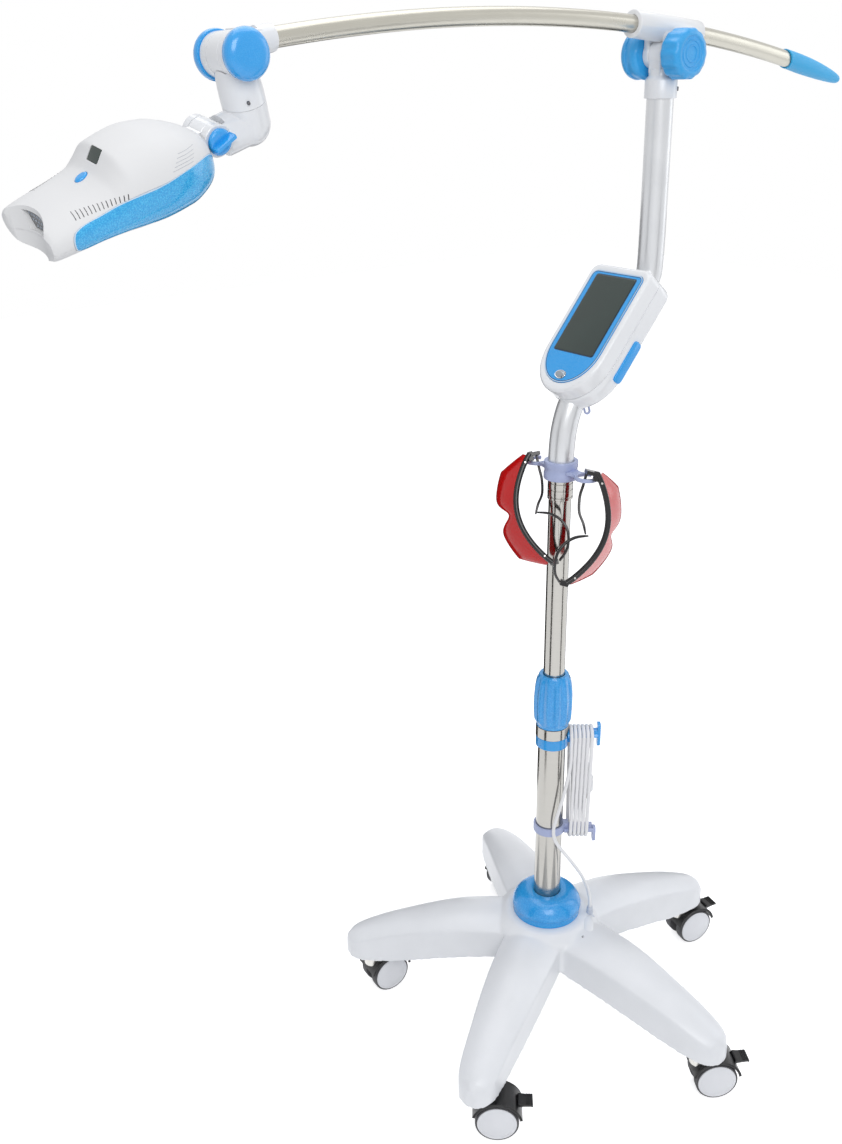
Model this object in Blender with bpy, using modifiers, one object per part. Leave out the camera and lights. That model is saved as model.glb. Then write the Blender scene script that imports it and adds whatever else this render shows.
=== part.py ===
"""Floor-standing teeth whitening lamp on a five-leg caster base.

Metres, +Z up. The pieces are laid out with the floor at Z = 0, the lower column on the Z axis
and the arm in the plane Y = 0, the lamp head towards -X and the hand grip towards +X. The last
step moves all of them so that the origin lies on the floor under the middle of the lamp.
"""

import math
from itertools import product

import bmesh
import bpy
import numpy as np
from mathutils import Matrix, Vector

# Fits that the whole lamp shares
FIT = 0.0003
PIVOT_PLAY = 0.0004
CUT_MARGIN = 0.006
RING_STEPS = 14
SMALL_RING_STEPS = 10

# Pieces of the mains lead, which the centring of the lamp leaves out
CORD_NODES = ("cord_hank", "cord_stretch", "cord_plug")

# Base casting
LEG_COUNT = 5
LEG_TURN = math.radians(-7.5)
HUB_STEPS = 22
LEG_ROOT = 0.060
LEG_REACH = 0.300
LEG_ROOT_HALF_WIDTH = 0.043
LEG_ROOT_TOP = 0.170
LEG_TIP_TOP = 0.117
LEG_ROOT_UNDERSIDE = 0.112
LEG_TIP_UNDERSIDE = 0.071
LEG_ROOT_DROP = 0.013
LEG_TIP_DROP = 0.010
LEG_WALL = 0.004
HUB_TOP = 0.172
HUB_RADIUS = 0.0755
HUB_SHOULDER_RADIUS = 0.066
HUB_SHOULDER = 0.1665
HUB_FLAT_RADIUS = 0.052
HUB_RIM = 0.155
HUB_SKIRT_BOTTOM = 0.117
SOCKET_FLOOR = 0.080
SOCKET_FLOOR_THICKNESS = 0.008
SOCKET_WALL = 0.009

# Casters
SWIVEL_INSET = 0.037
SWIVEL_RADIUS = LEG_REACH - SWIVEL_INSET
WHEEL_RADIUS = 0.030
WHEEL_INNER_FACE = 0.0075
WHEEL_OUTER_FACE = 0.0215
WHEEL_EDGE = 0.0015
WHEEL_CAP_RISE = 0.001
AXLE_RADIUS = 0.004
CASTER_TRAIL = 0.022
FENDER_SKIN = 0.0023
FENDER_CLEARANCE = 0.0022
FENDER_START = math.radians(12)
FENDER_SWEEP = math.radians(150)
FENDER_FLATS = 5
SPINE_HALF_WIDTH = 0.0062
STEM_RADIUS = 0.0055
STEM_LENGTH = 0.030
STEM_SHOULDER_RADIUS = 0.011
STEM_BOSS_RADIUS = 0.0145
STEM_BOSS_PROUD = 0.001
BRAKE_ANGLE = math.radians(36)
BRAKE_LENGTH = 0.018
BRAKE_WIDTH = 0.020
BRAKE_THICKNESS = 0.0036
BRAKE_BARREL_RADIUS = 0.0026
CASTER_HEADINGS = tuple(math.radians(a) for a in (-12, 10, -5, -40, -32))

# Hub dome
DOME_RADIUS = 0.050
DOME_RISE = 0.035
DOME_SKIN = 0.003

# Column
LOWER_TUBE_RADIUS = 0.0190
LOWER_TUBE_WALL = 0.0015
LOWER_TUBE_TOP = 0.482
BUSH_RADIUS = 0.0227
BUSH_BOTTOM = 0.468
BUSH_SHOULDER = 0.0015
BUSH_NOSE_RADIUS = 0.0203
BUSH_NOSE_TOP = 0.522
INNER_TUBE_RADIUS = 0.0143
INNER_TUBE_WALL = 0.0015
INNER_TUBE_BOTTOM = 0.260
INNER_FOOT_HEIGHT = 0.030
COLLAR_TOP = 0.562
COLLAR_TOP_RADIUS = 0.0200
COLLAR_BELLY_RADIUS = 0.0268
COLLAR_FOOT_RADIUS = 0.0222
COLLAR_FLUTES = 12
COLLAR_FLUTE_DEPTH = 0.0016
BAND_BOTTOM = 0.812
BAND_GROOVE_DEPTH = 0.0007
BAND_GROOVE_WIDTH = 0.002

# Mast
MAST_RADIUS = 0.0160
MAST_WALL = 0.0014
MAST_INSERT = 0.030
MAST_FOOT = 0.838
MAST_RISE = 0.456
MAST_BEND = (
    # how far out, and how far above the foot
    (0.0, 0.0),
    (0.0, 0.036),
    (0.0040, 0.067),
    (0.0150, 0.095),
    (0.037, 0.119),
    (0.068, 0.145),
    (0.099, 0.171),
    (0.123, 0.199),
    (0.1365, 0.229),
    (0.1414, 0.267),
)

# Goggle holder: a clamp ring on the mast foot with an open loop on each side
HOLDER_GAP = 0.0005
HOLDER_BOTTOM = MAST_FOOT + HOLDER_GAP
HOLDER_TOP = 0.862
HOLDER_RADIUS = 0.0213
LOOP_REACH = 0.0455
LOOP_RADIUS = 0.0150
LOOP_WALL = 0.0035
LOOP_HEIGHT = 0.005
LOOP_LEVEL = 0.850
LOOP_MOUTH = 0.009

# Goggles. Their frame starts at the upper hinge: +X out from the column, +Y up, -Z along the brow.
GOGGLE_WIDTH = 0.140
GOGGLE_BULGE = 0.031
BROW_DEPTH = 0.0070
BROW_HEIGHT = 0.0095
LENS_HEIGHT = 0.042
LENS_FLARE = 0.021
LENS_SKIN = 0.0018
NOSE_NOTCH_SHARE = 0.62
HINGE_BLOCK_REACH = 0.0125
HINGE_BLOCK_DEPTH = 0.0195
HINGE_BLOCK_HEIGHT = 0.006
HINGE_STANDOFF = 0.0197
HINGE_BEARING = math.radians(60)
TEMPLE_THICKNESS = 0.0032
TEMPLE_HEIGHT = 0.0065
BRIDGE_DROP = 0.005
GOGGLE_SEATS = (
    # name, side of the column, lean of the width inwards and to the front
    ("goggles_left", 1, 0.19, 0.38),
    ("goggles_right", -1, 0.26, 0.18),
)
UPPER_TEMPLE = (
    (-0.0095, -0.0165, -0.0043),
    (-0.0095, -0.0165, -0.020),
    (-0.0098, -0.0160, -0.034),
    (-0.0060, -0.0120, -0.052),
    (0.0020, -0.0080, -0.064),
    (0.0080, -0.0060, -0.076),
)
LOWER_TEMPLE = (
    (-0.0098, 0.002, -0.1385),
    (-0.0175, 0.012, -0.1300),
    (-0.0225, 0.020, -0.1180),
    (-0.0235, 0.022, -0.1020),
    (-0.0170, 0.020, -0.0880),
    (-0.0060, 0.016, -0.0790),
    (0.0080, 0.012, -0.0745),
)

# Cord hooks. Their frame has +X along the arm of the hook and -Y to the front of the hank.
HOOK_TURN = math.radians(-36.95)
HOOK_RING_RADIUS = 0.0222
UPPER_HOOK_BOTTOM = 0.452
UPPER_HOOK_TOP = 0.4677
LOWER_HOOK_BOTTOM = 0.311
LOWER_HOOK_TOP = 0.323
SADDLE_THICKNESS = 0.005
HOOK_LIP_THICKNESS = 0.0045
HOOK_LIP_HALF_WIDTH = 0.006
UPPER_LIP_BOTTOM = 0.449
UPPER_LIP_TOP = 0.484
LOWER_LIP_BOTTOM = 0.291
HOOK_LIP_ROUND = 0.004

# Mains cord
CORD_DIAMETER = 0.005
HANK_LOOPS = 6
HANK_PITCH = 0.0056
HANK_START = 0.0255
HANK_FOLD_RADIUS = 0.015
HANK_TOP = 0.4625
HANK_BOTTOM = 0.3175
HANK_STRAIGHT_POINTS = 3
HANK_ARC_POINTS = 7
HANK_LEAD_HEIGHT = 0.452
TAIL_OUT = 0.036
TAIL_END = 0.398
TAIL_BEND = (
    # share of the way down the tail, share of the way out
    (0.25, 0.04),
    (0.45, 0.25),
    (0.62, 0.60),
    (0.78, 0.88),
    (0.90, 0.98),
    (1.00, 1.00),
)
STRETCH_POINTS = (
    (0.0625, -0.011, 0.1808),
    (0.0617, -0.0113, 0.1950),
    (0.0575, -0.0125, 0.2150),
    (0.0480, -0.0160, 0.2390),
    (0.0345, -0.0220, 0.2640),
    (0.0180, -0.027, 0.2900),
    (0.0060, -0.0290, 0.3100),
    (0.0030, -0.0290, 0.3300),
    (0.0090, -0.0270, 0.3550),
    (0.0170, -0.0225, 0.3850),
    (0.0225, -0.0175, 0.4100),
    (0.0255, -0.0150, 0.4300),
    (0.0255, -0.0150, 0.4517),
)
INLET_BOSS_RADIUS = 0.0095
INLET_BOSS_BOTTOM = 0.140
INLET_BOSS_TOP = 0.1570
INLET_FLANGE_RADIUS = 0.0080
INLET_FLANGE_HEIGHT = 0.005
INLET_STEM_RADIUS = 0.0045
PLUG_RADIUS = 0.0120
PLUG_NECK_RADIUS = 0.0045
PLUG_NECK_LENGTH = 0.014
PLUG_BODY_LENGTH = 0.032
PLUG_PIN_RADIUS = 0.0024
PLUG_PIN_LENGTH = 0.0175
PLUG_PIN_SPACING = 0.0095

# Control box. Its frame has +Y up the face and +Z out of the face.
BOX_FACE_X = 0.0491
BOX_FACE_RISE = 0.197
BOX_FACE_HEIGHT = MAST_FOOT + BOX_FACE_RISE
BOX_TILT = math.radians(49.64)
BOX_HALF_WIDTH = 0.0495
BOX_TOP = 0.070
BOX_SHOULDER = -0.050
BOX_FOOT = -0.107
BOX_SEAM = -0.0215
BOX_BACK = -0.049
BOX_WALL = 0.0025
BOX_CORNER = 0.012
PANEL_HALF_WIDTH = 0.042
PANEL_TOP = 0.060
PANEL_SHOULDER = -0.048
PANEL_FOOT = -0.095
PANEL_THICKNESS = 0.002
PANEL_RECESS = 0.0012
SCREEN_HALF_WIDTH = 0.0325
SCREEN_HALF_LENGTH = 0.0539
SCREEN_RISE = 0.0008
BOX_BUTTON_AT = -0.0844
BOX_BUTTON_HALF_WIDTH = 0.0085
BOX_BUTTON_HALF_LENGTH = 0.0056
BOX_BUTTON_RISE = 0.0022
BOX_BUTTON_DEPTH = 0.009
LATCH_LOW = -0.062
LATCH_HIGH = -0.006
LATCH_TRACK_TOP = 0.060
LATCH_DEPTH = -0.0380
LATCH_HALF_THICKNESS = 0.0068
LATCH_RISE = 0.0022
LATCH_INSET = 0.003
BOX_POCKET_INNER = 0.0225
BOARD_THICKNESS = 0.0016
BOARD_CHIP_HEIGHT = 0.006

# Arm
ARM_RADIUS = 0.0095
ARM_CURVE_RADIUS = 2.26
ARM_APEX_X = -0.075
ARM_APEX_RISE = 0.0677
ARM_APEX_HEIGHT = MAST_FOOT + MAST_RISE + ARM_APEX_RISE
ARM_LEFT_END = -0.402
ARM_RIGHT_END = 0.404
GRIP_MOUTH = 0.369
GRIP_END = 0.4856
GRIP_MOUTH_RADIUS = 0.0118
GRIP_END_RADIUS = 0.0085
GRIP_SLANT = 0.010

# T joint
TEE_PIVOT_DROP = 0.0273
TEE_RADIUS = 0.0150
TEE_TONGUE_HALF = 0.0093
TEE_LUG_HALF = 0.0183
TEE_COLLAR_RADIUS = 0.0190
TEE_COLLAR_LAP = 0.0174
TEE_COLLAR_SHOULDER = 0.003
TEE_COLLAR_BOTTOM = MAST_FOOT + MAST_RISE - TEE_COLLAR_LAP
TEE_COLLAR_TOP = MAST_FOOT + MAST_RISE + TEE_COLLAR_SHOULDER
TEE_SPIGOT_LENGTH = 0.032
TEE_SCREW_RADIUS = 0.0025
CLAMP_RADIUS = 0.0148
CLAMP_START = 0.0877
CLAMP_END = 0.196
BOLT_RADIUS = 0.0041
TEE_KNOB_RADIUS = 0.0276
TEE_KNOB_LENGTH = 0.0264
TEE_KNOB_RIBS = 14
TEE_KNOB_RIB_DEPTH = 0.0012

# Wrist
WRIST_X = -0.424
WRIST_DROP = 0.0347
WRIST_HEIGHT = ARM_APEX_HEIGHT - WRIST_DROP
WRIST_RADIUS = 0.0200
WRIST_TONGUE_HALF = 0.0105
WRIST_YOKE_HALF = 0.0225
WRIST_KNOB_RADIUS = 0.0225
WRIST_KNOB_LENGTH = 0.0145
WRIST_SOCKET_START = -0.3975
WRIST_SOCKET_END = -0.381
WRIST_SOCKET_RADIUS = 0.0127
WRIST_WEB_HALF = 0.0098
NECK_RADIUS = 0.0205
NECK_SCREW_RADIUS = 0.0016

# Head. Its frame has +X forward, +Y to the near side and +Z up, with the tilt hinge at 0.
HEAD_HINGE_AHEAD = 0.0304
HEAD_HINGE_ASIDE = 0.0013
HEAD_HINGE_DROP = 0.0668
HEAD_HINGE = Vector((WRIST_X - HEAD_HINGE_AHEAD, HEAD_HINGE_ASIDE, WRIST_HEIGHT - HEAD_HINGE_DROP))
HEAD_YAW = math.radians(1.5)
HEAD_PITCH = math.radians(19)
HEAD_ROLL = math.radians(14)
HEAD_LENGTH = 0.190
HEAD_HALF_WIDTH = 0.050
HEAD_CROWN = 0.036
HEAD_KEEL = -0.039
HEAD_BELT = -0.010
HEAD_SPLIT = -0.0145
HEAD_WALL = 0.003
HEAD_RING_STEPS = 16
HEAD_STATIONS = (
    # share of the length, width, crown and keel
    (0.053, 0.36, 0.17, 0.50),
    (0.070, 0.50, 0.29, 0.64),
    (0.105, 0.67, 0.45, 0.78),
    (0.170, 0.83, 0.66, 0.90),
    (0.260, 0.95, 0.87, 0.98),
    (0.400, 1.00, 1.00, 0.98),
    (0.548, 1.00, 0.92, 0.90),
    (0.592, 0.995, 0.70, 0.86),
    (0.645, 0.985, 0.46, 0.82),
    (0.735, 0.965, 0.34, 0.775),
    (0.890, 0.94, 0.24, 0.745),
    (0.985, 0.91, 0.14, 0.72),
    (1.000, 0.87, 0.05, 0.68),
)
CAVITY_STATIONS = (1, 11)
SCOOP_RADIUS = 0.055
SCOOP_FLOOR = 0.1775
SCOOP_LEAN = math.radians(12)
WINDOW_TOP = 0.0030
WINDOW_BOTTOM = -0.0125
WINDOW_TOP_HALF = 0.0190
WINDOW_BOTTOM_HALF = 0.0110
WINDOW_SET_BACK = 0.0012
SIDE_PANEL_OUTLINE = (
    (0.0160, -0.0020),
    (0.0360, 0.0035),
    (0.0800, 0.0026),
    (0.1100, 0.0034),
    (0.1400, 0.0008),
    (0.1660, -0.0025),
    (0.1715, -0.0105),
    (0.1685, -0.0195),
    (0.1450, -0.0215),
    (0.1187, -0.0238),
    (0.0787, -0.0310),
    (0.0400, -0.0325),
    (0.0220, -0.0290),
    (0.0130, -0.0170),
)
SIDE_PANEL_RISE = 0.0006
SIDE_PANEL_SEAT = 0.0014
HEAD_SCREEN_AT = 0.1090
HEAD_SCREEN_HEIGHT = 0.0272
HEAD_SCREEN_SLOPE = math.radians(48)
HEAD_SCREEN_HALF_WIDTH = 0.0085
HEAD_SCREEN_HALF_LENGTH = 0.0062
HEAD_SCREEN_THICKNESS = 0.003
HEAD_BUTTON_AT = 0.1275
HEAD_BUTTON_HALF_LENGTH = 0.0062
HEAD_BUTTON_HALF_WIDTH = 0.0046
HEAD_BUTTON_RISE = 0.0016
HEAD_BUTTON_DEPTH = 0.006
HINGE_RADIUS = 0.0145
HINGE_TONGUE_HALF = 0.0102
HINGE_CHEEK_HALF = 0.0190
HINGE_BOLT_RADIUS = 0.003
WING_RADIUS = 0.0118
WING_THICKNESS = 0.005
WING_BLADE_HEIGHT = 0.007
WING_BLADE_THICKNESS = 0.004
WING_TURN = math.radians(15)
ELBOW_RADIUS = 0.0205
ELBOW_SEAM_BACK = 0.0458
ELBOW_SEAM_UP = 0.0128
ELBOW_AXIS_DOWN = 0.0065

parts = None
tools = None


def clear_scene():
    for old in list(bpy.data.objects):
        bpy.data.objects.remove(old, do_unlink=True)


def make_collection(name, hidden):
    made = bpy.data.collections.new(name)
    made.hide_render = hidden
    bpy.context.scene.collection.children.link(made)
    return made


def material(name, colour, roughness, metallic=0.0, alpha=1.0):
    made = bpy.data.materials.new(name)
    made.use_nodes = True
    shader = made.node_tree.nodes["Principled BSDF"]
    shader.inputs["Base Color"].default_value = (*colour, 1.0)
    shader.inputs["Roughness"].default_value = roughness
    shader.inputs["Metallic"].default_value = metallic
    shader.inputs["Alpha"].default_value = alpha
    made.diffuse_color = (*colour, alpha)
    return made


# Each finish makes a new material, so that no two pieces share one.
def white_paint():
    return (0.86, 0.87, 0.88), 0.34, 0.0


def white_plastic():
    return (0.84, 0.85, 0.87), 0.40, 0.0


def blue_plastic():
    return (0.03, 0.42, 0.80), 0.36, 0.0


def steel():
    return (0.58, 0.57, 0.54), 0.24, 1.0


def chrome():
    return (0.72, 0.72, 0.73), 0.12, 1.0


def lavender_plastic():
    return (0.47, 0.52, 0.72), 0.42, 0.0


def grey_rubber():
    return (0.25, 0.26, 0.28), 0.62, 0.0


def black_plastic():
    return (0.015, 0.015, 0.017), 0.40, 0.0


def grey_plastic():
    return (0.55, 0.57, 0.60), 0.45, 0.0


def red_plastic():
    return (0.62, 0.05, 0.05), 0.22, 0.0


def dark_glass():
    return (0.10, 0.14, 0.14), 0.12, 0.0


def green_board():
    return (0.05, 0.22, 0.12), 0.50, 0.0


def white_cord():
    return (0.84, 0.84, 0.84), 0.50, 0.0


def mesh_of(name, points, faces):
    mesh = bpy.data.meshes.new(name)
    mesh.from_pydata([tuple(p) for p in points], [], faces)
    mesh.validate()
    return mesh


def shade(mesh, smooth):
    mesh.polygons.foreach_set("use_smooth", [smooth] * len(mesh.polygons))


def outward(mesh):
    work = bmesh.new()
    work.from_mesh(mesh)
    bmesh.ops.recalc_face_normals(work, faces=work.faces)
    work.to_mesh(mesh)
    work.free()


def as_tool(mesh, frame=None):
    tool = bpy.data.objects.new("tool", mesh)
    tool.display_type = "WIRE"
    tool.hide_render = True
    tools.objects.link(tool)
    tool.matrix_world = frame or Matrix()
    return tool


def as_node(name, mesh, finish, frame=None, smooth=True):
    node = bpy.data.objects.new(name, mesh)
    parts.objects.link(node)
    node.matrix_world = frame or Matrix()
    if not mesh.materials:
        mesh.materials.append(material(name, *finish))
    shade(mesh, smooth)
    return node


def combine(node, operation, *others):
    for other in others:
        step = node.modifiers.new(operation.lower(), "BOOLEAN")
        step.solver = "EXACT"
        step.operation = operation
        step.object = other
    return node


def join(node, *others):
    return combine(node, "UNION", *others)


def cut(node, *others):
    return combine(node, "DIFFERENCE", *others)


def keep_within(node, *others):
    return combine(node, "INTERSECT", *others)


def seat(node, origin):
    """Moves the origin of the node onto its joint axis and leaves its shape where it is."""
    shift = node.matrix_world.inverted() @ Vector(origin)
    node.data.transform(Matrix.Translation(-shift))
    node.matrix_world = node.matrix_world @ Matrix.Translation(shift)
    return node


def frame_at(origin, along=(0, 0, 1), across=(0, 1, 0)):
    """A frame whose +Z runs along the given direction and whose +Y is as near as it can be to across."""
    z = Vector(along).normalized()
    x = Vector(across).cross(z).normalized()
    y = z.cross(x)
    return Matrix.Translation(Vector(origin)) @ Matrix((x, y, z)).transposed().to_4x4()


def turned(name, profile, steps=RING_STEPS, ring=False):
    """A solid of revolution about Z. The profile runs down its outer side."""
    points = [(r, 0, z) for r, z in profile]
    edges = [(i, i + 1) for i in range(len(points) - 1)]
    if ring:
        edges.append((len(points) - 1, 0))
    mesh = bpy.data.meshes.new(name)
    mesh.from_pydata(points, edges, [])
    spinner = bpy.data.objects.new("spinner", mesh)
    bpy.context.scene.collection.objects.link(spinner)
    screw = spinner.modifiers.new("turn", "SCREW")
    screw.steps = steps
    screw.render_steps = steps
    screw.use_merge_vertices = True
    screw.merge_threshold = 1e-6
    made = evaluated_mesh(spinner, name)
    bpy.data.objects.remove(spinner)
    return made


def evaluated_mesh(obj, name):
    bpy.context.view_layer.update()
    graph = bpy.context.evaluated_depsgraph_get()
    made = bpy.data.meshes.new_from_object(obj.evaluated_get(graph))
    made.name = name
    outward(made)
    return made


def rod(name, radius, low, high, steps=SMALL_RING_STEPS):
    return turned(name, [(0, high), (radius, high), (radius, low), (0, low)], steps)


def bore_for(radius, steps=SMALL_RING_STEPS):
    """The radius of a faceted bore whose flats clear a pin of the given radius as it turns."""
    return (radius + PIVOT_PLAY) / math.cos(math.pi / steps)


def pipe(name, outer, inner, low, high, steps=RING_STEPS):
    profile = [(outer, high), (outer, low), (inner, low), (inner, high)]
    return turned(name, profile, steps, ring=True)


def block(name, low, high):
    work = bmesh.new()
    bmesh.ops.create_cube(work, size=1)
    size = Vector(high) - Vector(low)
    middle = (Vector(high) + Vector(low)) / 2
    bmesh.ops.scale(work, vec=size, verts=work.verts)
    bmesh.ops.translate(work, vec=middle, verts=work.verts)
    mesh = bpy.data.meshes.new(name)
    work.to_mesh(mesh)
    work.free()
    return mesh


def ball(name, radius, steps=SMALL_RING_STEPS):
    work = bmesh.new()
    bmesh.ops.create_uvsphere(work, u_segments=steps, v_segments=steps // 2, radius=radius)
    mesh = bpy.data.meshes.new(name)
    work.to_mesh(mesh)
    work.free()
    return mesh


def loft(name, rings):
    """Joins closed rings of equal count with faces and closes both ends."""
    count = len(rings[0])
    points = [point for ring in rings for point in ring]
    faces = [tuple(range(count)), tuple(range(len(points) - count, len(points)))]
    for row in range(len(rings) - 1):
        for i in range(count):
            j = (i + 1) % count
            a = row * count
            b = a + count
            faces.append((a + i, a + j, b + j, b + i))
    mesh = mesh_of(name, points, faces)
    outward(mesh)
    return mesh


def ring_loft(name, outer_rings, inner_rings):
    """A tube with a wall: outer rings down one side, then the inner rings back."""
    rings = outer_rings + inner_rings[::-1]
    count = len(rings[0])
    points = [point for ring in rings for point in ring]
    faces = []
    for row in range(len(rings)):
        for i in range(count):
            j = (i + 1) % count
            a = row * count
            b = (row + 1) % len(rings) * count
            faces.append((a + i, a + j, b + j, b + i))
    mesh = mesh_of(name, points, faces)
    outward(mesh)
    return mesh


def prism(name, outline, low, high):
    """Outline points in X and Y, extruded along Z."""
    return loft(name, [[(x, y, z) for x, y in outline] for z in (low, high)])


def rounded_outline(corners, radius, steps=3):
    """The polygon with each corner rounded by an arc of about the given radius."""
    points = []
    count = len(corners)
    for i in range(count):
        corner = Vector(corners[i])
        before = Vector(corners[i - 1]) - corner
        after = Vector(corners[(i + 1) % count]) - corner
        reach = min(radius, before.length / 2.2, after.length / 2.2)
        start = corner + before.normalized() * reach
        end = corner + after.normalized() * reach
        for step in range(steps + 1):
            t = step / steps
            points.append(start * (1 - t) ** 2 + corner * 2 * t * (1 - t) + end * t**2)
    return [tuple(p) for p in points]


def oval(half_width, half_length, steps=SMALL_RING_STEPS):
    return [
        (half_width * math.cos(2 * math.pi * i / steps), half_length * math.sin(2 * math.pi * i / steps))
        for i in range(steps)
    ]


def circle_ring(centre, across, up, radius, steps):
    return [
        centre
        + across * (radius * math.cos(2 * math.pi * i / steps))
        + up * (radius * math.sin(2 * math.pi * i / steps))
        for i in range(steps)
    ]


def path_rings(centres, radii, steps):
    """Rings square to a path that lies in the plane Y = 0."""
    rings = []
    across = Vector((0, 1, 0))
    for i, centre in enumerate(centres):
        before = centres[max(i - 1, 0)]
        after = centres[min(i + 1, len(centres) - 1)]
        up = across.cross((after - before).normalized())
        rings.append(circle_ring(centre, across, up, radii[i], steps))
    return rings


def fluted_rings(profile, flutes, depth, steps):
    """Rings about Z from rows of radius, height and the share of the flute depth."""
    rings = []
    for radius, height, share in profile:
        ring = []
        for i in range(steps):
            angle = 2 * math.pi * i / steps
            r = radius - depth * share * (1 - math.cos(flutes * angle)) / 2
            ring.append(Vector((r * math.cos(angle), r * math.sin(angle), height)))
        rings.append(ring)
    return rings


def turn_z(angle):
    return Matrix.Rotation(angle, 4, "Z")


def between(start, end, share):
    return start + (end - start) * share


# Base: a shell casting that is open beneath, with a socket for the column
LEG_STATIONS = (
    # share of the reach, width, roof, ridge drop and underside
    (0.000, 0.975, 0.955, 0.97, 0.91),
    (0.300, 0.92, 0.85, 0.90, 0.68),
    (0.685, 0.73, 0.40, 0.50, 0.17),
    (0.888, 0.61, 0.05, 0.22, 0.00),
    (0.966, 0.44, -0.13, 0.00, 0.00),
    (1.000, 0.18, -0.30, 0.00, 0.00),
)
LEG_ROOF_SHARES = (-1.0, -0.70, -0.25, 0.25, 0.70, 1.0)


def leg_ring(station, wall, drop_below):
    reach_share, width_share, roof_share, drop_share, under_share = station
    x = between(LEG_ROOT, LEG_REACH, reach_share)
    half = LEG_ROOT_HALF_WIDTH * width_share - wall
    roof = between(LEG_TIP_TOP, LEG_ROOT_TOP, roof_share) - wall
    drop = between(LEG_TIP_DROP, LEG_ROOT_DROP, drop_share)
    tip_under = LEG_TIP_UNDERSIDE + STEM_BOSS_PROUD
    under = between(tip_under, LEG_ROOT_UNDERSIDE, under_share) - drop_below
    ring = [(x, half * t, roof - drop * abs(t) ** 1.4) for t in LEG_ROOF_SHARES]
    ring.append((x, half, under))
    ring.append((x, -half, under))
    return ring


def swivel_share():
    return (SWIVEL_RADIUS - LEG_ROOT) / (LEG_REACH - LEG_ROOT)


def star_base():
    socket_bore = LOWER_TUBE_RADIUS + FIT
    socket_outer = socket_bore + SOCKET_WALL
    floor_bottom = SOCKET_FLOOR - SOCKET_FLOOR_THICKNESS
    plate_under = HUB_RIM - LEG_WALL
    hub = turned(
        "star_base",
        [
            (0, SOCKET_FLOOR),
            (socket_bore, SOCKET_FLOOR),
            (socket_bore, HUB_TOP),
            (HUB_FLAT_RADIUS, HUB_TOP),
            (HUB_SHOULDER_RADIUS, HUB_SHOULDER),
            (HUB_RADIUS, HUB_RIM),
            (HUB_RADIUS, HUB_SKIRT_BOTTOM),
            (HUB_RADIUS - LEG_WALL, HUB_SKIRT_BOTTOM),
            (HUB_RADIUS - LEG_WALL, plate_under),
            (socket_outer, plate_under),
            (socket_outer, floor_bottom),
            (0, floor_bottom),
        ],
        HUB_STEPS,
    )
    node = as_node("star_base", hub, steel_painted(), smooth=False)
    outer = loft("leg", [leg_ring(s, 0, 0) for s in LEG_STATIONS])
    inner_stations = [s for s in LEG_STATIONS if s[0] < swivel_share() - 0.02]
    last = tuple(between(a, b, 0.1) for a, b in zip(inner_stations[-1], LEG_STATIONS[len(inner_stations)]))
    inner = loft("leg_space", [leg_ring(s, LEG_WALL, LEG_WALL * 2) for s in (*inner_stations, last)])
    for point in inner.vertices:
        if point.co.x < LEG_ROOT + FIT:
            point.co.x = between(socket_outer, LEG_ROOT, 0.9)
    turns = [turn_z(LEG_TURN + 2 * math.pi * k / LEG_COUNT) for k in range(LEG_COUNT)]
    join(node, *[as_tool(outer, turn) for turn in turns])
    cut(node, *[as_tool(inner, turn) for turn in turns])
    boss_top = LEG_TIP_UNDERSIDE + STEM_LENGTH + LEG_WALL
    boss = rod("boss", STEM_BOSS_RADIUS, LEG_TIP_UNDERSIDE, boss_top)
    hole = rod("hole", bore_for(STEM_RADIUS), -CUT_MARGIN, LEG_TIP_UNDERSIDE + STEM_LENGTH + FIT)
    out = Matrix.Translation((SWIVEL_RADIUS, 0, 0))
    join(node, *[as_tool(boss, turn @ out) for turn in turns])
    cut(node, *[as_tool(hole, turn @ out) for turn in turns])
    x, y, _ = STRETCH_POINTS[0]
    at_inlet = hook_frame() @ Matrix.Translation((x, y, 0))
    inlet_boss = rod("inlet_boss", INLET_BOSS_RADIUS, INLET_BOSS_BOTTOM, INLET_BOSS_TOP + LEG_WALL)
    inlet_bore = rod("inlet_bore", INLET_STEM_RADIUS + FIT, INLET_BOSS_BOTTOM - CUT_MARGIN, HUB_TOP + CUT_MARGIN)
    inlet_face = rod("inlet_face", INLET_BOSS_RADIUS + LEG_WALL / 4, INLET_BOSS_TOP, HUB_TOP + CUT_MARGIN)
    join(node, as_tool(inlet_boss, at_inlet))
    cut(node, as_tool(inlet_face, at_inlet), as_tool(inlet_bore, at_inlet))
    return node


def steel_painted():
    return (0.83, 0.85, 0.87), 0.36, 0.0


def sector(inner, outer, start, sweep, steps=FENDER_FLATS):
    arc = [start + sweep * i / steps for i in range(steps + 1)]
    return [(outer * math.cos(a), outer * math.sin(a)) for a in arc] + [
        (inner * math.cos(a), inner * math.sin(a)) for a in reversed(arc)
    ]


def caster_hood_mesh():
    fender_inner = WHEEL_RADIUS + FENDER_CLEARANCE
    fender_outer = fender_inner + FENDER_SKIN
    return prism(
        "caster_hood",
        sector(fender_inner, fender_outer, FENDER_START, FENDER_SWEEP),
        -WHEEL_OUTER_FACE,
        WHEEL_OUTER_FACE,
    )


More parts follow.
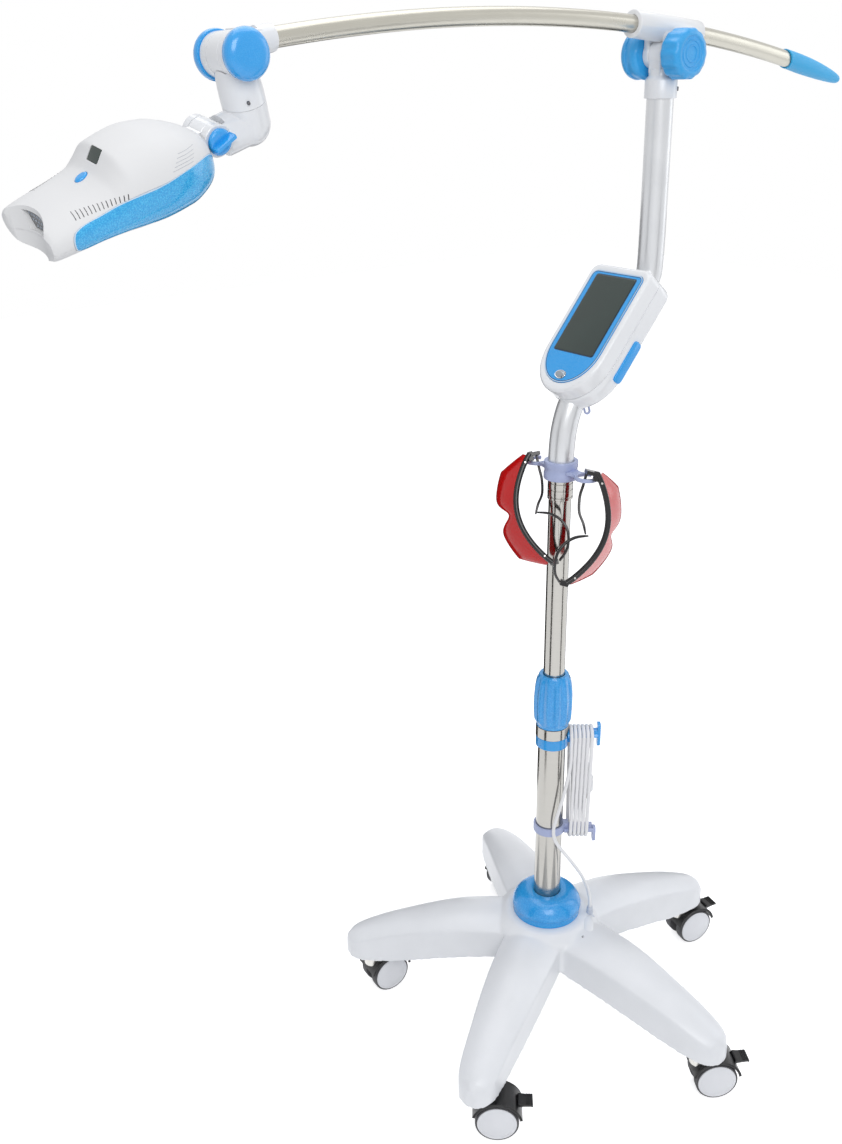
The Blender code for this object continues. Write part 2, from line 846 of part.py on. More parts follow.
def caster(number, leg_angle, heading):
    swivel = Matrix.Translation(
        (SWIVEL_RADIUS * math.cos(leg_angle), SWIVEL_RADIUS * math.sin(leg_angle), 0)
    ) @ turn_z(heading)
    # This frame lies on the axle, with its Z axis along the axle.
    axle = swivel @ frame_at((CASTER_TRAIL, 0, WHEEL_RADIUS), along=(0, -1, 0), across=(0, 0, 1))
    fender_outer = WHEEL_RADIUS + FENDER_CLEARANCE + FENDER_SKIN
    spine_outer = fender_outer - FENDER_SKIN / 2
    spine = prism(
        "spine",
        sector(AXLE_RADIUS / 2, spine_outer, FENDER_START * 1.3, FENDER_SWEEP - FENDER_START * 0.6),
        -SPINE_HALF_WIDTH,
        SPINE_HALF_WIDTH,
    )
    eye = rod("eye", AXLE_RADIUS * 2.2, -SPINE_HALF_WIDTH - FIT / 2, SPINE_HALF_WIDTH + FIT / 2, 8)
    shoulder_top = LEG_TIP_UNDERSIDE - FIT
    stem = turned(
        "stem",
        [
            (0, LEG_TIP_UNDERSIDE + STEM_LENGTH - FIT),
            (STEM_RADIUS, LEG_TIP_UNDERSIDE + STEM_LENGTH - FIT),
            (STEM_RADIUS, shoulder_top),
            (STEM_SHOULDER_RADIUS, shoulder_top),
            (STEM_SHOULDER_RADIUS, WHEEL_RADIUS * 1.4),
            (0, WHEEL_RADIUS * 1.4),
        ],
        SMALL_RING_STEPS,
    )
    wheel_space = rod("wheel_space", WHEEL_RADIUS + FENDER_CLEARANCE - FIT, SPINE_HALF_WIDTH + FIT, WHEEL_OUTER_FACE * 2)
    other_side = Matrix.Rotation(math.pi, 4, "X")
    axle_hole = rod("axle_hole", bore_for(AXLE_RADIUS), -WHEEL_OUTER_FACE, WHEEL_OUTER_FACE)
    hood = as_node(f"caster_{number}_hood", caster_hood_mesh(), black_plastic(), axle, smooth=False)
    join(hood, as_tool(spine, axle), as_tool(eye, axle), as_tool(stem, swivel))
    cut(hood, as_tool(wheel_space, axle), as_tool(wheel_space, axle @ other_side), as_tool(axle_hole, axle))
    seat(hood, swivel.translation)
    half = [
        (0, WHEEL_OUTER_FACE + WHEEL_CAP_RISE),
        (WHEEL_RADIUS - WHEEL_EDGE, WHEEL_OUTER_FACE),
        (WHEEL_RADIUS, WHEEL_OUTER_FACE - WHEEL_EDGE),
        (WHEEL_RADIUS, WHEEL_INNER_FACE),
        (AXLE_RADIUS, WHEEL_INNER_FACE),
    ]
    wheels = turned("wheels", half + [(r, -z) for r, z in reversed(half)], RING_STEPS)
    as_node(f"caster_{number}_wheels", wheels, grey_rubber(), axle)
    # The barrel of the pedal lies on the flat of the fender that faces it.
    flat = FENDER_SWEEP / FENDER_FLATS
    off_middle = (BRAKE_ANGLE - FENDER_START) % flat - flat / 2
    flat_radius = fender_outer * math.cos(flat / 2)
    hinge_radius = (flat_radius + FIT + BRAKE_BARREL_RADIUS) / math.cos(off_middle)
    hinge = axle @ Matrix.Translation(
        (hinge_radius * math.cos(BRAKE_ANGLE), hinge_radius * math.sin(BRAKE_ANGLE), 0)
    )
    back = [(math.radians(a)) for a in (70, 125, 180, 235, 290)]
    barrel = [(BRAKE_BARREL_RADIUS * math.cos(a), BRAKE_BARREL_RADIUS * math.sin(a)) for a in back]
    half = BRAKE_THICKNESS / 2
    tip = [(BRAKE_LENGTH, -half * 0.6), (BRAKE_LENGTH, half * 0.6)]
    pedal = prism("pedal", barrel + tip, -BRAKE_WIDTH / 2, BRAKE_WIDTH / 2)
    as_node(f"caster_{number}_brake", pedal, black_plastic(), hinge, False)


def base():
    star_base()
    for k, heading in enumerate(CASTER_HEADINGS):
        caster(k + 1, LEG_TURN + 2 * math.pi * k / LEG_COUNT, heading)


# Column: two telescoping tubes, a threaded bush and a fluted twist collar
def hub_dome():
    bore = LOWER_TUBE_RADIUS + FIT
    base_height = HUB_TOP + FIT
    shares = ((0.40, 0.985), (0.52, 1.0), (0.72, 0.90), (0.90, 0.64), (0.985, 0.33), (1.0, 0.10), (0.97, 0.0))
    outer = [(DOME_RADIUS * r, base_height + DOME_RISE * z) for r, z in shares]
    inner = [(r - DOME_SKIN, z - DOME_SKIN) for r, z in outer[2:-2]]
    foot = (DOME_RADIUS * 0.97 - DOME_SKIN, base_height)
    top_lip = (bore, base_height + DOME_RISE * 0.96)
    under_lip = (bore, base_height + DOME_RISE * 0.96 - DOME_SKIN)
    profile = [top_lip, *outer, foot, *reversed(inner), under_lip]
    as_node("hub_dome", turned("hub_dome", profile, ring=True), blue_plastic())


def lower_tube():
    inner = LOWER_TUBE_RADIUS - LOWER_TUBE_WALL
    mesh = pipe("lower_tube", LOWER_TUBE_RADIUS, inner, SOCKET_FLOOR + FIT, LOWER_TUBE_TOP)
    as_node("lower_tube", mesh, steel())


def bush_seat():
    return LOWER_TUBE_TOP + FIT


def guide_bush():
    slide_bore = INNER_TUBE_RADIUS + PIVOT_PLAY
    shoulder = bush_seat() + BUSH_SHOULDER
    profile = [
        (slide_bore, BUSH_NOSE_TOP),
        (BUSH_NOSE_RADIUS, BUSH_NOSE_TOP),
        (BUSH_NOSE_RADIUS, shoulder),
        (BUSH_RADIUS, shoulder),
        (BUSH_RADIUS, BUSH_BOTTOM),
        (LOWER_TUBE_RADIUS + FIT, BUSH_BOTTOM),
        (LOWER_TUBE_RADIUS + FIT, bush_seat()),
        (slide_bore, bush_seat()),
    ]
    as_node("guide_bush", turned("guide_bush", profile, ring=True), chrome())


def twist_collar():
    foot = bush_seat() + BUSH_SHOULDER + FIT
    height = COLLAR_TOP - foot
    belly = COLLAR_BELLY_RADIUS
    rows = (
        (COLLAR_FOOT_RADIUS, 0.0, 0.0),
        (between(COLLAR_FOOT_RADIUS, belly, 0.80), 0.14, 0.8),
        (belly, 0.40, 1.0),
        (between(COLLAR_TOP_RADIUS, belly, 0.85), 0.68, 1.0),
        (between(COLLAR_TOP_RADIUS, belly, 0.45), 0.90, 0.2),
        (COLLAR_TOP_RADIUS, 1.0, 0.0),
    )
    outer = [(r, foot + height * h, share) for r, h, share in rows]
    steps = COLLAR_FLUTES * 2
    nose_bore = bore_for(BUSH_NOSE_RADIUS, steps)
    tube_bore = bore_for(INNER_TUBE_RADIUS, steps)
    nose_end = BUSH_NOSE_TOP + FIT * 3
    inner = [
        (nose_bore, foot, 0),
        (nose_bore, nose_end, 0),
        (tube_bore, nose_end, 0),
        (tube_bore, COLLAR_TOP, 0),
    ]
    outer_rings = fluted_rings(outer, COLLAR_FLUTES, COLLAR_FLUTE_DEPTH, steps)
    inner_rings = fluted_rings(inner, COLLAR_FLUTES, 0, steps)
    as_node("twist_collar", ring_loft("twist_collar", outer_rings, inner_rings), blue_plastic())


def inner_tube():
    radius = INNER_TUBE_RADIUS
    bore = radius - INNER_TUBE_WALL
    foot = LOWER_TUBE_RADIUS - LOWER_TUBE_WALL - PIVOT_PLAY
    band_top = mast_bottom() - FIT
    plug_radius = (MAST_RADIUS - MAST_WALL) * math.cos(math.pi / RING_STEPS) - FIT
    groove = MAST_RADIUS - BAND_GROOVE_DEPTH
    height = between(BAND_BOTTOM, band_top, 0.5)
    profile = [
        (bore, mast_bottom() + MAST_INSERT),
        (plug_radius, mast_bottom() + MAST_INSERT),
        (plug_radius, band_top),
        (MAST_RADIUS, band_top),
        (MAST_RADIUS, height + BAND_GROOVE_WIDTH / 2),
        (groove, height + BAND_GROOVE_WIDTH / 2),
        (groove, height - BAND_GROOVE_WIDTH / 2),
        (MAST_RADIUS, height - BAND_GROOVE_WIDTH / 2),
        (MAST_RADIUS, BAND_BOTTOM),
        (radius, BAND_BOTTOM),
        (radius, INNER_TUBE_BOTTOM + INNER_FOOT_HEIGHT),
        (foot, INNER_TUBE_BOTTOM + INNER_FOOT_HEIGHT),
        (foot, INNER_TUBE_BOTTOM),
        (bore, INNER_TUBE_BOTTOM),
    ]
    as_node("inner_tube", turned("inner_tube", profile, ring=True), chrome())


def column():
    hub_dome()
    lower_tube()
    guide_bush()
    twist_collar()
    inner_tube()


def hook_frame(height=0.0):
    return turn_z(HOOK_TURN) @ Matrix.Translation((0, 0, height))


def hook_reach():
    """Where the hook's lip starts, past the last loop of the hank."""
    last = HANK_START + HANK_PITCH * HANK_LOOPS
    return last + CORD_DIAMETER / 2 + FIT


def arch_ring(x, radius, level, thickness, steps=4):
    """A saddle section: an arc on top with the thickness below it."""
    outer = []
    inner = []
    for i in range(steps + 1):
        angle = math.pi * (0.08 + 0.84 * i / steps)
        outer.append((x, radius * math.cos(angle), level + radius * math.sin(angle)))
        low = radius - thickness
        inner.append((x, low * math.cos(angle), level + low * math.sin(angle)))
    return outer + inner[::-1]


def cord_hook(name, finish, bottom, top, lip_low, lip_high, level, turn_down):
    frame = hook_frame()
    bore = LOWER_TUBE_RADIUS + FIT
    ring = as_node(name, pipe(name, HOOK_RING_RADIUS, bore, bottom, top), finish, frame)
    radius = HANK_FOLD_RADIUS * math.cos(math.pi / 2 / HANK_ARC_POINTS) - CORD_DIAMETER / 2 - FIT
    reach = hook_reach()
    start = (bore + HOOK_RING_RADIUS) / 2
    saddle = loft("saddle", [arch_ring(x, radius, 0, SADDLE_THICKNESS) for x in (start, reach + FIT)])
    facing = Matrix.Rotation(math.pi, 4, "X") if turn_down else Matrix()
    at_level = frame @ Matrix.Translation((0, 0, level)) @ facing
    half = HOOK_LIP_HALF_WIDTH
    corners = [(-half, lip_low - level), (half, lip_low - level), (half, lip_high - level), (-half, lip_high - level)]
    lip = prism("lip", rounded_outline(corners, HOOK_LIP_ROUND), 0, HOOK_LIP_THICKNESS)
    lip_frame = frame @ frame_at((reach, 0, level), along=(1, 0, 0), across=(0, 0, 1))
    column_space = rod("column_space", bore, bottom - HANK_TOP, top + HANK_TOP, RING_STEPS)
    root = block("root", (start, -half, -half), (HOOK_RING_RADIUS + SADDLE_THICKNESS, half, radius - SADDLE_THICKNESS / 2))
    bush_space = rod("bush_space", BUSH_RADIUS + FIT, top, top + HANK_TOP, RING_STEPS)
    join(ring, as_tool(saddle, at_level), as_tool(root, at_level), as_tool(lip, lip_frame))
    cut(ring, as_tool(column_space), as_tool(bush_space))


def cord_hooks():
    cord_hook(
        "cord_hook_upper",
        blue_plastic(),
        UPPER_HOOK_BOTTOM,
        UPPER_HOOK_TOP,
        UPPER_LIP_BOTTOM,
        UPPER_LIP_TOP,
        HANK_TOP,
        False,
    )
    lip_high = HANK_BOTTOM - HOOK_LIP_HALF_WIDTH / 2
    cord_hook(
        "cord_hook_lower",
        lavender_plastic(),
        LOWER_HOOK_BOTTOM,
        LOWER_HOOK_TOP,
        LOWER_LIP_BOTTOM,
        lip_high,
        HANK_BOTTOM,
        True,
    )


# Mains cord: a gland on the base, one stretch, the hank on both hooks and the plug
def cord_tube(name, points, sides, finish):
    curve = bpy.data.curves.new(name, "CURVE")
    curve.dimensions = "3D"
    curve.bevel_depth = CORD_DIAMETER / 2
    curve.bevel_resolution = sides
    curve.use_fill_caps = True
    spline = curve.splines.new("POLY")
    spline.points.add(len(points) - 1)
    for spot, point in zip(spline.points, points):
        spot.co = (*point, 1)
    curve.materials.append(material(name, *finish))
    node = bpy.data.objects.new(name, curve)
    parts.objects.link(node)
    node.matrix_world = hook_frame()
    return node


def smooth_path(knots, spacing):
    """Points on a smooth curve through the knots, about the given distance apart."""
    knots = [Vector(k) for k in knots]
    points = [knots[0]]
    for i in range(len(knots) - 1):
        before = knots[max(i - 1, 0)]
        after = knots[min(i + 2, len(knots) - 1)]
        a = knots[i]
        b = knots[i + 1]
        count = max(1, round((b - a).length / spacing))
        for step in range(1, count + 1):
            t = step / count
            leave = (b - before) / 2
            arrive = (after - a) / 2
            points.append(
                a * (2 * t**3 - 3 * t**2 + 1)
                + leave * (t**3 - 2 * t**2 + t)
                + b * (-2 * t**3 + 3 * t**2)
                + arrive * (t**3 - t**2)
            )
    return points


def hank_points():
    """Stadium loops side by side. Each goes over its top, down the back, under and up the front."""
    height = HANK_TOP - HANK_BOTTOM
    arc = math.pi * HANK_FOLD_RADIUS
    loop_length = 2 * (height + arc)
    points = [Vector((HANK_START, -HANK_FOLD_RADIUS, HANK_LEAD_HEIGHT))]
    shares = [i / HANK_STRAIGHT_POINTS for i in range(HANK_STRAIGHT_POINTS)]
    angles = [math.pi * i / HANK_ARC_POINTS for i in range(HANK_ARC_POINTS)]

    def add(index, run, y, z):
        points.append(Vector((HANK_START + HANK_PITCH * (index + run / loop_length), y, z)))

    for index in range(HANK_LOOPS):
        for angle in angles:
            y = -HANK_FOLD_RADIUS * math.cos(angle)
            add(index, HANK_FOLD_RADIUS * angle, y, HANK_TOP + HANK_FOLD_RADIUS * math.sin(angle))
        if index == HANK_LOOPS - 1:
            add(index, arc, HANK_FOLD_RADIUS, HANK_TOP)
            for share, out in TAIL_BEND:
                add(index, arc, between(HANK_FOLD_RADIUS, TAIL_OUT, out), between(HANK_TOP, TAIL_END, share))
            break
        for share in shares:
            add(index, arc + height * share, HANK_FOLD_RADIUS, HANK_TOP - height * share)
        for angle in angles:
            run = arc + height + HANK_FOLD_RADIUS * angle
            z = HANK_BOTTOM - HANK_FOLD_RADIUS * math.sin(angle)
            add(index, run, HANK_FOLD_RADIUS * math.cos(angle), z)
        for share in shares:
            run = 2 * arc + height + height * share
            add(index, run, -HANK_FOLD_RADIUS, HANK_BOTTOM + height * share)
    return points


def least_gap(points):
    """The least distance between two runs of the tube, less its diameter."""
    spots = []
    for a, b in zip(points, points[1:]):
        count = max(1, round((b - a).length / (CORD_DIAMETER / 2)))
        spots += [tuple(a.lerp(b, i / count)) for i in range(count)]
    spots = np.array(spots)
    steps = np.linalg.norm(np.diff(spots, axis=0), axis=1)
    along = np.concatenate([[0.0], np.cumsum(steps)])
    apart = np.linalg.norm(spots[:, None] - spots[None], axis=2)
    near = np.abs(along[:, None] - along[None]) < CORD_DIAMETER * 4
    apart[near] = np.inf
    return float(apart.min()) - CORD_DIAMETER


def run_length(points):
    return sum((b - a).length for a, b in zip(points, points[1:]))


def mains_cord():
    hank = hank_points()
    stretch = smooth_path(STRETCH_POINTS, CORD_DIAMETER * 2)
    cord_tube("cord_hank", hank, 1, white_cord())
    cord_tube("cord_stretch", stretch, 2, white_cord())
    print("hank: least gap", round(least_gap(hank) * 1000, 2), "mm, length", round(run_length(hank), 3), "m")
    print("stretch: length", round(run_length(stretch), 3), "m")
    cord_inlet()
    cord_plug(hank[-1])


def cord_inlet():
    x, y, top = STRETCH_POINTS[0]
    frame = hook_frame() @ Matrix.Translation((x, y, 0))
    seat_height = INLET_BOSS_TOP + FIT
    flange_top = seat_height + INLET_FLANGE_HEIGHT
    nose_top = top - FIT
    profile = [
        (0, nose_top),
        (CORD_DIAMETER * 0.75, nose_top),
        (CORD_DIAMETER * 0.95, flange_top + INLET_FLANGE_HEIGHT / 2),
        (INLET_FLANGE_RADIUS, flange_top),
        (INLET_FLANGE_RADIUS, seat_height),
        (INLET_STEM_RADIUS, seat_height),
        (INLET_STEM_RADIUS, INLET_BOSS_BOTTOM - FIT),
        (0, INLET_BOSS_BOTTOM - FIT),
    ]
    as_node("cord_inlet", turned("cord_inlet", profile, SMALL_RING_STEPS), grey_plastic(), frame)


def cord_plug(tail):
    """The plug hangs from the end of the tail. Its frame has +Z along the pins, which is down."""
    body_start = FIT + PLUG_NECK_LENGTH
    body_end = body_start + PLUG_BODY_LENGTH
    profile = [
        (0, body_end),
        (PLUG_RADIUS, body_end),
        (PLUG_RADIUS, body_start + PLUG_BODY_LENGTH * 0.35),
        (PLUG_NECK_RADIUS * 1.5, body_start),
        (PLUG_NECK_RADIUS, FIT),
        (0, FIT),
    ]
    frame = hook_frame() @ frame_at(tail, along=(0, 0, -1), across=(0, 1, 0))
    node = as_node("cord_plug", turned("cord_plug", profile, SMALL_RING_STEPS), white_plastic(), frame)
    pin = rod("pin", PLUG_PIN_RADIUS, body_end - PLUG_PIN_RADIUS, body_end + PLUG_PIN_LENGTH)
    for side in (1, -1):
        join(node, as_tool(pin, frame @ Matrix.Translation((side * PLUG_PIN_SPACING * 0.6, 0, 0))))


# Goggle holder and the two pairs of goggles
def goggle_holder():
    bore = bore_for(MAST_RADIUS, RING_STEPS)
    node = as_node("goggle_holder", pipe("goggle_holder", HOLDER_RADIUS, bore, HOLDER_BOTTOM, HOLDER_TOP), lavender_plastic())
    low = LOOP_LEVEL - LOOP_HEIGHT / 2
    high = LOOP_LEVEL + LOOP_HEIGHT / 2
    for side in (1, -1):
        at_loop = Matrix.Translation((0, side * LOOP_REACH, 0))
        ring = pipe("loop", LOOP_RADIUS, LOOP_RADIUS - LOOP_WALL, low, high)
        neck_start = (bore + HOLDER_RADIUS) / 2
        neck_end = LOOP_REACH - LOOP_RADIUS + LOOP_WALL / 2
        neck = block("loop_neck", (-LOOP_RADIUS * 0.6, neck_start, low + FIT), (LOOP_RADIUS * 0.6, neck_end, high - FIT))
        flip = Matrix() if side > 0 else Matrix.Rotation(math.pi, 4, "Z")
        mouth = block("mouth", (0, -LOOP_MOUTH / 2, low - CUT_MARGIN), (LOOP_RADIUS * 2, LOOP_MOUTH / 2, high + CUT_MARGIN))
        join(node, as_tool(ring, at_loop), as_tool(neck, flip))
        cut(node, as_tool(mouth, at_loop))


def view_across():
    """Both pairs of goggles hang in a plane along the cord hooks' arms."""
    return Vector((math.cos(HOOK_TURN), math.sin(HOOK_TURN), 0))


def view_toward():
    return Vector((math.sin(HOOK_TURN), -math.cos(HOOK_TURN), 0))


def goggle_frame(side, inward, forward):
    out = view_across() * -side
    toward = view_toward()
    down = math.sqrt(1 - inward**2 - forward**2)
    along = out * -inward + toward * forward - Vector((0, 0, down))
    beside = (out * math.cos(HINGE_BEARING) + toward * math.sin(HINGE_BEARING)) * HINGE_STANDOFF
    out = (out - along * out.dot(along)).normalized()
    up = out.cross(along)
    if up.dot(toward) < 0:
        up = -up
    # The frame of the right pair is a mirror image of the left one.
    turn = Matrix((out, up, -along)).transposed()
    lowest = min((turn @ Vector(corner)).z for corner in product(*zip(*bridge_box())))
    loop_top = LOOP_LEVEL + LOOP_HEIGHT / 2
    hinge = Vector((0, side * LOOP_REACH, loop_top + FIT - lowest)) + beside
    return Matrix.Translation(hinge) @ turn.to_4x4()


def bridge_box():
    """Two corners of the block that lies on the loop."""
    half_high = BROW_HEIGHT / 2
    low = (-HINGE_BLOCK_REACH, -HINGE_BLOCK_DEPTH, FIT * 4 - BRIDGE_DROP)
    return low, (BROW_DEPTH / 2, half_high - FIT * 2, HINGE_BLOCK_HEIGHT - BRIDGE_DROP)


def brow_point(share):
    return Vector((GOGGLE_BULGE * math.sin(math.pi * share) ** 0.85, 0, -GOGGLE_WIDTH * share))


def brow_rings():
    rings = []
    for i in range(10):
        share = i / 9
        centre = brow_point(share)
        before = brow_point(max(share - 0.02, 0))
        after = brow_point(min(share + 0.02, 1))
        along = (after - before).normalized()
        side = Vector((0, 1, 0))
        out = side.cross(along)
        half_depth = out * (BROW_DEPTH / 2)
        half_height = side * (BROW_HEIGHT / 2)
        corners = ((1, 0.4), (0.3, 1), (-1, 0.7), (-1, -0.7), (0.3, -1), (1, -0.4))
        rings.append([centre + half_depth * a + half_height * b for a, b in corners])
    return rings


def lens_rings():
    """Two lenses in one moulding, with the nose notch between them."""
    rings = []
    for i in range(13):
        share = between(0.02, 0.98, i / 12)
        base = brow_point(share)
        along = brow_point(share + 0.02) - brow_point(share - 0.02)
        out = along.normalized().cross(Vector((0, 1, 0)))
        notch = math.exp(-(((share - 0.5) / 0.07) ** 2))
        ends = min(1, min(share, 1 - share) / 0.20 + 0.15)
        fullness = (1 - NOSE_NOTCH_SHARE * notch) * ends
        height = LENS_HEIGHT * fullness
        flare = out * LENS_FLARE * fullness
        top = base + Vector((0, BROW_HEIGHT * 0.2, 0))
        middle = base + flare * 0.75 - Vector((0, height * 0.45, 0))
        low = base + flare - Vector((0, height, 0))
        skin = out * LENS_SKIN
        rings.append([top, middle, low, low + skin, middle + skin, top + skin])
    return rings


def flat_bar_rings(knots, spacing):
    path = smooth_path(knots, spacing)
    rings = []
    for i, centre in enumerate(path):
        along = (path[min(i + 1, len(path) - 1)] - path[max(i - 1, 0)]).normalized()
        side = along.cross(Vector((0, 1, 0))).normalized() * (TEMPLE_THICKNESS / 2)
        rise = side.cross(along).normalized() * (TEMPLE_HEIGHT / 2)
        rings.append([centre + side + rise, centre - side + rise, centre - side - rise, centre + side - rise])
    return rings


def goggles(name, side, inward, forward):
    frame = goggle_frame(side, inward, forward)
    front = as_node(f"{name}_front", loft("front", brow_rings()), red_plastic(), frame)
    half_high = BROW_HEIGHT / 2
    bridge = block("bridge", *bridge_box())
    foot = block(
        "foot",
        (-BROW_DEPTH, -half_high + FIT * 2, -GOGGLE_WIDTH - BROW_DEPTH / 2),
        (BROW_DEPTH / 2, half_high - FIT * 2, -GOGGLE_WIDTH + BROW_DEPTH / 2),
    )
    collar = block(
        "collar",
        (-BROW_DEPTH / 2 + FIT, -half_high + FIT * 3, -BROW_DEPTH - BRIDGE_DROP / 2),
        (BROW_DEPTH / 2 - FIT, half_high - FIT * 3, BRIDGE_DROP / 2),
    )
    join(front, as_tool(loft("lens", lens_rings()), frame))
    join(front, as_tool(bridge, frame), as_tool(foot, frame), as_tool(collar, frame))
    for label, knots, hinge in (
        ("upper_temple", UPPER_TEMPLE, UPPER_TEMPLE[0]),
        ("lower_temple", LOWER_TEMPLE, LOWER_TEMPLE[0]),
    ):
        mesh = loft(label, flat_bar_rings(knots, TEMPLE_HEIGHT * 1.2))
        node = as_node(f"{name}_{label}", mesh, black_plastic(), frame, False)
        seat(node, frame @ Vector(hinge))


def goggle_set():
    goggle_holder()
    for name, side, inward, forward in GOGGLE_SEATS:
        goggles(name, side, inward, forward)


# Mast and control box
def mast_offset():
    return MAST_BEND[-1][0]


def mast_bottom():
    return MAST_FOOT


def mast_top():
    return MAST_FOOT + MAST_RISE


def mast_centres():
    bend = [Vector((x, 0, MAST_FOOT + rise)) for x, rise in MAST_BEND]
    return [*bend, Vector((mast_offset(), 0, mast_top()))]


def mast():
    centres = mast_centres()
    outer = path_rings(centres, [MAST_RADIUS] * len(centres), RING_STEPS)
    inner = path_rings(centres, [MAST_RADIUS - MAST_WALL] * len(centres), RING_STEPS)
    as_node("mast_tube", ring_loft("mast_tube", outer, inner), white_paint())


def box_frame():
    up_face = Vector((math.cos(BOX_TILT), 0, math.sin(BOX_TILT)))
    out = Vector((-math.sin(BOX_TILT), 0, math.cos(BOX_TILT)))
    return frame_at((BOX_FACE_X, 0, BOX_FACE_HEIGHT), along=out, across=up_face)


def shield_outline(half_width, top, shoulder, foot, corner, steps=10):
    """Square at the top with rounded corners, and a half ellipse below the shoulder."""
    points = [(half_width, top - corner), (half_width - corner * 0.3, top - corner * 0.3), (half_width - corner, top)]
    points += [(-x, y) for x, y in reversed(points)]
    for i in range(steps + 1):
        angle = math.pi + math.pi * i / steps
        points.append((half_width * math.cos(angle), shoulder + (shoulder - foot) * math.sin(angle)))
    return points


def box_outline(inset):
    return shield_outline(
        BOX_HALF_WIDTH - inset,
        BOX_TOP - inset,
        BOX_SHOULDER,
        BOX_FOOT + inset,
        BOX_CORNER - inset,
    )


def panel_outline(grow):
    return shield_outline(
        PANEL_HALF_WIDTH + grow,
        PANEL_TOP + grow,
        PANEL_SHOULDER,
        PANEL_FOOT - grow,
        BOX_CORNER * 0.7,
    )


def mast_space():
    centres = mast_centres()
    radius = MAST_RADIUS + FIT
    return loft("mast_space", path_rings(centres, [radius] * len(centres), RING_STEPS))


def latch_outline(low, high, grow):
    half = LATCH_HALF_THICKNESS + grow
    return rounded_outline(
        [(-half, low - grow), (half, low - grow), (half, high + grow), (-half, high + grow)], half
    )


def latch_frame():
    """On the near side wall of the box, with +Y up the face and +Z out of the wall."""
    side = box_frame() @ frame_at((BOX_HALF_WIDTH, 0, LATCH_DEPTH), along=(1, 0, 0), across=(0, 1, 0))
    if side.translation.y < 0:
        return side
    return box_frame() @ frame_at((-BOX_HALF_WIDTH, 0, LATCH_DEPTH), along=(-1, 0, 0), across=(0, 1, 0))


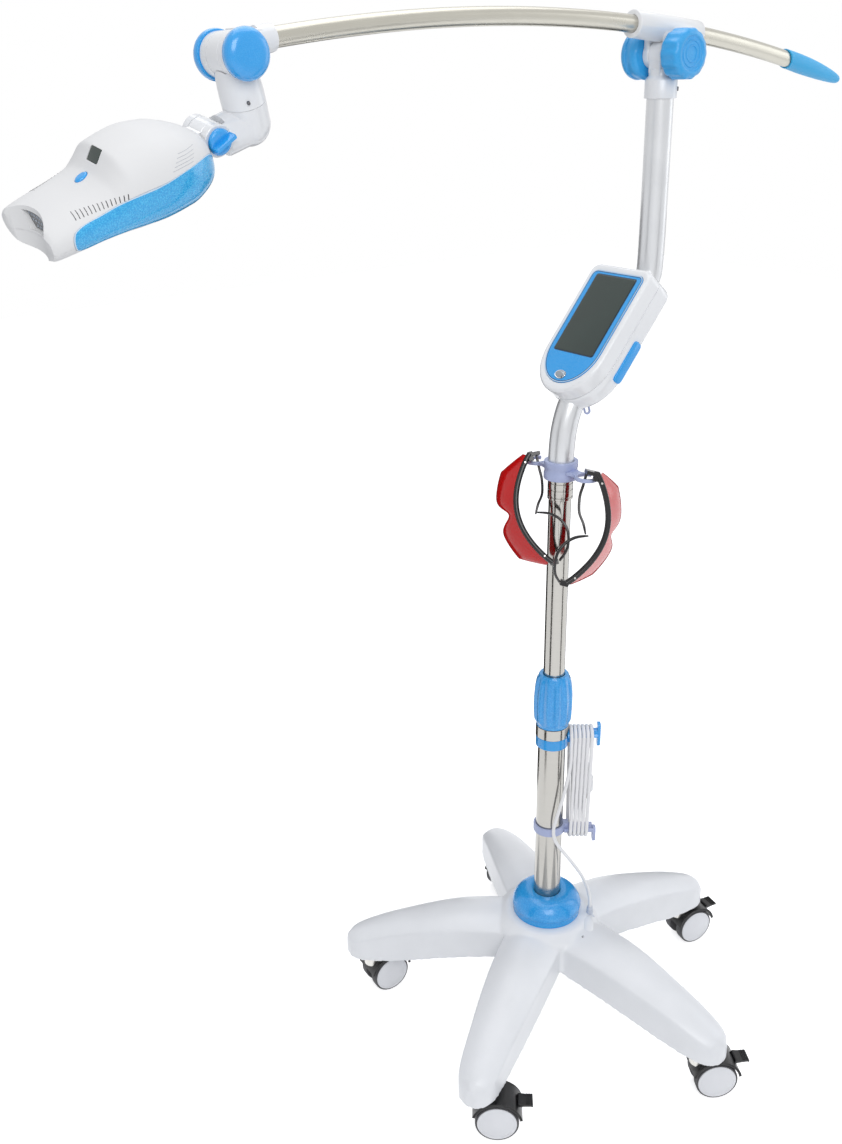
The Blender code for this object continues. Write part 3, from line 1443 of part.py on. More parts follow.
def control_box():
    frame = box_frame()
    edge = BOX_WALL * 1.4
    front_rings = [
        [(x, y, 0) for x, y in box_outline(edge)],
        [(x, y, -edge) for x, y in box_outline(0)],
        [(x, y, BOX_SEAM) for x, y in box_outline(0)],
    ]
    front = as_node("box_front_shell", loft("box_front_shell", front_rings), white_plastic(), frame, False)
    cavity = prism("cavity", box_outline(BOX_WALL), BOX_SEAM - CUT_MARGIN, -PANEL_RECESS - BOX_WALL)
    recess = prism("recess", panel_outline(FIT), -PANEL_RECESS, CUT_MARGIN)
    button_hole = prism(
        "button_hole",
        oval(BOX_BUTTON_HALF_WIDTH + PIVOT_PLAY, BOX_BUTTON_HALF_LENGTH + PIVOT_PLAY),
        -BOX_BUTTON_DEPTH,
        CUT_MARGIN,
    )
    at_button = frame @ Matrix.Translation((0, BOX_BUTTON_AT, 0))
    cut(front, as_tool(cavity, frame), as_tool(recess, frame), as_tool(button_hole, at_button))
    cut(front, as_tool(mast_space()))

    back_edge = BOX_WALL * 1.2
    back_rings = [
        [(x, y, BOX_SEAM - FIT) for x, y in box_outline(0)],
        [(x, y, BOX_BACK + back_edge) for x, y in box_outline(0)],
        [(x, y, BOX_BACK) for x, y in box_outline(back_edge)],
    ]
    rear = as_node("box_rear_shell", loft("box_rear_shell", back_rings), white_plastic(), frame, False)
    pocket_outer = BOX_HALF_WIDTH - LATCH_INSET - BOX_WALL * 2
    pocket = block(
        "pocket",
        (BOX_POCKET_INNER, BOX_SHOULDER, BOX_BACK + BOX_WALL),
        (pocket_outer, BOX_TOP - BOX_WALL * 3, BOX_SEAM + CUT_MARGIN),
    )
    mirrored = frame @ Matrix.Rotation(math.pi, 4, "Z") @ Matrix.Translation((0, -BOX_TOP - BOX_SHOULDER + BOX_WALL * 3, 0))
    track = latch_frame()
    groove = prism("groove", latch_outline(LATCH_LOW, LATCH_TRACK_TOP, PIVOT_PLAY), -LATCH_INSET, CUT_MARGIN)
    cut(rear, as_tool(pocket, frame), as_tool(pocket, mirrored), as_tool(mast_space()), as_tool(groove, track))

    latch = prism("box_slide_latch", latch_outline(LATCH_LOW, LATCH_HIGH, 0), -LATCH_INSET + FIT, LATCH_RISE)
    as_node("box_slide_latch", latch, blue_plastic(), track, False)

    lift = Matrix.Translation((0, 0, -PANEL_RECESS + FIT))
    panel = prism("box_face_panel", panel_outline(0), 0, PANEL_THICKNESS)
    face = as_node("box_face_panel", panel, blue_plastic(), frame @ lift, False)
    glass = prism(
        "screen",
        rounded_outline(
            [
                (-SCREEN_HALF_WIDTH, -SCREEN_HALF_LENGTH),
                (SCREEN_HALF_WIDTH, -SCREEN_HALF_LENGTH),
                (SCREEN_HALF_WIDTH, SCREEN_HALF_LENGTH),
                (-SCREEN_HALF_WIDTH, SCREEN_HALF_LENGTH),
            ],
            BOX_WALL,
        ),
        PANEL_THICKNESS / 2,
        PANEL_THICKNESS + SCREEN_RISE,
    )
    join(face, as_tool(glass, frame @ lift))
    cut(face, as_tool(button_hole, at_button))

    rise = PANEL_THICKNESS - PANEL_RECESS + BOX_BUTTON_RISE
    cap = loft(
        "box_button",
        [
            [(x, y, -BOX_BUTTON_DEPTH + FIT * 4) for x, y in oval(BOX_BUTTON_HALF_WIDTH, BOX_BUTTON_HALF_LENGTH)],
            [(x, y, rise * 0.6) for x, y in oval(BOX_BUTTON_HALF_WIDTH, BOX_BUTTON_HALF_LENGTH)],
            [(x * 0.72, y * 0.72, rise) for x, y in oval(BOX_BUTTON_HALF_WIDTH, BOX_BUTTON_HALF_LENGTH)],
        ],
    )
    as_node("box_button", cap, white_plastic(), at_button)

    board_front = -PANEL_RECESS - BOX_WALL - BOARD_CHIP_HEIGHT - BOX_BUTTON_DEPTH / 2
    board_half = BOX_HALF_WIDTH - BOX_WALL * 2
    board = block(
        "box_main_board",
        (-board_half, BOX_SHOULDER, board_front - BOARD_THICKNESS),
        (board_half, BOX_TOP - BOX_WALL * 2.5, board_front),
    )
    board_node = as_node("box_main_board", board, green_board(), frame, False)
    chip = block(
        "chip",
        (-board_half * 0.5, BOX_SHOULDER * 0.4, board_front - BOARD_THICKNESS / 2),
        (board_half * 0.3, BOX_TOP * 0.5, board_front + BOARD_CHIP_HEIGHT - FIT),
    )
    join(board_node, as_tool(chip, frame))
    cut(board_node, as_tool(mast_space()))


# T joint and arm
def arm_point(x):
    drop = ARM_CURVE_RADIUS - math.sqrt(ARM_CURVE_RADIUS**2 - (x - ARM_APEX_X) ** 2)
    return Vector((x, 0, ARM_APEX_HEIGHT - drop))


def arm_centres(start, end, count):
    return [arm_point(between(start, end, i / (count - 1))) for i in range(count)]


def tee_pivot():
    return arm_point(mast_offset()) - Vector((0, 0, TEE_PIVOT_DROP))


def side_frame(origin):
    """A frame on the given point whose +Z points to the near side, -Y."""
    return frame_at(origin, along=(0, -1, 0), across=(0, 0, 1))


def tee_body():
    pivot = tee_pivot()
    shoulder = pivot.z - TEE_RADIUS - FIT * 2
    bore = bore_for(MAST_RADIUS, RING_STEPS)
    spigot = (MAST_RADIUS - MAST_WALL) * math.cos(math.pi / RING_STEPS) - PIVOT_PLAY
    seat_height = mast_top() + FIT
    profile = [
        (0, shoulder),
        (TEE_RADIUS, shoulder),
        (TEE_RADIUS, TEE_COLLAR_TOP + TEE_COLLAR_RADIUS - TEE_RADIUS),
        (TEE_COLLAR_RADIUS, TEE_COLLAR_TOP),
        (TEE_COLLAR_RADIUS, TEE_COLLAR_BOTTOM),
        (bore, TEE_COLLAR_BOTTOM),
        (bore, seat_height),
        (spigot, seat_height),
        (spigot, seat_height - TEE_SPIGOT_LENGTH),
        (0, seat_height - TEE_SPIGOT_LENGTH),
    ]
    upright = Matrix.Translation((mast_offset(), 0, 0))
    node = as_node("tee_body", turned("tee_body", profile), white_paint(), upright)
    across = side_frame(pivot)
    tongue = rod("tongue", TEE_RADIUS, -TEE_TONGUE_HALF, TEE_TONGUE_HALF, RING_STEPS)
    web = block(
        "web",
        (-TEE_RADIUS * 0.93, -TEE_TONGUE_HALF + FIT, shoulder - TEE_RADIUS / 4),
        (TEE_RADIUS * 0.93, TEE_TONGUE_HALF - FIT, pivot.z),
    )
    hole = rod("hole", bore_for(BOLT_RADIUS), -TEE_LUG_HALF, TEE_LUG_HALF)
    screw = rod("screw", TEE_SCREW_RADIUS, between(bore, TEE_COLLAR_RADIUS, 0.5), TEE_COLLAR_RADIUS + TEE_SCREW_RADIUS / 2)
    toward = frame_at(
        (mast_offset(), 0, between(TEE_COLLAR_BOTTOM, TEE_COLLAR_TOP, 0.5)),
        along=(math.cos(LEG_TURN), -1, 0),
        across=(0, 0, 1),
    )
    join(node, as_tool(web, upright), as_tool(tongue, across), as_tool(screw, toward))
    cut(node, as_tool(hole, across))


def arm_clamp():
    pivot = tee_pivot()
    ends = (0.0, 0.02, 0.98, 1.0)
    lip = (0.93, 1.0, 1.0, 0.93)
    centres = [arm_point(between(CLAMP_START, CLAMP_END, share)) for share in ends]
    body = loft("arm_clamp", path_rings(centres, [CLAMP_RADIUS * s for s in lip], RING_STEPS))
    node = as_node("arm_clamp", body, white_paint())
    across = side_frame(pivot)
    lug = rod("lug", TEE_RADIUS, TEE_TONGUE_HALF + FIT, TEE_LUG_HALF, RING_STEPS)
    web_low = (-TEE_RADIUS * 0.93, 0, TEE_TONGUE_HALF + FIT * 2)
    web_high = (TEE_RADIUS * 0.93, TEE_PIVOT_DROP - ARM_RADIUS / 2, TEE_LUG_HALF - FIT)
    web = block("lug_web", web_low, web_high)
    far = across @ Matrix.Rotation(math.pi, 4, "Y")
    join(node, as_tool(lug, across), as_tool(lug, far), as_tool(web, across), as_tool(web, far))
    bore_centres = arm_centres(CLAMP_START - CUT_MARGIN, CLAMP_END + CUT_MARGIN, 4)
    bore = loft("arm_bore", path_rings(bore_centres, [ARM_RADIUS + FIT] * 4, RING_STEPS))
    hole = rod("hole", bore_for(BOLT_RADIUS), -TEE_LUG_HALF * 1.5, TEE_LUG_HALF * 1.5)
    tongue_space = rod(
        "tongue_space", bore_for(TEE_RADIUS, RING_STEPS), -TEE_TONGUE_HALF - FIT, TEE_TONGUE_HALF + FIT, RING_STEPS
    )
    cut(node, as_tool(bore), as_tool(hole, across), as_tool(tongue_space, across))
    seat(node, pivot)


def tee_knobs():
    pivot = tee_pivot()
    near = TEE_LUG_HALF + FIT
    far_end = near + TEE_KNOB_LENGTH
    radius = TEE_KNOB_RADIUS
    nut_depth = TEE_KNOB_LENGTH * 0.55
    steps = TEE_KNOB_RIBS * 2
    rows = [
        (BOLT_RADIUS, -near - nut_depth + FIT, 0),
        (BOLT_RADIUS, near, 0),
        (radius * 0.80, near, 0),
        (radius, near + TEE_KNOB_LENGTH * 0.10, 1),
        (radius, near + TEE_KNOB_LENGTH * 0.78, 1),
        (radius * 0.90, near + TEE_KNOB_LENGTH * 0.93, 0.4),
        (radius * 0.72, far_end, 0),
        (radius * 0.55, far_end - TEE_KNOB_LENGTH * 0.06, 0),
    ]
    front = loft("tee_knob_front", fluted_rings(rows, TEE_KNOB_RIBS, TEE_KNOB_RIB_DEPTH, steps))
    as_node("tee_knob_front", front, blue_plastic(), side_frame(pivot))
    nut_bore = bore_for(BOLT_RADIUS, RING_STEPS)
    back = turned(
        "tee_knob_back",
        [
            (0, far_end),
            (radius * 0.72, far_end),
            (radius * 0.92, near + TEE_KNOB_LENGTH * 0.90),
            (radius, near + TEE_KNOB_LENGTH * 0.72),
            (radius * 0.94, near + TEE_KNOB_LENGTH * 0.60),
            (radius * 0.94, near + TEE_KNOB_LENGTH * 0.40),
            (radius, near + TEE_KNOB_LENGTH * 0.28),
            (radius * 0.85, near),
            (nut_bore, near),
            (nut_bore, near + nut_depth),
            (0, near + nut_depth),
        ],
    )
    far = side_frame(pivot) @ Matrix.Rotation(math.pi, 4, "Y")
    as_node("tee_knob_back", back, blue_plastic(), far)


def arm_tube():
    centres = arm_centres(ARM_LEFT_END, ARM_RIGHT_END, 13)
    mesh = loft("arm_tube", path_rings(centres, [ARM_RADIUS] * len(centres), RING_STEPS))
    seat(as_node("arm_tube", mesh, steel()), tee_pivot())


def arm_grip():
    shares = (0.0, 0.25, 0.5, 0.75, 0.9, 0.97, 1.0)
    sizes = (1.0, 0.94, 0.88, 0.85, 0.80, 0.66, 0.40)
    end_size = GRIP_END_RADIUS / GRIP_MOUTH_RADIUS
    centres = [arm_point(between(GRIP_MOUTH, GRIP_END, s)) for s in shares]
    radii = [GRIP_MOUTH_RADIUS * max(size, end_size * size) for size in sizes]
    mesh = loft("arm_grip", path_rings(centres, radii, RING_STEPS))
    for point in mesh.vertices[:RING_STEPS]:
        point.co.x -= GRIP_SLANT * (point.co.z - centres[0].z) / GRIP_MOUTH_RADIUS / 2
    node = as_node("arm_grip", mesh, blue_plastic())
    bore_centres = arm_centres(GRIP_MOUTH - CUT_MARGIN * 2, ARM_RIGHT_END + FIT, 3)
    bore = loft("grip_bore", path_rings(bore_centres, [ARM_RADIUS + FIT] * 3, RING_STEPS))
    cut(node, as_tool(bore))
    seat(node, tee_pivot())


def tee_and_arm():
    tee_body()
    arm_clamp()
    tee_knobs()
    arm_tube()
    arm_grip()


# Head frame, which the elbow and the wrist yoke also use
def head_frame():
    forward = Vector((-1, 0, 0))
    near = Vector((0, -1, 0))
    up = Vector((0, 0, 1))
    yaw = Matrix.Rotation(HEAD_YAW, 3, up)
    forward = yaw @ forward
    near = yaw @ near
    pitch = Matrix.Rotation(HEAD_PITCH, 3, near)
    forward = pitch @ forward
    up = pitch @ up
    roll = Matrix.Rotation(-HEAD_ROLL, 3, forward)
    near = roll @ near
    up = roll @ up
    turn = Matrix((forward, near, up)).transposed().to_4x4()
    return Matrix.Translation(HEAD_HINGE) @ turn


def hinge_frame():
    """On the head hinge, with +Z out of the near side of the head."""
    return head_frame() @ frame_at((0, 0, 0), along=(0, 1, 0), across=(0, 0, 1))


def swivel_frame():
    """On the elbow seam, with +Z up the neck."""
    return head_frame() @ Matrix.Translation((-ELBOW_SEAM_BACK, 0, ELBOW_SEAM_UP))


def wrist_pivot():
    return Vector((WRIST_X, 0, WRIST_HEIGHT))


def wrist_socket():
    across = side_frame(wrist_pivot())
    tongue = rod("wrist_socket", WRIST_RADIUS, -WRIST_TONGUE_HALF, WRIST_TONGUE_HALF, RING_STEPS)
    node = as_node("wrist_socket", tongue, white_plastic(), across)
    sleeve_centres = arm_centres(WRIST_SOCKET_START, WRIST_SOCKET_END, 3)
    sleeve = loft("sleeve", path_rings(sleeve_centres, [WRIST_SOCKET_RADIUS] * 3, RING_STEPS))
    mouth = arm_point(WRIST_SOCKET_START)
    web = block(
        "web",
        (WRIST_X, -WRIST_TONGUE_HALF + FIT, mouth.z - WRIST_WEB_HALF),
        (WRIST_SOCKET_START + CUT_MARGIN / 2, WRIST_TONGUE_HALF - FIT, mouth.z + WRIST_WEB_HALF),
    )
    bore_centres = arm_centres(ARM_LEFT_END - FIT, WRIST_SOCKET_END + CUT_MARGIN, 2)
    bore = loft("socket_bore", path_rings(bore_centres, [ARM_RADIUS + FIT] * 2, RING_STEPS))
    hole = rod("hole", bore_for(BOLT_RADIUS), -WRIST_YOKE_HALF, WRIST_YOKE_HALF)
    join(node, as_tool(web), as_tool(sleeve))
    cut(node, as_tool(bore), as_tool(hole, across))


def wrist_neck():
    across = side_frame(wrist_pivot())
    swivel = swivel_frame()
    yoke = rod("wrist_neck", WRIST_RADIUS, -WRIST_YOKE_HALF, WRIST_YOKE_HALF, RING_STEPS)
    node = as_node("wrist_neck", yoke, white_plastic(), across)
    barrel = wrist_pivot()
    seam = swivel @ Vector((0, 0, FIT))
    seam_across = (swivel.to_3x3() @ Vector((0, 1, 0))).normalized()
    seam_along = (swivel.to_3x3() @ Vector((-1, 0, 0))).normalized()
    rings = []
    for share, size, flatten in ((0.0, 1.0, 1.0), (0.12, 1.0, 1.0), (0.45, 1.02, 0.94), (0.75, 1.04, 0.84), (0.96, 1.05, 0.72)):
        centre = seam.lerp(barrel, share)
        radius = NECK_RADIUS * size
        side = seam_across.lerp(Vector((0, -1, 0)), share).normalized() * radius
        along = seam_along.lerp(Vector((1, 0, 0)), share).normalized() * (radius * flatten)
        rings.append(circle_ring(centre, side, along, 1, RING_STEPS))
    stem = loft("neck_stem", rings)
    screw_frame = swivel @ frame_at((0, 0, NECK_RADIUS / 3), along=(0.35, 1, 0), across=(0, 0, 1))
    screw = rod("neck_screw", NECK_SCREW_RADIUS, NECK_RADIUS / 2, NECK_RADIUS + FIT * 2, 12)
    tongue_space = rod(
        "tongue_space",
        bore_for(WRIST_RADIUS, RING_STEPS),
        -WRIST_TONGUE_HALF - FIT,
        WRIST_TONGUE_HALF + FIT,
        RING_STEPS,
    )
    hole = rod("hole", bore_for(BOLT_RADIUS), -WRIST_YOKE_HALF * 2, WRIST_YOKE_HALF * 2)
    pin_hole = rod("pin_hole", bore_for(BOLT_RADIUS), -CUT_MARGIN, NECK_RADIUS / 2)
    join(node, as_tool(stem), as_tool(screw, screw_frame))
    cut(node, as_tool(tongue_space, across), as_tool(hole, across), as_tool(pin_hole, swivel))


def wrist_knobs():
    across = side_frame(wrist_pivot())
    near = WRIST_YOKE_HALF + FIT
    top = near + WRIST_KNOB_LENGTH
    radius = WRIST_KNOB_RADIUS
    nut_depth = WRIST_KNOB_LENGTH * 0.6
    front = turned(
        "wrist_knob_front",
        [
            (0, top),
            (radius * 0.70, top - WRIST_KNOB_LENGTH * 0.05),
            (radius * 0.92, top - WRIST_KNOB_LENGTH * 0.20),
            (radius, top - WRIST_KNOB_LENGTH * 0.45),
            (radius * 0.97, near),
            (BOLT_RADIUS, near),
            (BOLT_RADIUS, -near - nut_depth + FIT),
            (0, -near - nut_depth + FIT),
        ],
    )
    as_node("wrist_knob_front", front, blue_plastic(), across)
    nut_bore = bore_for(BOLT_RADIUS, RING_STEPS)
    back = turned(
        "wrist_cap_back",
        [
            (0, top),
            (radius * 0.70, top - WRIST_KNOB_LENGTH * 0.05),
            (radius * 0.92, top - WRIST_KNOB_LENGTH * 0.20),
            (radius, top - WRIST_KNOB_LENGTH * 0.45),
            (radius * 0.97, near),
            (nut_bore, near),
            (nut_bore, near + nut_depth),
            (0, near + nut_depth),
        ],
    )
    as_node("wrist_cap_back", back, blue_plastic(), across @ Matrix.Rotation(math.pi, 4, "Y"))


def elbow():
    swivel = swivel_frame()
    hinge = hinge_frame()
    head = head_frame()
    drop = ELBOW_SEAM_UP + ELBOW_AXIS_DOWN
    upright = turned(
        "elbow",
        [
            (0, NECK_RADIUS / 2 - FIT * 2),
            (BOLT_RADIUS, NECK_RADIUS / 2 - FIT * 2),
            (BOLT_RADIUS, 0),
            (ELBOW_RADIUS, 0),
            (ELBOW_RADIUS, -drop),
            (0, -drop),
        ],
        RING_STEPS,
    )
    node = as_node("elbow", upright, white_plastic(), swivel)
    corner = swivel @ Matrix.Translation((0, 0, -drop))
    forward = head @ frame_at((-ELBOW_SEAM_BACK, 0, -ELBOW_AXIS_DOWN), along=(1, 0, 0), across=(0, 1, 0))
    run_end = ELBOW_SEAM_BACK - bore_for(WING_RADIUS, RING_STEPS)
    run = rod("run", drop - FIT * 2, 0, run_end, RING_STEPS)
    knuckle = ball("corner", ELBOW_RADIUS * 1.005, SMALL_RING_STEPS)
    for point in knuckle.vertices:
        point.co.z = min(point.co.z, drop - FIT)
    cheeks = rod("cheeks", HINGE_RADIUS, -HINGE_CHEEK_HALF, HINGE_CHEEK_HALF, RING_STEPS)
    join(node, as_tool(knuckle, corner), as_tool(run, forward), as_tool(cheeks, hinge))
    tongue_reach = HINGE_RADIUS + PIVOT_PLAY * 2
    slot = block(
        "slot",
        (-tongue_reach, -HINGE_TONGUE_HALF - FIT, -ELBOW_RADIUS * 2),
        (ELBOW_RADIUS * 2, HINGE_TONGUE_HALF + FIT, ELBOW_RADIUS * 2),
    )
    hole = rod("hole", bore_for(HINGE_BOLT_RADIUS), -HINGE_CHEEK_HALF * 2, HINGE_CHEEK_HALF * 2)
    cut(node, as_tool(slot, head), as_tool(hole, hinge))


def wing_knob():
    near = HINGE_CHEEK_HALF + FIT
    profile = [
        (0, near + WING_THICKNESS),
        (WING_RADIUS * 0.85, near + WING_THICKNESS),
        (WING_RADIUS, near + WING_THICKNESS * 0.6),
        (WING_RADIUS, near),
        (HINGE_BOLT_RADIUS, near),
        (HINGE_BOLT_RADIUS, -HINGE_CHEEK_HALF + FIT),
        (0, -HINGE_CHEEK_HALF + FIT),
    ]
    node = as_node("wing_knob", turned("wing_knob", profile), blue_plastic(), hinge_frame())
    blade = prism(
        "blade",
        rounded_outline(
            [
                (-WING_RADIUS, -WING_BLADE_THICKNESS / 2),
                (WING_RADIUS * 1.15, -WING_BLADE_THICKNESS / 2),
                (WING_RADIUS * 1.15, WING_BLADE_THICKNESS / 2),
                (-WING_RADIUS, WING_BLADE_THICKNESS / 2),
            ],
            WING_BLADE_THICKNESS / 2,
        ),
        near + WING_THICKNESS / 2,
        near + WING_THICKNESS + WING_BLADE_HEIGHT,
    )
    turn = Matrix.Rotation(WING_TURN, 4, "Z")
    join(node, as_tool(blade, hinge_frame() @ turn))


def wrist():
    wrist_socket()
    wrist_neck()
    wrist_knobs()
    elbow()
    wing_knob()


# Head: two shells, side panels, screen, button and the light behind its window
def head_ring(station, shrink, steps=HEAD_RING_STEPS):
    length_share, width_share, crown_share, keel_share = station
    x = HEAD_LENGTH * length_share
    half = HEAD_HALF_WIDTH * width_share - shrink
    rise = HEAD_CROWN * crown_share - HEAD_BELT - shrink
    fall = HEAD_BELT - HEAD_KEEL * keel_share - shrink
    ring = []
    for i in range(steps):
        angle = 2 * math.pi * i / steps
        c = math.cos(angle)
        s = math.sin(angle)
        y = half * math.copysign(abs(c) ** 0.72, c)
        reach = rise if s > 0 else fall
        z = HEAD_BELT + reach * math.copysign(abs(s) ** 0.80, s)
        ring.append((x, y, z))
    return ring


def head_solid(name, shrink, first=0, last=len(HEAD_STATIONS)):
    return loft(name, [head_ring(s, shrink) for s in HEAD_STATIONS[first:last]])


def side_panel_prism(name, grow, low, high):
    centre = Vector((sum(x for x, _ in SIDE_PANEL_OUTLINE), sum(z for _, z in SIDE_PANEL_OUTLINE)))
    centre /= len(SIDE_PANEL_OUTLINE)
    rings = []
    for depth in (low, high):
        ring = []
        for x, z in SIDE_PANEL_OUTLINE:
            away = (Vector((x, z)) - centre).normalized() * grow
            ring.append((x + away.x, depth, z + away.y))
        rings.append(ring)
    return loft(name, rings)


def window_outline(grow):
    return [
        (WINDOW_BOTTOM - grow, -WINDOW_BOTTOM_HALF - grow),
        (WINDOW_BOTTOM - grow, WINDOW_BOTTOM_HALF + grow),
        (WINDOW_TOP + grow, WINDOW_TOP_HALF + grow),
        (WINDOW_TOP + grow, -WINDOW_TOP_HALF - grow),
    ]


def window_prism(name, grow, start, end):
    return loft(name, [[(x, y, z) for z, y in window_outline(grow)] for x in (start, end)])


def screen_frame():
    slope = Vector((math.sin(HEAD_SCREEN_SLOPE), 0, math.cos(HEAD_SCREEN_SLOPE)))
    return head_frame() @ frame_at((HEAD_SCREEN_AT, 0, HEAD_SCREEN_HEIGHT), along=slope, across=(0, 1, 0))


def crown_at(x):
    share = x / HEAD_LENGTH
    for a, b in zip(HEAD_STATIONS, HEAD_STATIONS[1:]):
        if a[0] <= share <= b[0]:
            return HEAD_CROWN * between(a[2], b[2], (share - a[0]) / (b[0] - a[0]))
    return 0.0


def button_frame():
    crown = crown_at(HEAD_BUTTON_AT) - HEAD_BUTTON_RISE / 4
    return head_frame() @ Matrix.Translation((HEAD_BUTTON_AT, 0, crown))


def head_spaces(head, hinge):
    """What both shells leave free: the cavity, the scoop, the panels' seats and the elbow."""
    cavity = as_tool(head_solid("cavity", HEAD_WALL, *CAVITY_STATIONS), head)
    scoop = as_tool(
        rod("scoop", SCOOP_RADIUS, HEAD_KEEL * 2, HEAD_CROWN * 2, RING_STEPS * 2),
        head @ Matrix.Translation((SCOOP_FLOOR, 0, 0)) @ Matrix.Rotation(-SCOOP_LEAN, 4, "Y")
        @ Matrix.Translation((SCOOP_RADIUS, 0, 0)),
    )
    elbow_space = as_tool(
        rod("elbow_space", HINGE_RADIUS + HEAD_WALL / 2, -HINGE_CHEEK_HALF - FIT * 2, HEAD_HALF_WIDTH), hinge
    )
    seats = []
    for side in (1, -1):
        seat_tool = as_tool(side_panel_prism("panel_seat", FIT, side * 0.4 * HEAD_HALF_WIDTH, side * HEAD_HALF_WIDTH * 1.3), head)
        cut(seat_tool, as_tool(head_solid("panel_seat_core", SIDE_PANEL_SEAT), head))
        seats.append(seat_tool)
    return cavity, scoop, elbow_space, seats


def head_shells():
    head = head_frame()
    hinge = hinge_frame()
    cavity, scoop, elbow_space, seats = head_spaces(head, hinge)
    big = HEAD_LENGTH * 1.2
    upper_half = as_tool(block("upper_half", (-big, -big, HEAD_SPLIT), (big, big, big)), head)
    lower_half = as_tool(block("lower_half", (-big, -big, -big), (big, big, HEAD_SPLIT - FIT)), head)
    tongue_space = as_tool(
        block(
            "tongue_space",
            (-big, -HINGE_TONGUE_HALF - FIT, -big),
            (HINGE_RADIUS * 2.4, HINGE_TONGUE_HALF + FIT, HINGE_RADIUS * 0.75 + FIT),
        ),
        head,
    )
    window_hole = as_tool(window_prism("window_hole", FIT, HEAD_LENGTH * 0.7, HEAD_LENGTH * 1.1), head)
    screen_hole = as_tool(
        block(
            "screen_hole",
            (-HEAD_SCREEN_HALF_LENGTH - FIT, -HEAD_SCREEN_HALF_WIDTH - FIT, -HEAD_SCREEN_THICKNESS * 2),
            (HEAD_SCREEN_HALF_LENGTH + FIT, HEAD_SCREEN_HALF_WIDTH + FIT, HEAD_SCREEN_THICKNESS * 3),
        ),
        screen_frame(),
    )
    button_hole = as_tool(
        prism(
            "button_hole",
            oval(HEAD_BUTTON_HALF_LENGTH + PIVOT_PLAY, HEAD_BUTTON_HALF_WIDTH + PIVOT_PLAY),
            -HEAD_BUTTON_DEPTH * 2,
            HEAD_BUTTON_DEPTH,
        ),
        button_frame(),
    )
    upper = as_node("head_upper_shell", head_solid("head_upper_shell", 0), white_plastic(), head)
    keep_within(upper, upper_half)
    cut(upper, cavity, scoop, *seats, elbow_space, tongue_space, window_hole, screen_hole, button_hole)
    lower = as_node("head_lower_shell", head_solid("head_lower_shell", 0), white_plastic(), head)
    keep_within(lower, lower_half)
    cut(lower, cavity, scoop, *seats, elbow_space)
    tongue = as_tool(rod("hinge_tongue", HINGE_RADIUS, -HINGE_TONGUE_HALF, HINGE_TONGUE_HALF, RING_STEPS), hinge)
    bar = as_tool(
        block(
            "tongue_bar",
            (0, -HINGE_TONGUE_HALF + FIT, -HINGE_RADIUS * 0.9),
            (HINGE_RADIUS * 2.3, HINGE_TONGUE_HALF - FIT, HINGE_RADIUS * 0.7),
        ),
        head,
    )
    foot = as_tool(
        block(
            "tongue_foot",
            (HINGE_RADIUS * 1.5, -HINGE_TONGUE_HALF + FIT * 2, HEAD_KEEL * 0.76),
            (HINGE_RADIUS * 2.3 - FIT, HINGE_TONGUE_HALF - FIT * 2, 0),
        ),
        head,
    )
    hole = as_tool(rod("hole", HINGE_BOLT_RADIUS + PIVOT_PLAY, -HINGE_CHEEK_HALF, HINGE_CHEEK_HALF), hinge)
    join(lower, tongue, bar, foot)
    cut(lower, hole)


def head_side_panels():
    head = head_frame()
    for name, side in (("head_panel_near", 1), ("head_panel_far", -1)):
        mesh = side_panel_prism(name, 0, side * 0.42 * HEAD_HALF_WIDTH, side * HEAD_HALF_WIDTH * 1.3)
        node = as_node(name, mesh, blue_plastic(), head)
        keep_within(node, as_tool(head_solid("panel_skin", -SIDE_PANEL_RISE), head))
        cut(node, as_tool(head_solid("panel_core", SIDE_PANEL_SEAT - FIT), head))


def head_fittings():
    head = head_frame()
    screen = block(
        "head_screen",
        (-HEAD_SCREEN_HALF_LENGTH, -HEAD_SCREEN_HALF_WIDTH, -HEAD_SCREEN_THICKNESS),
        (HEAD_SCREEN_HALF_LENGTH, HEAD_SCREEN_HALF_WIDTH, HEAD_SCREEN_THICKNESS / 3),
    )
    as_node("head_screen", screen, dark_glass(), screen_frame(), False)
    press = [
        [(x, y, -HEAD_BUTTON_DEPTH) for x, y in oval(HEAD_BUTTON_HALF_LENGTH, HEAD_BUTTON_HALF_WIDTH)],
        [(x, y, 0) for x, y in oval(HEAD_BUTTON_HALF_LENGTH, HEAD_BUTTON_HALF_WIDTH)],
        [(x * 0.7, y * 0.7, HEAD_BUTTON_RISE) for x, y in oval(HEAD_BUTTON_HALF_LENGTH, HEAD_BUTTON_HALF_WIDTH)],
    ]
    as_node("head_button", loft("head_button", press), blue_plastic(), button_frame())
    wall_back = HEAD_LENGTH * HEAD_STATIONS[CAVITY_STATIONS[1] - 1][0]
    front = SCOOP_FLOOR - WINDOW_SET_BACK
    lens = window_prism("light_module", 0, wall_back - HEAD_WALL, front)
    node = as_node("light_module", lens, dark_glass(), head, False)
    board = block(
        "board",
        (wall_back - HEAD_WALL * 3, -WINDOW_TOP_HALF * 1.25, WINDOW_BOTTOM - HEAD_WALL),
        (wall_back - FIT, WINDOW_TOP_HALF * 1.25, WINDOW_TOP + HEAD_WALL / 3),
    )
    join(node, as_tool(board, head))


def lamp_head():
    head_shells()
    head_side_panels()
    head_fittings()



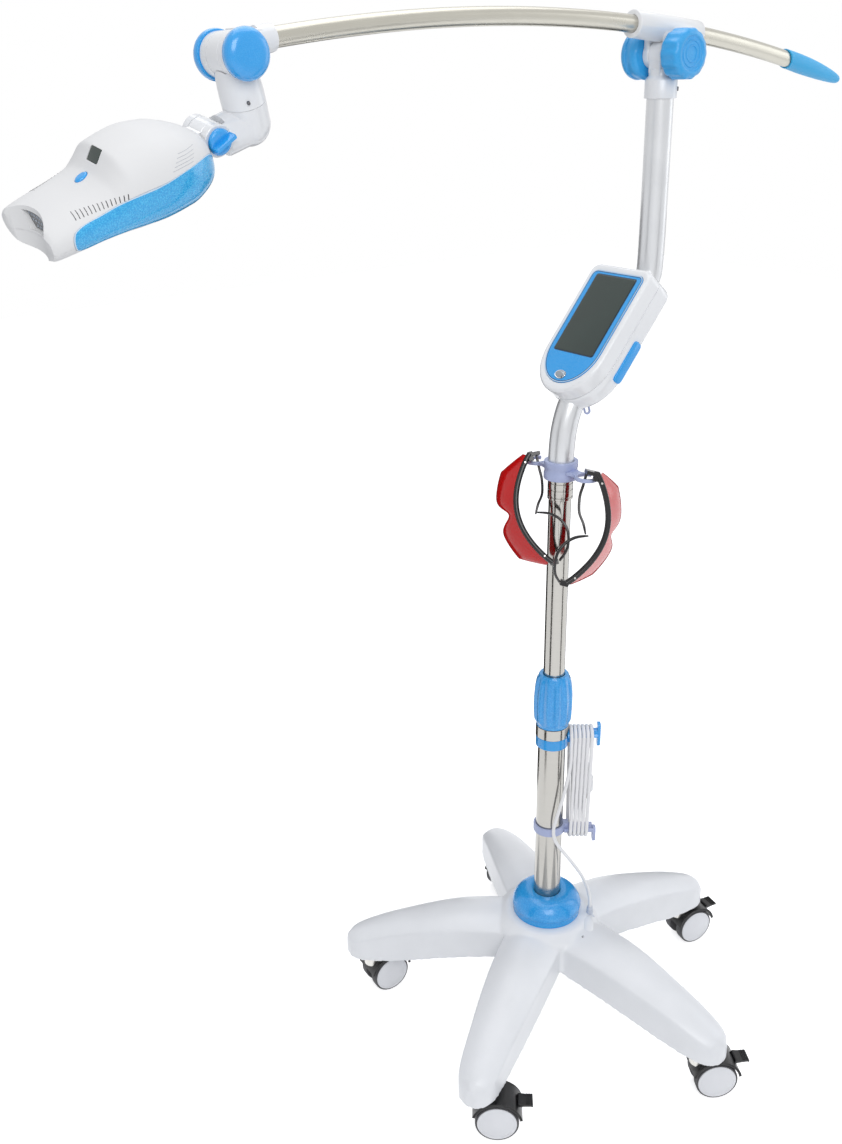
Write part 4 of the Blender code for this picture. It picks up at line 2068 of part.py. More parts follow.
def centre_on_floor():
    """Moves all pieces so that the origin lies under the middle of the bounding box, less its cord."""
    bpy.context.view_layer.update()
    graph = bpy.context.evaluated_depsgraph_get()
    corners = []
    for node in parts.objects:
        if node.name in CORD_NODES:
            continue
        shape = node.evaluated_get(graph)
        mesh = shape.to_mesh()
        corners += [node.matrix_world @ point.co for point in mesh.vertices]
        shape.to_mesh_clear()
    low = [min(corner[i] for corner in corners) for i in range(3)]
    high = [max(corner[i] for corner in corners) for i in range(3)]
    shift = Vector((-(low[0] + high[0]) / 2, -(low[1] + high[1]) / 2, -low[2]))
    for each in [*parts.objects, *tools.objects]:
        each.matrix_world = Matrix.Translation(shift) @ each.matrix_world
    bpy.context.view_layer.update()
    print("moved by", [round(part, 6) for part in shift])


def build():
    base()
    column()
    cord_hooks()
    mains_cord()
    mast()
    goggle_set()
    control_box()
    tee_and_arm()
    wrist()
    lamp_head()
    centre_on_floor()


clear_scene()
parts = make_collection("teeth_whitening_lamp", False)
tools = make_collection("tools", True)
build()
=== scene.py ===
import math

import bmesh
import bpy
import numpy as np
from mathutils import Matrix, Vector


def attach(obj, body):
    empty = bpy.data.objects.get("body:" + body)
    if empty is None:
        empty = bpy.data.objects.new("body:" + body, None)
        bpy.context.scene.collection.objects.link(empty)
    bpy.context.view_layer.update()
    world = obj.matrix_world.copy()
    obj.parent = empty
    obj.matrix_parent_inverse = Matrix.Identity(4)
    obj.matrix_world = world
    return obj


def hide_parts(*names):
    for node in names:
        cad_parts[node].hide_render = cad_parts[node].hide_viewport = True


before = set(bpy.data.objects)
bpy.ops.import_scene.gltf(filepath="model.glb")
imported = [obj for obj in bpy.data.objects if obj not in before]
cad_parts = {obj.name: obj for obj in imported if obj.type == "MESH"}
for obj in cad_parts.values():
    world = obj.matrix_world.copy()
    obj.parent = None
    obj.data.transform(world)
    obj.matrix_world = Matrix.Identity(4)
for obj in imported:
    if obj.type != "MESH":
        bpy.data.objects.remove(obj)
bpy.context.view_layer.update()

# Camera and studio
# The camera stands at the left front of the lamp, a little above the arm, and looks down at
# the base. The lamp stands on a plain white sweep under large soft lights, with dark cloths
# round it that give the polished tubes their edges.
lamp_shift = Matrix.Translation((0.075218, 0.016131, -0.000752))
camera_place = lamp_shift @ Vector((-0.98599, -1.01659, 1.31283))
camera_look = Vector((0.552778, 0.734985, -0.392726)).normalized()
camera_roll = math.radians(0.926)

level_right = camera_look.cross(Vector((0, 0, 1))).normalized()
level_up = level_right.cross(camera_look)
camera_right = level_right * math.cos(camera_roll) - level_up * math.sin(camera_roll)
camera_up = level_right * math.sin(camera_roll) + level_up * math.cos(camera_roll)
camera_data = bpy.data.cameras.new("photo_camera")
camera_data.sensor_fit = "VERTICAL"
camera_data.sensor_height = 36
camera_data.lens = 37.086
camera_data.clip_start = 0.05
camera = bpy.data.objects.new("photo_camera", camera_data)
camera_axes = Matrix((camera_right, camera_up, -camera_look)).transposed().to_4x4()
camera.matrix_world = Matrix.Translation(camera_place) @ camera_axes
bpy.context.scene.collection.objects.link(camera)
bpy.context.scene.camera = camera
bpy.context.scene.view_settings.view_transform = "Standard"


def wired(tree, kind, links=(), **settings):
    """A new node in the tree with its settings, and its inputs joined or set."""
    node = tree.nodes.new(kind)
    for key, value in settings.items():
        setattr(node, key, value)
    for socket, value in links:
        if isinstance(value, bpy.types.NodeSocket):
            tree.links.new(value, node.inputs[socket])
        else:
            node.inputs[socket].default_value = value
    return node


def arithmetic(tree, operation, *values):
    return wired(tree, "ShaderNodeMath", list(enumerate(values)), operation=operation).outputs[0]


def seen_as_white(tree, shade, white, ending):
    """Lights with one shader, and shows a white one to the camera, to mirrors and through glass."""
    path = wired(tree, "ShaderNodeLightPath")
    seen = path.outputs["Is Camera Ray"]
    for ray in ("Is Glossy Ray", "Is Transmission Ray"):
        seen = arithmetic(tree, "MAXIMUM", seen, path.outputs[ray])
    mix = wired(tree, "ShaderNodeMixShader", [(0, seen), (1, shade.outputs[0]), (2, white.outputs[0])])
    tree.links.new(mix.outputs[0], tree.nodes[ending].inputs[0])


world = bpy.data.worlds.new("studio")
world.use_nodes = True
bpy.context.scene.world = world
room = world.node_tree.nodes["Background"]
room.inputs["Color"].default_value = (0.93, 0.95, 1.0, 1)
room.inputs["Strength"].default_value = 0.46
clear_white = wired(world.node_tree, "ShaderNodeBackground", [("Color", (1, 1, 1, 1)), ("Strength", 1.0)])
seen_as_white(world.node_tree, room, clear_white, "World Output")


def studio_sheet(name, corners, colour):
    """A flat matt sheet, and the nodes of its material."""
    mesh = bpy.data.meshes.new(name)
    mesh.from_pydata(corners, [], [(0, 1, 2, 3)])
    sheet = bpy.data.objects.new(name, mesh)
    bpy.context.scene.collection.objects.link(sheet)
    matt = bpy.data.materials.new(name)
    matt.use_nodes = True
    matt.node_tree.nodes["Principled BSDF"].inputs["Base Color"].default_value = (*colour, 1)
    matt.node_tree.nodes["Principled BSDF"].inputs["Roughness"].default_value = 0.9
    mesh.materials.append(matt)
    return sheet, matt.node_tree


floor_half = 6.0
floor_corners = [(x * floor_half, y * floor_half, 0) for x, y in ((-1, -1), (1, -1), (1, 1), (-1, 1))]
studio_floor, paper_tree = studio_sheet("studio_floor", floor_corners, (0.955, 0.955, 0.955))
studio_floor.location.z = -0.0006
paper = paper_tree.nodes["Principled BSDF"]
paper.inputs["Specular IOR Level"].default_value = 0.1
paper_glow = wired(paper_tree, "ShaderNodeEmission", [("Strength", 0.66)])
lit_paper = wired(paper_tree, "ShaderNodeAddShader", [(0, paper.outputs[0]), (1, paper_glow.outputs[0])])
seen_as_white(paper_tree, paper, lit_paper, "Material Output")


def soft_light(name, place, toward, size, power, colour=(1, 1, 1)):
    data = bpy.data.lights.new(name, "AREA")
    data.shape = "RECTANGLE"
    data.size = size[0]
    data.size_y = size[1]
    data.energy = power
    data.color = colour
    light = bpy.data.objects.new(name, data)
    light.location = place
    light.rotation_euler = (Vector(toward) - Vector(place)).to_track_quat("-Z", "Y").to_euler()
    bpy.context.scene.collection.objects.link(light)


soft_light("key_panel", (-1.6, -2.4, 2.6), (0, 0, 0.8), (1.8, 1.8), 44)
soft_light("overhead_panel", (0.3, 0.4, 3.2), (0, 0, 0.5), (2.4, 2.4), 26)
soft_light("fill_panel", (2.4, -1.0, 1.6), (0, 0, 0.7), (1.2, 2.0), 9, (0.96, 0.98, 1))

flag_distance = 0.62
flag_height = 1.1


def dark_flag(name, bearing, width):
    """A black cloth on a stand, which only mirror rays can see."""
    half = width / 2
    corners = [(-half, 0, 0), (half, 0, 0), (half, 0, flag_height), (-half, 0, flag_height)]
    flag, _ = studio_sheet(name, corners, (0.035, 0.03, 0.022))
    flag.location = (flag_distance * math.cos(bearing), flag_distance * math.sin(bearing), 0)
    flag.rotation_euler.z = bearing + math.pi / 2
    flag.visible_camera = False
    flag.visible_diffuse = False
    flag.visible_shadow = False
    flag.visible_transmission = False


dark_flag("flag_back", math.radians(82), 0.5)
dark_flag("flag_left", math.radians(178), 0.2)
dark_flag("flag_right", math.radians(300), 0.12)
dark_flag("flag_far", math.radians(22), 0.22)

# Mains cord
# One white three-core lead, 5 mm thick and 2.33 m long. It leaves its saddle on the base,
# climbs beside the column and hangs in six loops on the two hooks, with the plug on its end.
cord_width = 0.005
hook_turn = math.radians(-36.95)
hook_place = lamp_shift @ Matrix.Rotation(hook_turn, 4, "Z")
cord_rise = (
    (0.0625, -0.011, 0.1808),
    (0.0617, -0.0113, 0.195),
    (0.0575, -0.0125, 0.215),
    (0.048, -0.016, 0.239),
    (0.0345, -0.022, 0.264),
    (0.018, -0.027, 0.29),
    (0.006, -0.029, 0.31),
    (0.003, -0.029, 0.33),
    (0.009, -0.027, 0.355),
    (0.017, -0.0225, 0.385),
    (0.0225, -0.0175, 0.41),
    (0.0255, -0.015, 0.43),
    (0.0255, -0.015, 0.4517),
)
hank_loops = 6
hank_pitch = 0.0056
hank_start = 0.0255
hank_fold = 0.015
hank_top = 0.4625
hank_bottom = 0.3175
tail_out = 0.036
tail_end = 0.398
tail_bend = (
    # share of the way down the tail, share of the way out
    (0.25, 0.04),
    (0.45, 0.25),
    (0.62, 0.6),
    (0.78, 0.88),
    (0.9, 0.98),
    (1.0, 1.0),
)


def blended(a, b, leave, arrive, t):
    """The value at a share of the way from one to another, with the slopes at both ends."""
    steady = a * (2 * t**3 - 3 * t**2 + 1) + b * (3 * t**2 - 2 * t**3)
    return steady + leave * (t**3 - 2 * t**2 + t) + arrive * (t**3 - t**2)


def smooth_run(knots, spacing):
    """Points on a smooth curve through the knots, about the given distance apart."""
    knots = [Vector(knot) for knot in knots]
    run = [knots[0]]
    for i in range(len(knots) - 1):
        a, b = knots[i], knots[i + 1]
        leave = (b - knots[max(i - 1, 0)]) / 2
        arrive = (knots[min(i + 2, len(knots) - 1)] - a) / 2
        count = max(1, round((b - a).length / spacing))
        for step in range(1, count + 1):
            run.append(blended(a, b, leave, arrive, step / count))
    return run


def hank_run():
    """Six loops side by side, each over the top hook, down the back, under the low hook and up."""
    height = hank_top - hank_bottom
    arc = math.pi * hank_fold
    around = 2 * (height + arc)
    run = []
    angles = [math.pi * i / 14 for i in range(14)]
    shares = [i / 5 for i in range(5)]

    def add(loop, gone, y, z):
        run.append(Vector((hank_start + hank_pitch * (loop + gone / around), y, z)))

    for loop in range(hank_loops):
        for angle in angles:
            add(loop, hank_fold * angle, -hank_fold * math.cos(angle), hank_top + hank_fold * math.sin(angle))
        if loop == hank_loops - 1:
            add(loop, arc, hank_fold, hank_top)
            for share, out in tail_bend:
                add(
                    loop,
                    arc,
                    hank_fold + (tail_out - hank_fold) * out,
                    hank_top + (tail_end - hank_top) * share,
                )
            break
        for share in shares:
            add(loop, arc + height * share, hank_fold, hank_top - height * share)
        for angle in angles:
            gone = arc + height + hank_fold * angle
            add(loop, gone, hank_fold * math.cos(angle), hank_bottom - hank_fold * math.sin(angle))
        for share in shares:
            add(loop, 2 * arc + height + height * share, -hank_fold, hank_bottom + height * share)
    return run


def cord_curve(name, run, width):
    curve = bpy.data.curves.new(name, "CURVE")
    curve.dimensions = "3D"
    spline = curve.splines.new("POLY")
    spline.points.add(len(run) - 1)
    for spot, point in zip(spline.points, run):
        spot.co = (*point, 1)
    curve.bevel_depth = width / 2
    curve.bevel_resolution = 4
    curve.use_fill_caps = True
    made = bpy.data.objects.new(name, curve)
    bpy.context.scene.collection.objects.link(made)
    return made


def group_of(name, inputs, outputs):
    """A new node group with its input and output nodes and named sockets."""
    tree = bpy.data.node_groups.new(name, "ShaderNodeTree")
    for label, kind, value in inputs:
        socket = tree.interface.new_socket(label, in_out="INPUT", socket_type=kind)
        socket.default_value = value
    for label, kind in outputs:
        tree.interface.new_socket(label, in_out="OUTPUT", socket_type=kind)
    return tree, tree.nodes.new("NodeGroupInput"), tree.nodes.new("NodeGroupOutput")


# Every moulding and coating has slight cloudiness, a fine grain and the marks of hands and cloths.
skin_tree, skin_in, skin_out = group_of(
    "moulded_skin",
    [
        ("Vector", "NodeSocketVector", (0, 0, 0)),
        ("Colour", "NodeSocketColor", (0.8, 0.8, 0.8, 1)),
        ("Cloudiness", "NodeSocketFloat", 0.04),
        ("Roughness", "NodeSocketFloat", 0.35),
        ("Grain per metre", "NodeSocketFloat", 2500.0),
        ("Handling marks", "NodeSocketFloat", 0.3),
    ],
    [("Colour", "NodeSocketColor"), ("Roughness", "NodeSocketFloat"), ("Height", "NodeSocketFloat")],
)

def noise(tree, vector, scale, detail, roughness=0.5):
    inputs = [("Vector", vector), ("Scale", scale), ("Detail", detail), ("Roughness", roughness)]
    return wired(tree, "ShaderNodeTexNoise", inputs).outputs[0]


def ranged(tree, value, low, high, to_low=0.0, to_high=1.0):
    inputs = [
        ("Value", value), ("From Min", low), ("From Max", high), ("To Min", to_low), ("To Max", to_high)
    ]
    return wired(tree, "ShaderNodeMapRange", inputs).outputs[0]


skin_place = skin_in.outputs["Vector"]
skin_cloud = ranged(skin_tree, noise(skin_tree, skin_place, 22.0, 3.0), 0.3, 0.7, -1.0, 1.0)
skin_shade = arithmetic(skin_tree, "MULTIPLY", skin_cloud, skin_in.outputs["Cloudiness"])
skin_value = arithmetic(skin_tree, "ADD", skin_shade, 1.0)
skin_tint = [("Value", skin_value), ("Color", skin_in.outputs["Colour"])]
skin_colour = wired(skin_tree, "ShaderNodeHueSaturation", skin_tint)
skin_marks = ranged(skin_tree, noise(skin_tree, skin_place, 190.0, 6.0, 0.7), 0.52, 0.74)
skin_marks = arithmetic(skin_tree, "MULTIPLY", skin_marks, skin_in.outputs["Handling marks"])
skin_rough = arithmetic(skin_tree, "MULTIPLY_ADD", skin_marks, 0.25, skin_in.outputs["Roughness"])
skin_grain = noise(skin_tree, skin_place, skin_in.outputs["Grain per metre"], 2.0)
skin_tree.links.new(skin_colour.outputs[0], skin_out.inputs["Colour"])
skin_tree.links.new(skin_rough, skin_out.inputs["Roughness"])
skin_tree.links.new(skin_grain, skin_out.inputs["Height"])


def grained(name, group, values, depth, distance, constants):
    """A material whose colour, roughness and bump come from a node group."""
    made = bpy.data.materials.new(name)
    made.use_nodes = True
    tree = made.node_tree
    shader = tree.nodes["Principled BSDF"]
    place = tree.nodes.new("ShaderNodeTexCoord")
    grain = tree.nodes.new("ShaderNodeGroup")
    grain.node_tree = group
    tree.links.new(place.outputs["Object"], grain.inputs["Vector"])
    for label, value in values.items():
        grain.inputs[label].default_value = value
    relief = [("Strength", depth), ("Distance", distance), ("Height", grain.outputs["Height"])]
    bump = wired(tree, "ShaderNodeBump", relief)
    tree.links.new(grain.outputs["Colour"], shader.inputs["Base Color"])
    tree.links.new(grain.outputs["Roughness"], shader.inputs["Roughness"])
    tree.links.new(bump.outputs[0], shader.inputs["Normal"])
    for key, value in constants.items():
        shader.inputs[key.replace("_", " ")].default_value = value
    return made


def moulded(
    name, colour, roughness, grain=2500.0, grain_depth=0.12, cloudiness=0.035, marks=0.3, **constants
):
    """A material on the moulded skin group. The constants are plain values of the shader."""
    values = {
        "Colour": (*colour, 1),
        "Cloudiness": cloudiness,
        "Roughness": roughness,
        "Grain per metre": grain,
        "Handling marks": marks,
    }
    return grained(name, skin_tree, values, grain_depth, 0.0004, constants)


cord_jacket = moulded("cord_jacket", (0.86, 0.86, 0.87), 0.38, grain=900.0, grain_depth=0.1, cloudiness=0.03)
cord_run = smooth_run(cord_rise, 0.008)[:-1] + hank_run()
cord_run = [hook_place @ point for point in cord_run]
mains_cord = cord_curve("mains_cord", cord_run, cord_width)
mains_cord.data.materials.append(cord_jacket)


def lathe(name, profile, steps=72, flutes=0, flute_depth=0.0):
    """A turned mesh. Its profile runs down the outer side. A third value is the share of the flutes."""
    shape = bmesh.new()
    rows = []
    for row in profile:
        radius, height = row[0], row[1]
        share = row[2] if len(row) > 2 else 0
        if radius == 0:
            rows.append([shape.verts.new((0, 0, height))])
            continue
        ring = []
        for i in range(steps):
            angle = 2 * math.pi * i / steps
            r = radius - flute_depth * share * (1 - math.cos(flutes * angle)) / 2
            ring.append(shape.verts.new((r * math.cos(angle), r * math.sin(angle), height)))
        rows.append(ring)
    for upper, lower in zip(rows, rows[1:]):
        for i in range(steps):
            a, b = upper[i % len(upper)], upper[(i + 1) % len(upper)]
            c, d = lower[(i + 1) % len(lower)], lower[i % len(lower)]
            corners = [a, d, c, b]
            corners = [v for n, v in enumerate(corners) if v not in corners[:n]]
            if len(corners) > 2:
                shape.faces.new(corners)
    return as_mesh(name, shape)


def as_mesh(name, shape):
    bmesh.ops.remove_doubles(shape, verts=shape.verts, dist=1e-7)
    bmesh.ops.recalc_face_normals(shape, faces=shape.faces)
    mesh = bpy.data.meshes.new(name)
    shape.to_mesh(mesh)
    shape.free()
    return mesh


def skinned(name, rings, capped=True):
    """A mesh over closed rings that each have the same number of points."""
    shape = bmesh.new()
    rows = [[shape.verts.new(point) for point in ring] for ring in rings]
    count = len(rings[0])
    for upper, lower in zip(rows, rows[1:]):
        for i in range(count):
            j = (i + 1) % count
            shape.faces.new((upper[i], lower[i], lower[j], upper[j]))
    if capped:
        shape.faces.new(rows[0])
        shape.faces.new(rows[-1][::-1])
    return as_mesh(name, shape)


def swept(name, run, radii, steps=32, flatten=1.0, across=(0, 1, 0)):
    """A round or oval bar along a run of points."""
    rings = []
    across = Vector(across)
    turns = [2 * math.pi * k / steps for k in range(steps)]
    for i, centre in enumerate(run):
        along = (run[min(i + 1, len(run) - 1)] - run[max(i - 1, 0)]).normalized()
        side = (across - along * along.dot(across)).normalized()
        up = side.cross(along)
        radius = radii[i] if isinstance(radii, (list, tuple)) else radii
        side *= radius
        up *= radius * flatten
        rings.append([centre + side * math.cos(a) + up * math.sin(a) for a in turns])
    return skinned(name, rings)


def piece(name, mesh, place, finish, body, stands_for=(), edge=0.0, smooth=True):
    """A new piece with its finish. It rides on a body, and CAD nodes that it stands for are hidden."""
    mesh = mesh.copy()
    mesh.transform(place.to_3x3().to_4x4())
    mesh.materials.append(finish)
    made = bpy.data.objects.new(name, mesh)
    bpy.context.scene.collection.objects.link(made)
    made.location = place.translation
    crease = math.radians(38)
    if smooth:
        mesh.shade_smooth()
        mesh.set_sharp_from_angle(angle=crease)
    if edge:
        bevel = made.modifiers.new("soft edge", "BEVEL")
        bevel.width = edge
        bevel.segments = 2
        bevel.limit_method = "ANGLE"
        bevel.angle_limit = crease
        bevel.harden_normals = True
    bpy.context.view_layer.update()
    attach(made, body)
    if stands_for:
        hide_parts(*stands_for)
    return made


plug_radius = 0.012
plug_neck = 0.014
plug_body = 0.032
plug_end = plug_neck + plug_body
rib_step = 0.0033
plug_place = Matrix.Translation(cord_run[-1]) @ Matrix.Rotation(math.pi, 4, "X")
plug_profile = [
    (0, plug_end),
    (plug_radius * 0.93, plug_end),
    (plug_radius, plug_end - 0.001),
    (plug_radius, plug_neck + plug_body * 0.55),
    (plug_radius * 0.86, plug_neck + plug_body * 0.45),
    (plug_radius, plug_neck + plug_body * 0.35),
    (0.007, plug_neck),
]
for rib in range(4):
    top = plug_neck - 0.001 - rib * rib_step
    plug_profile += [(0.005, top), (0.005, top - 0.0014), (0.0041, top - 0.0016), (0.0041, top - 0.003)]
plug_profile += [(0.0036, 0.0003), (0, 0.0003)]
plug_white = moulded("plug_white", (0.82, 0.83, 0.84), 0.32, grain=1800.0)
plug_shell = piece(
    "plug_shell",
    lathe("plug_shell", plug_profile, 40),
    plug_place,
    plug_white,
    "base",
    ["cord_plug"],
)
brass_pin = moulded("plug_pin_metal", (0.78, 0.74, 0.66), 0.22, grain=600.0, grain_depth=0.03, Metallic=1.0)
pin_profile = [(0, 0.019), (0.0016, 0.019), (0.0024, 0.018), (0.0024, -0.001), (0, -0.001)]
pin_offset = 0.0057
pin_seat = plug_end - 0.0015
for number, offset in ((1, -pin_offset), (3, pin_offset)):
    pin_place = plug_place @ Matrix.Translation((offset, 0, pin_seat))
    pin_mesh = lathe("plug_pin", pin_profile, 24)
    piece(f"plug_pin_{number}", pin_mesh, pin_place, brass_pin, "base")

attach(mains_cord, "base")
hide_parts("cord_hank", "cord_stretch")

# Star base
# One injection-moulded cover with five arched arms that flow out of a round hub. It is
# satin white plastic over a steel spider, hollow below, with a boss for each caster stem.
arm_count = 5
arm_turn = math.radians(-7.5)
arm_root = 0.06
arm_reach = 0.3
arm_stations = (
    # share of the reach, half width, roof height, drop of the roof at the sides, underside
    (0.000, 0.0419, 0.1676, 0.0129, 0.109),
    (0.3, 0.0396, 0.1621, 0.0127, 0.0997),
    (0.685, 0.0314, 0.1382, 0.0115, 0.0788),
    (0.888, 0.0262, 0.1197, 0.0107, 0.0722),
    (0.966, 0.0189, 0.1101, 0.01, 0.0722),
    (1.000, 0.0077, 0.1011, 0.01, 0.0722),
)
hub_outline = (
    (0, 0.1722),
    (0.052, 0.1722),
    (0.06, 0.1705),
    (0.066, 0.1665),
    (0.072, 0.162),
    (0.0755, 0.155),
    (0.0755, 0.116),
    (0, 0.116),
)


def arm_ring(row, shrink, low):
    reach, half, roof, drop, under = row
    x = arm_root + (arm_reach - arm_root) * reach
    half -= shrink
    tops = [-1 + 2 * i / 20 for i in range(21)]
    ring = [(x, half * t, roof - shrink - drop * abs(t) ** 2.2) for t in tops]
    return ring + [(x, half, under - low), (x, -half, under - low)]


def station_rows(rows, count):
    """More rows, on a smooth curve through the given ones."""
    table = np.array(rows)
    along = table[:, 0]
    result = []
    for step in range(count):
        share = rows[0][0] + (rows[-1][0] - rows[0][0]) * step / (count - 1)
        i = int(min(max(np.searchsorted(along, share, side="right") - 1, 0), len(rows) - 2))
        gap = along[i + 1] - along[i]
        before = table[max(i - 1, 0)]
        after = table[min(i + 2, len(rows) - 1)]
        leave = (table[i + 1] - before) / max(along[i + 1] - before[0], 1e-9) * gap
        arrive = (after - table[i]) / max(after[0] - along[i], 1e-9) * gap
        row = blended(table[i], table[i + 1], leave, arrive, (share - along[i]) / gap)
        row[0] = share
        result.append(tuple(row))
    return result


def merged(name, parts):
    """One mesh that holds all of the given meshes. Each comes alone, or with its place."""
    shape = bmesh.new()
    for part in parts:
        mesh, place = part if isinstance(part, tuple) else (part, Matrix())
        copy = mesh.copy()
        copy.transform(place)
        shape.from_mesh(copy)
        bpy.data.meshes.remove(copy)
    mesh = bpy.data.meshes.new(name)
    shape.to_mesh(mesh)
    shape.free()
    return mesh


def fixed(made, name):
    """The mesh of an object as its modifiers leave it."""
    graph = bpy.context.evaluated_depsgraph_get()
    mesh = bpy.data.meshes.new_from_object(made.evaluated_get(graph))
    mesh.name = name
    return mesh


def melted(name, parts, grid, smoothing):
    """The parts run into one skin with rounded inner and outer corners."""
    made = bpy.data.objects.new(name, merged(name, parts))
    bpy.context.scene.collection.objects.link(made)
    remesh = made.modifiers.new("one skin", "REMESH")
    remesh.mode = "VOXEL"
    remesh.voxel_size = grid
    soften = made.modifiers.new("soften", "SMOOTH")
    soften.factor = 0.5
    soften.iterations = smoothing
    mesh = fixed(made, name)
    bpy.data.objects.remove(made)
    return mesh


def without(mesh, cutters, operation="DIFFERENCE", solver="EXACT"):
    """The mesh less the given cutters, or what they share."""
    body = bpy.data.objects.new("cut_body", mesh)
    bpy.context.scene.collection.objects.link(body)
    groups = [cutters] if solver == "EXACT" else [[each] for each in cutters]
    cutters = [bpy.data.objects.new("cutter", merged("cutter", group)) for group in groups]
    for cutter in cutters:
        bpy.context.scene.collection.objects.link(cutter)
        cut = body.modifiers.new("cut", "BOOLEAN")
        cut.operation = operation
        cut.object = cutter
        cut.solver = solver
        if solver == "EXACT":
            cut.use_self = True
    result = fixed(body, mesh.name)
    for each in (body, *cutters):
        bpy.data.objects.remove(each)
    return result


swivel_circle = 0.263
tube_bore = 0.0193
tube_floor = 0.08
socket_floor = 0.072
arm_skin = 0.005
base_arm = skinned("base_arm", [arm_ring(row, 0, 0) for row in station_rows(arm_stations, 30)])
hollow_rows = station_rows(arm_stations[:4], 9)[:-1]
base_arm_space = skinned("base_arm_space", [arm_ring(row, arm_skin, 0.02) for row in hollow_rows])
base_hub = lathe("base_hub", hub_outline, 96)
arm_places = [Matrix.Rotation(arm_turn + 2 * math.pi * k / arm_count, 4, "Z") for k in range(arm_count)]
base_skin = melted("star_cover", [base_hub] + [(base_arm, place) for place in arm_places], 0.0027, 2)
stem_boss = lathe("stem_boss", [(0, 0.106), (0.0145, 0.106), (0.0145, 0.0712), (0, 0.0712)], 40)
bore_profile = [(0, 0.2), (tube_bore, 0.2), (tube_bore, tube_floor), (0, tube_floor)]
tube_space = lathe("tube_space", bore_profile, 48)
base_skin = without(base_skin, [(base_arm_space, place) for place in arm_places] + [tube_space])
socket_profile = [(0, tube_floor), (tube_bore, tube_floor), (tube_bore, 0.15)]
socket_profile += [(0.0283, 0.15), (0.0283, socket_floor), (0, socket_floor)]
tube_socket = lathe("tube_socket", socket_profile, 48)
boss_places = [place @ Matrix.Translation((swivel_circle, 0, 0)) for place in arm_places]
base_skin = merged("star_cover", [base_skin, tube_socket] + [(stem_boss, place) for place in boss_places])
base_coat = {"Coat_Weight": 0.15, "Coat_Roughness": 0.3}
base_white = moulded("base_white", (0.83, 0.845, 0.87), 0.34, 2200.0, 0.16, 0.02, **base_coat)
piece("star_cover", base_skin, lamp_shift, base_white, "base", ["star_base"])

# Casters
# Five twin-wheel casters with black nylon hoods. Each has a turned steel stem pressed into its
# arm, dark treads on both wheels, flat white hub caps and a black brake pedal on a hinge.
wheel_radius = 0.03
tread_radius = 0.02925
wheel_inner = 0.0075
wheel_outer = 0.0215
hood_inner = 0.0322
hood_outer = 0.0345
spine_half = 0.0062
caster_trail = 0.022
caster_headings = (-12, 10, -5, -40, -32)
pedal_angle = math.radians(36)


def placed(origin, along, across):
    """A place whose +Z runs along one direction and whose +Y is as near as it can be to another."""
    z = Vector(along).normalized()
    x = Vector(across).cross(z).normalized()
    return Matrix.Translation(Vector(origin)) @ Matrix((x, z.cross(x), z)).transposed().to_4x4()


def extruded(name, outline, low, high):
    return skinned(name, [[(x, y, low) for x, y in outline], [(x, y, high) for x, y in outline]])


def fan(inner, outer, start, sweep, steps):
    arc = [start + sweep * i / steps for i in range(steps + 1)]
    there = [(outer * math.cos(a), outer * math.sin(a)) for a in arc]
    return there + [(inner * math.cos(a), inner * math.sin(a)) for a in reversed(arc)]


hood_start = math.radians(12)
hood_sweep = math.radians(150)
spine_start = math.radians(15.6)
spine_sweep = math.radians(142.8)
lip_width = 0.0016
hood_arc = fan(hood_inner, hood_outer, hood_start, hood_sweep, 30)
spine_arc = fan(0.002, hood_outer - 0.001, spine_start, spine_sweep, 26)
lip_arc = fan(hood_inner - 0.0012, hood_outer + 0.0003, hood_start, hood_sweep, 30)
hood_parts = [extruded("hood_plate", hood_arc, -wheel_outer, wheel_outer)]
hood_parts += [extruded("hood_spine", spine_arc, -spine_half, spine_half)]
hood_parts += [extruded("hood_lip", lip_arc, wheel_outer - lip_width, wheel_outer)]
hood_parts += [extruded("hood_lip", lip_arc, -wheel_outer, -wheel_outer + lip_width)]
hood_mesh = merged("caster_hood", hood_parts)
stem_profile = [
    (0, 0.1005), (0.0052, 0.1005), (0.0055, 0.1), (0.0055, 0.0707), (0.011, 0.0707),
    (0.0113, 0.069), (0.0113, 0.0662),
]
stem_profile += [
    (0.0102, 0.0655), (0.0102, 0.063), (0.0112, 0.0622), (0.0118, 0.056), (0.012, 0.05), (0, 0.05)
]
stem_mesh = lathe("caster_stem", stem_profile, 40)
tread_profile = [
    (0.004, wheel_inner),
    (0.0284, wheel_inner),
    (0.029, wheel_inner + 0.0008),
    (tread_radius, wheel_inner + 0.0022),
    (tread_radius, wheel_outer - 0.0026),
    (0.0289, wheel_outer - 0.0012),
    (0.0283, wheel_outer - 0.0004),
    (0.0268, wheel_outer - 0.0006),
    (0.0266, wheel_outer - 0.002),
    (0, wheel_outer - 0.002),
]
cap_profile = [
    (0, wheel_outer + 0.0009),
    (0.004, wheel_outer + 0.0009),
    (0.0225, wheel_outer + 0.0006),
    (0.0232, wheel_outer + 0.0001),
    (0.0238, wheel_outer + 0.0006),
    (0.0262, wheel_outer + 0.0001),
    (0.0265, wheel_outer - 0.0004),
    (0.0265, wheel_outer - 0.002),
    (0, wheel_outer - 0.002),
]
tread_mesh = lathe("tread", tread_profile[::-1], 72)
cap_mesh = lathe("hub_cap", cap_profile, 72)
axle_half = wheel_inner + 0.001
axle_mesh = lathe(
    "wheel_axle", [(0, axle_half), (0.004, axle_half), (0.004, -axle_half), (0, -axle_half)], 24
)
barrel_radius = 0.0026
barrel_turns = [math.radians(a) for a in range(70, 291, 20)]
pedal_outline = [(barrel_radius * math.cos(a), barrel_radius * math.sin(a)) for a in barrel_turns]
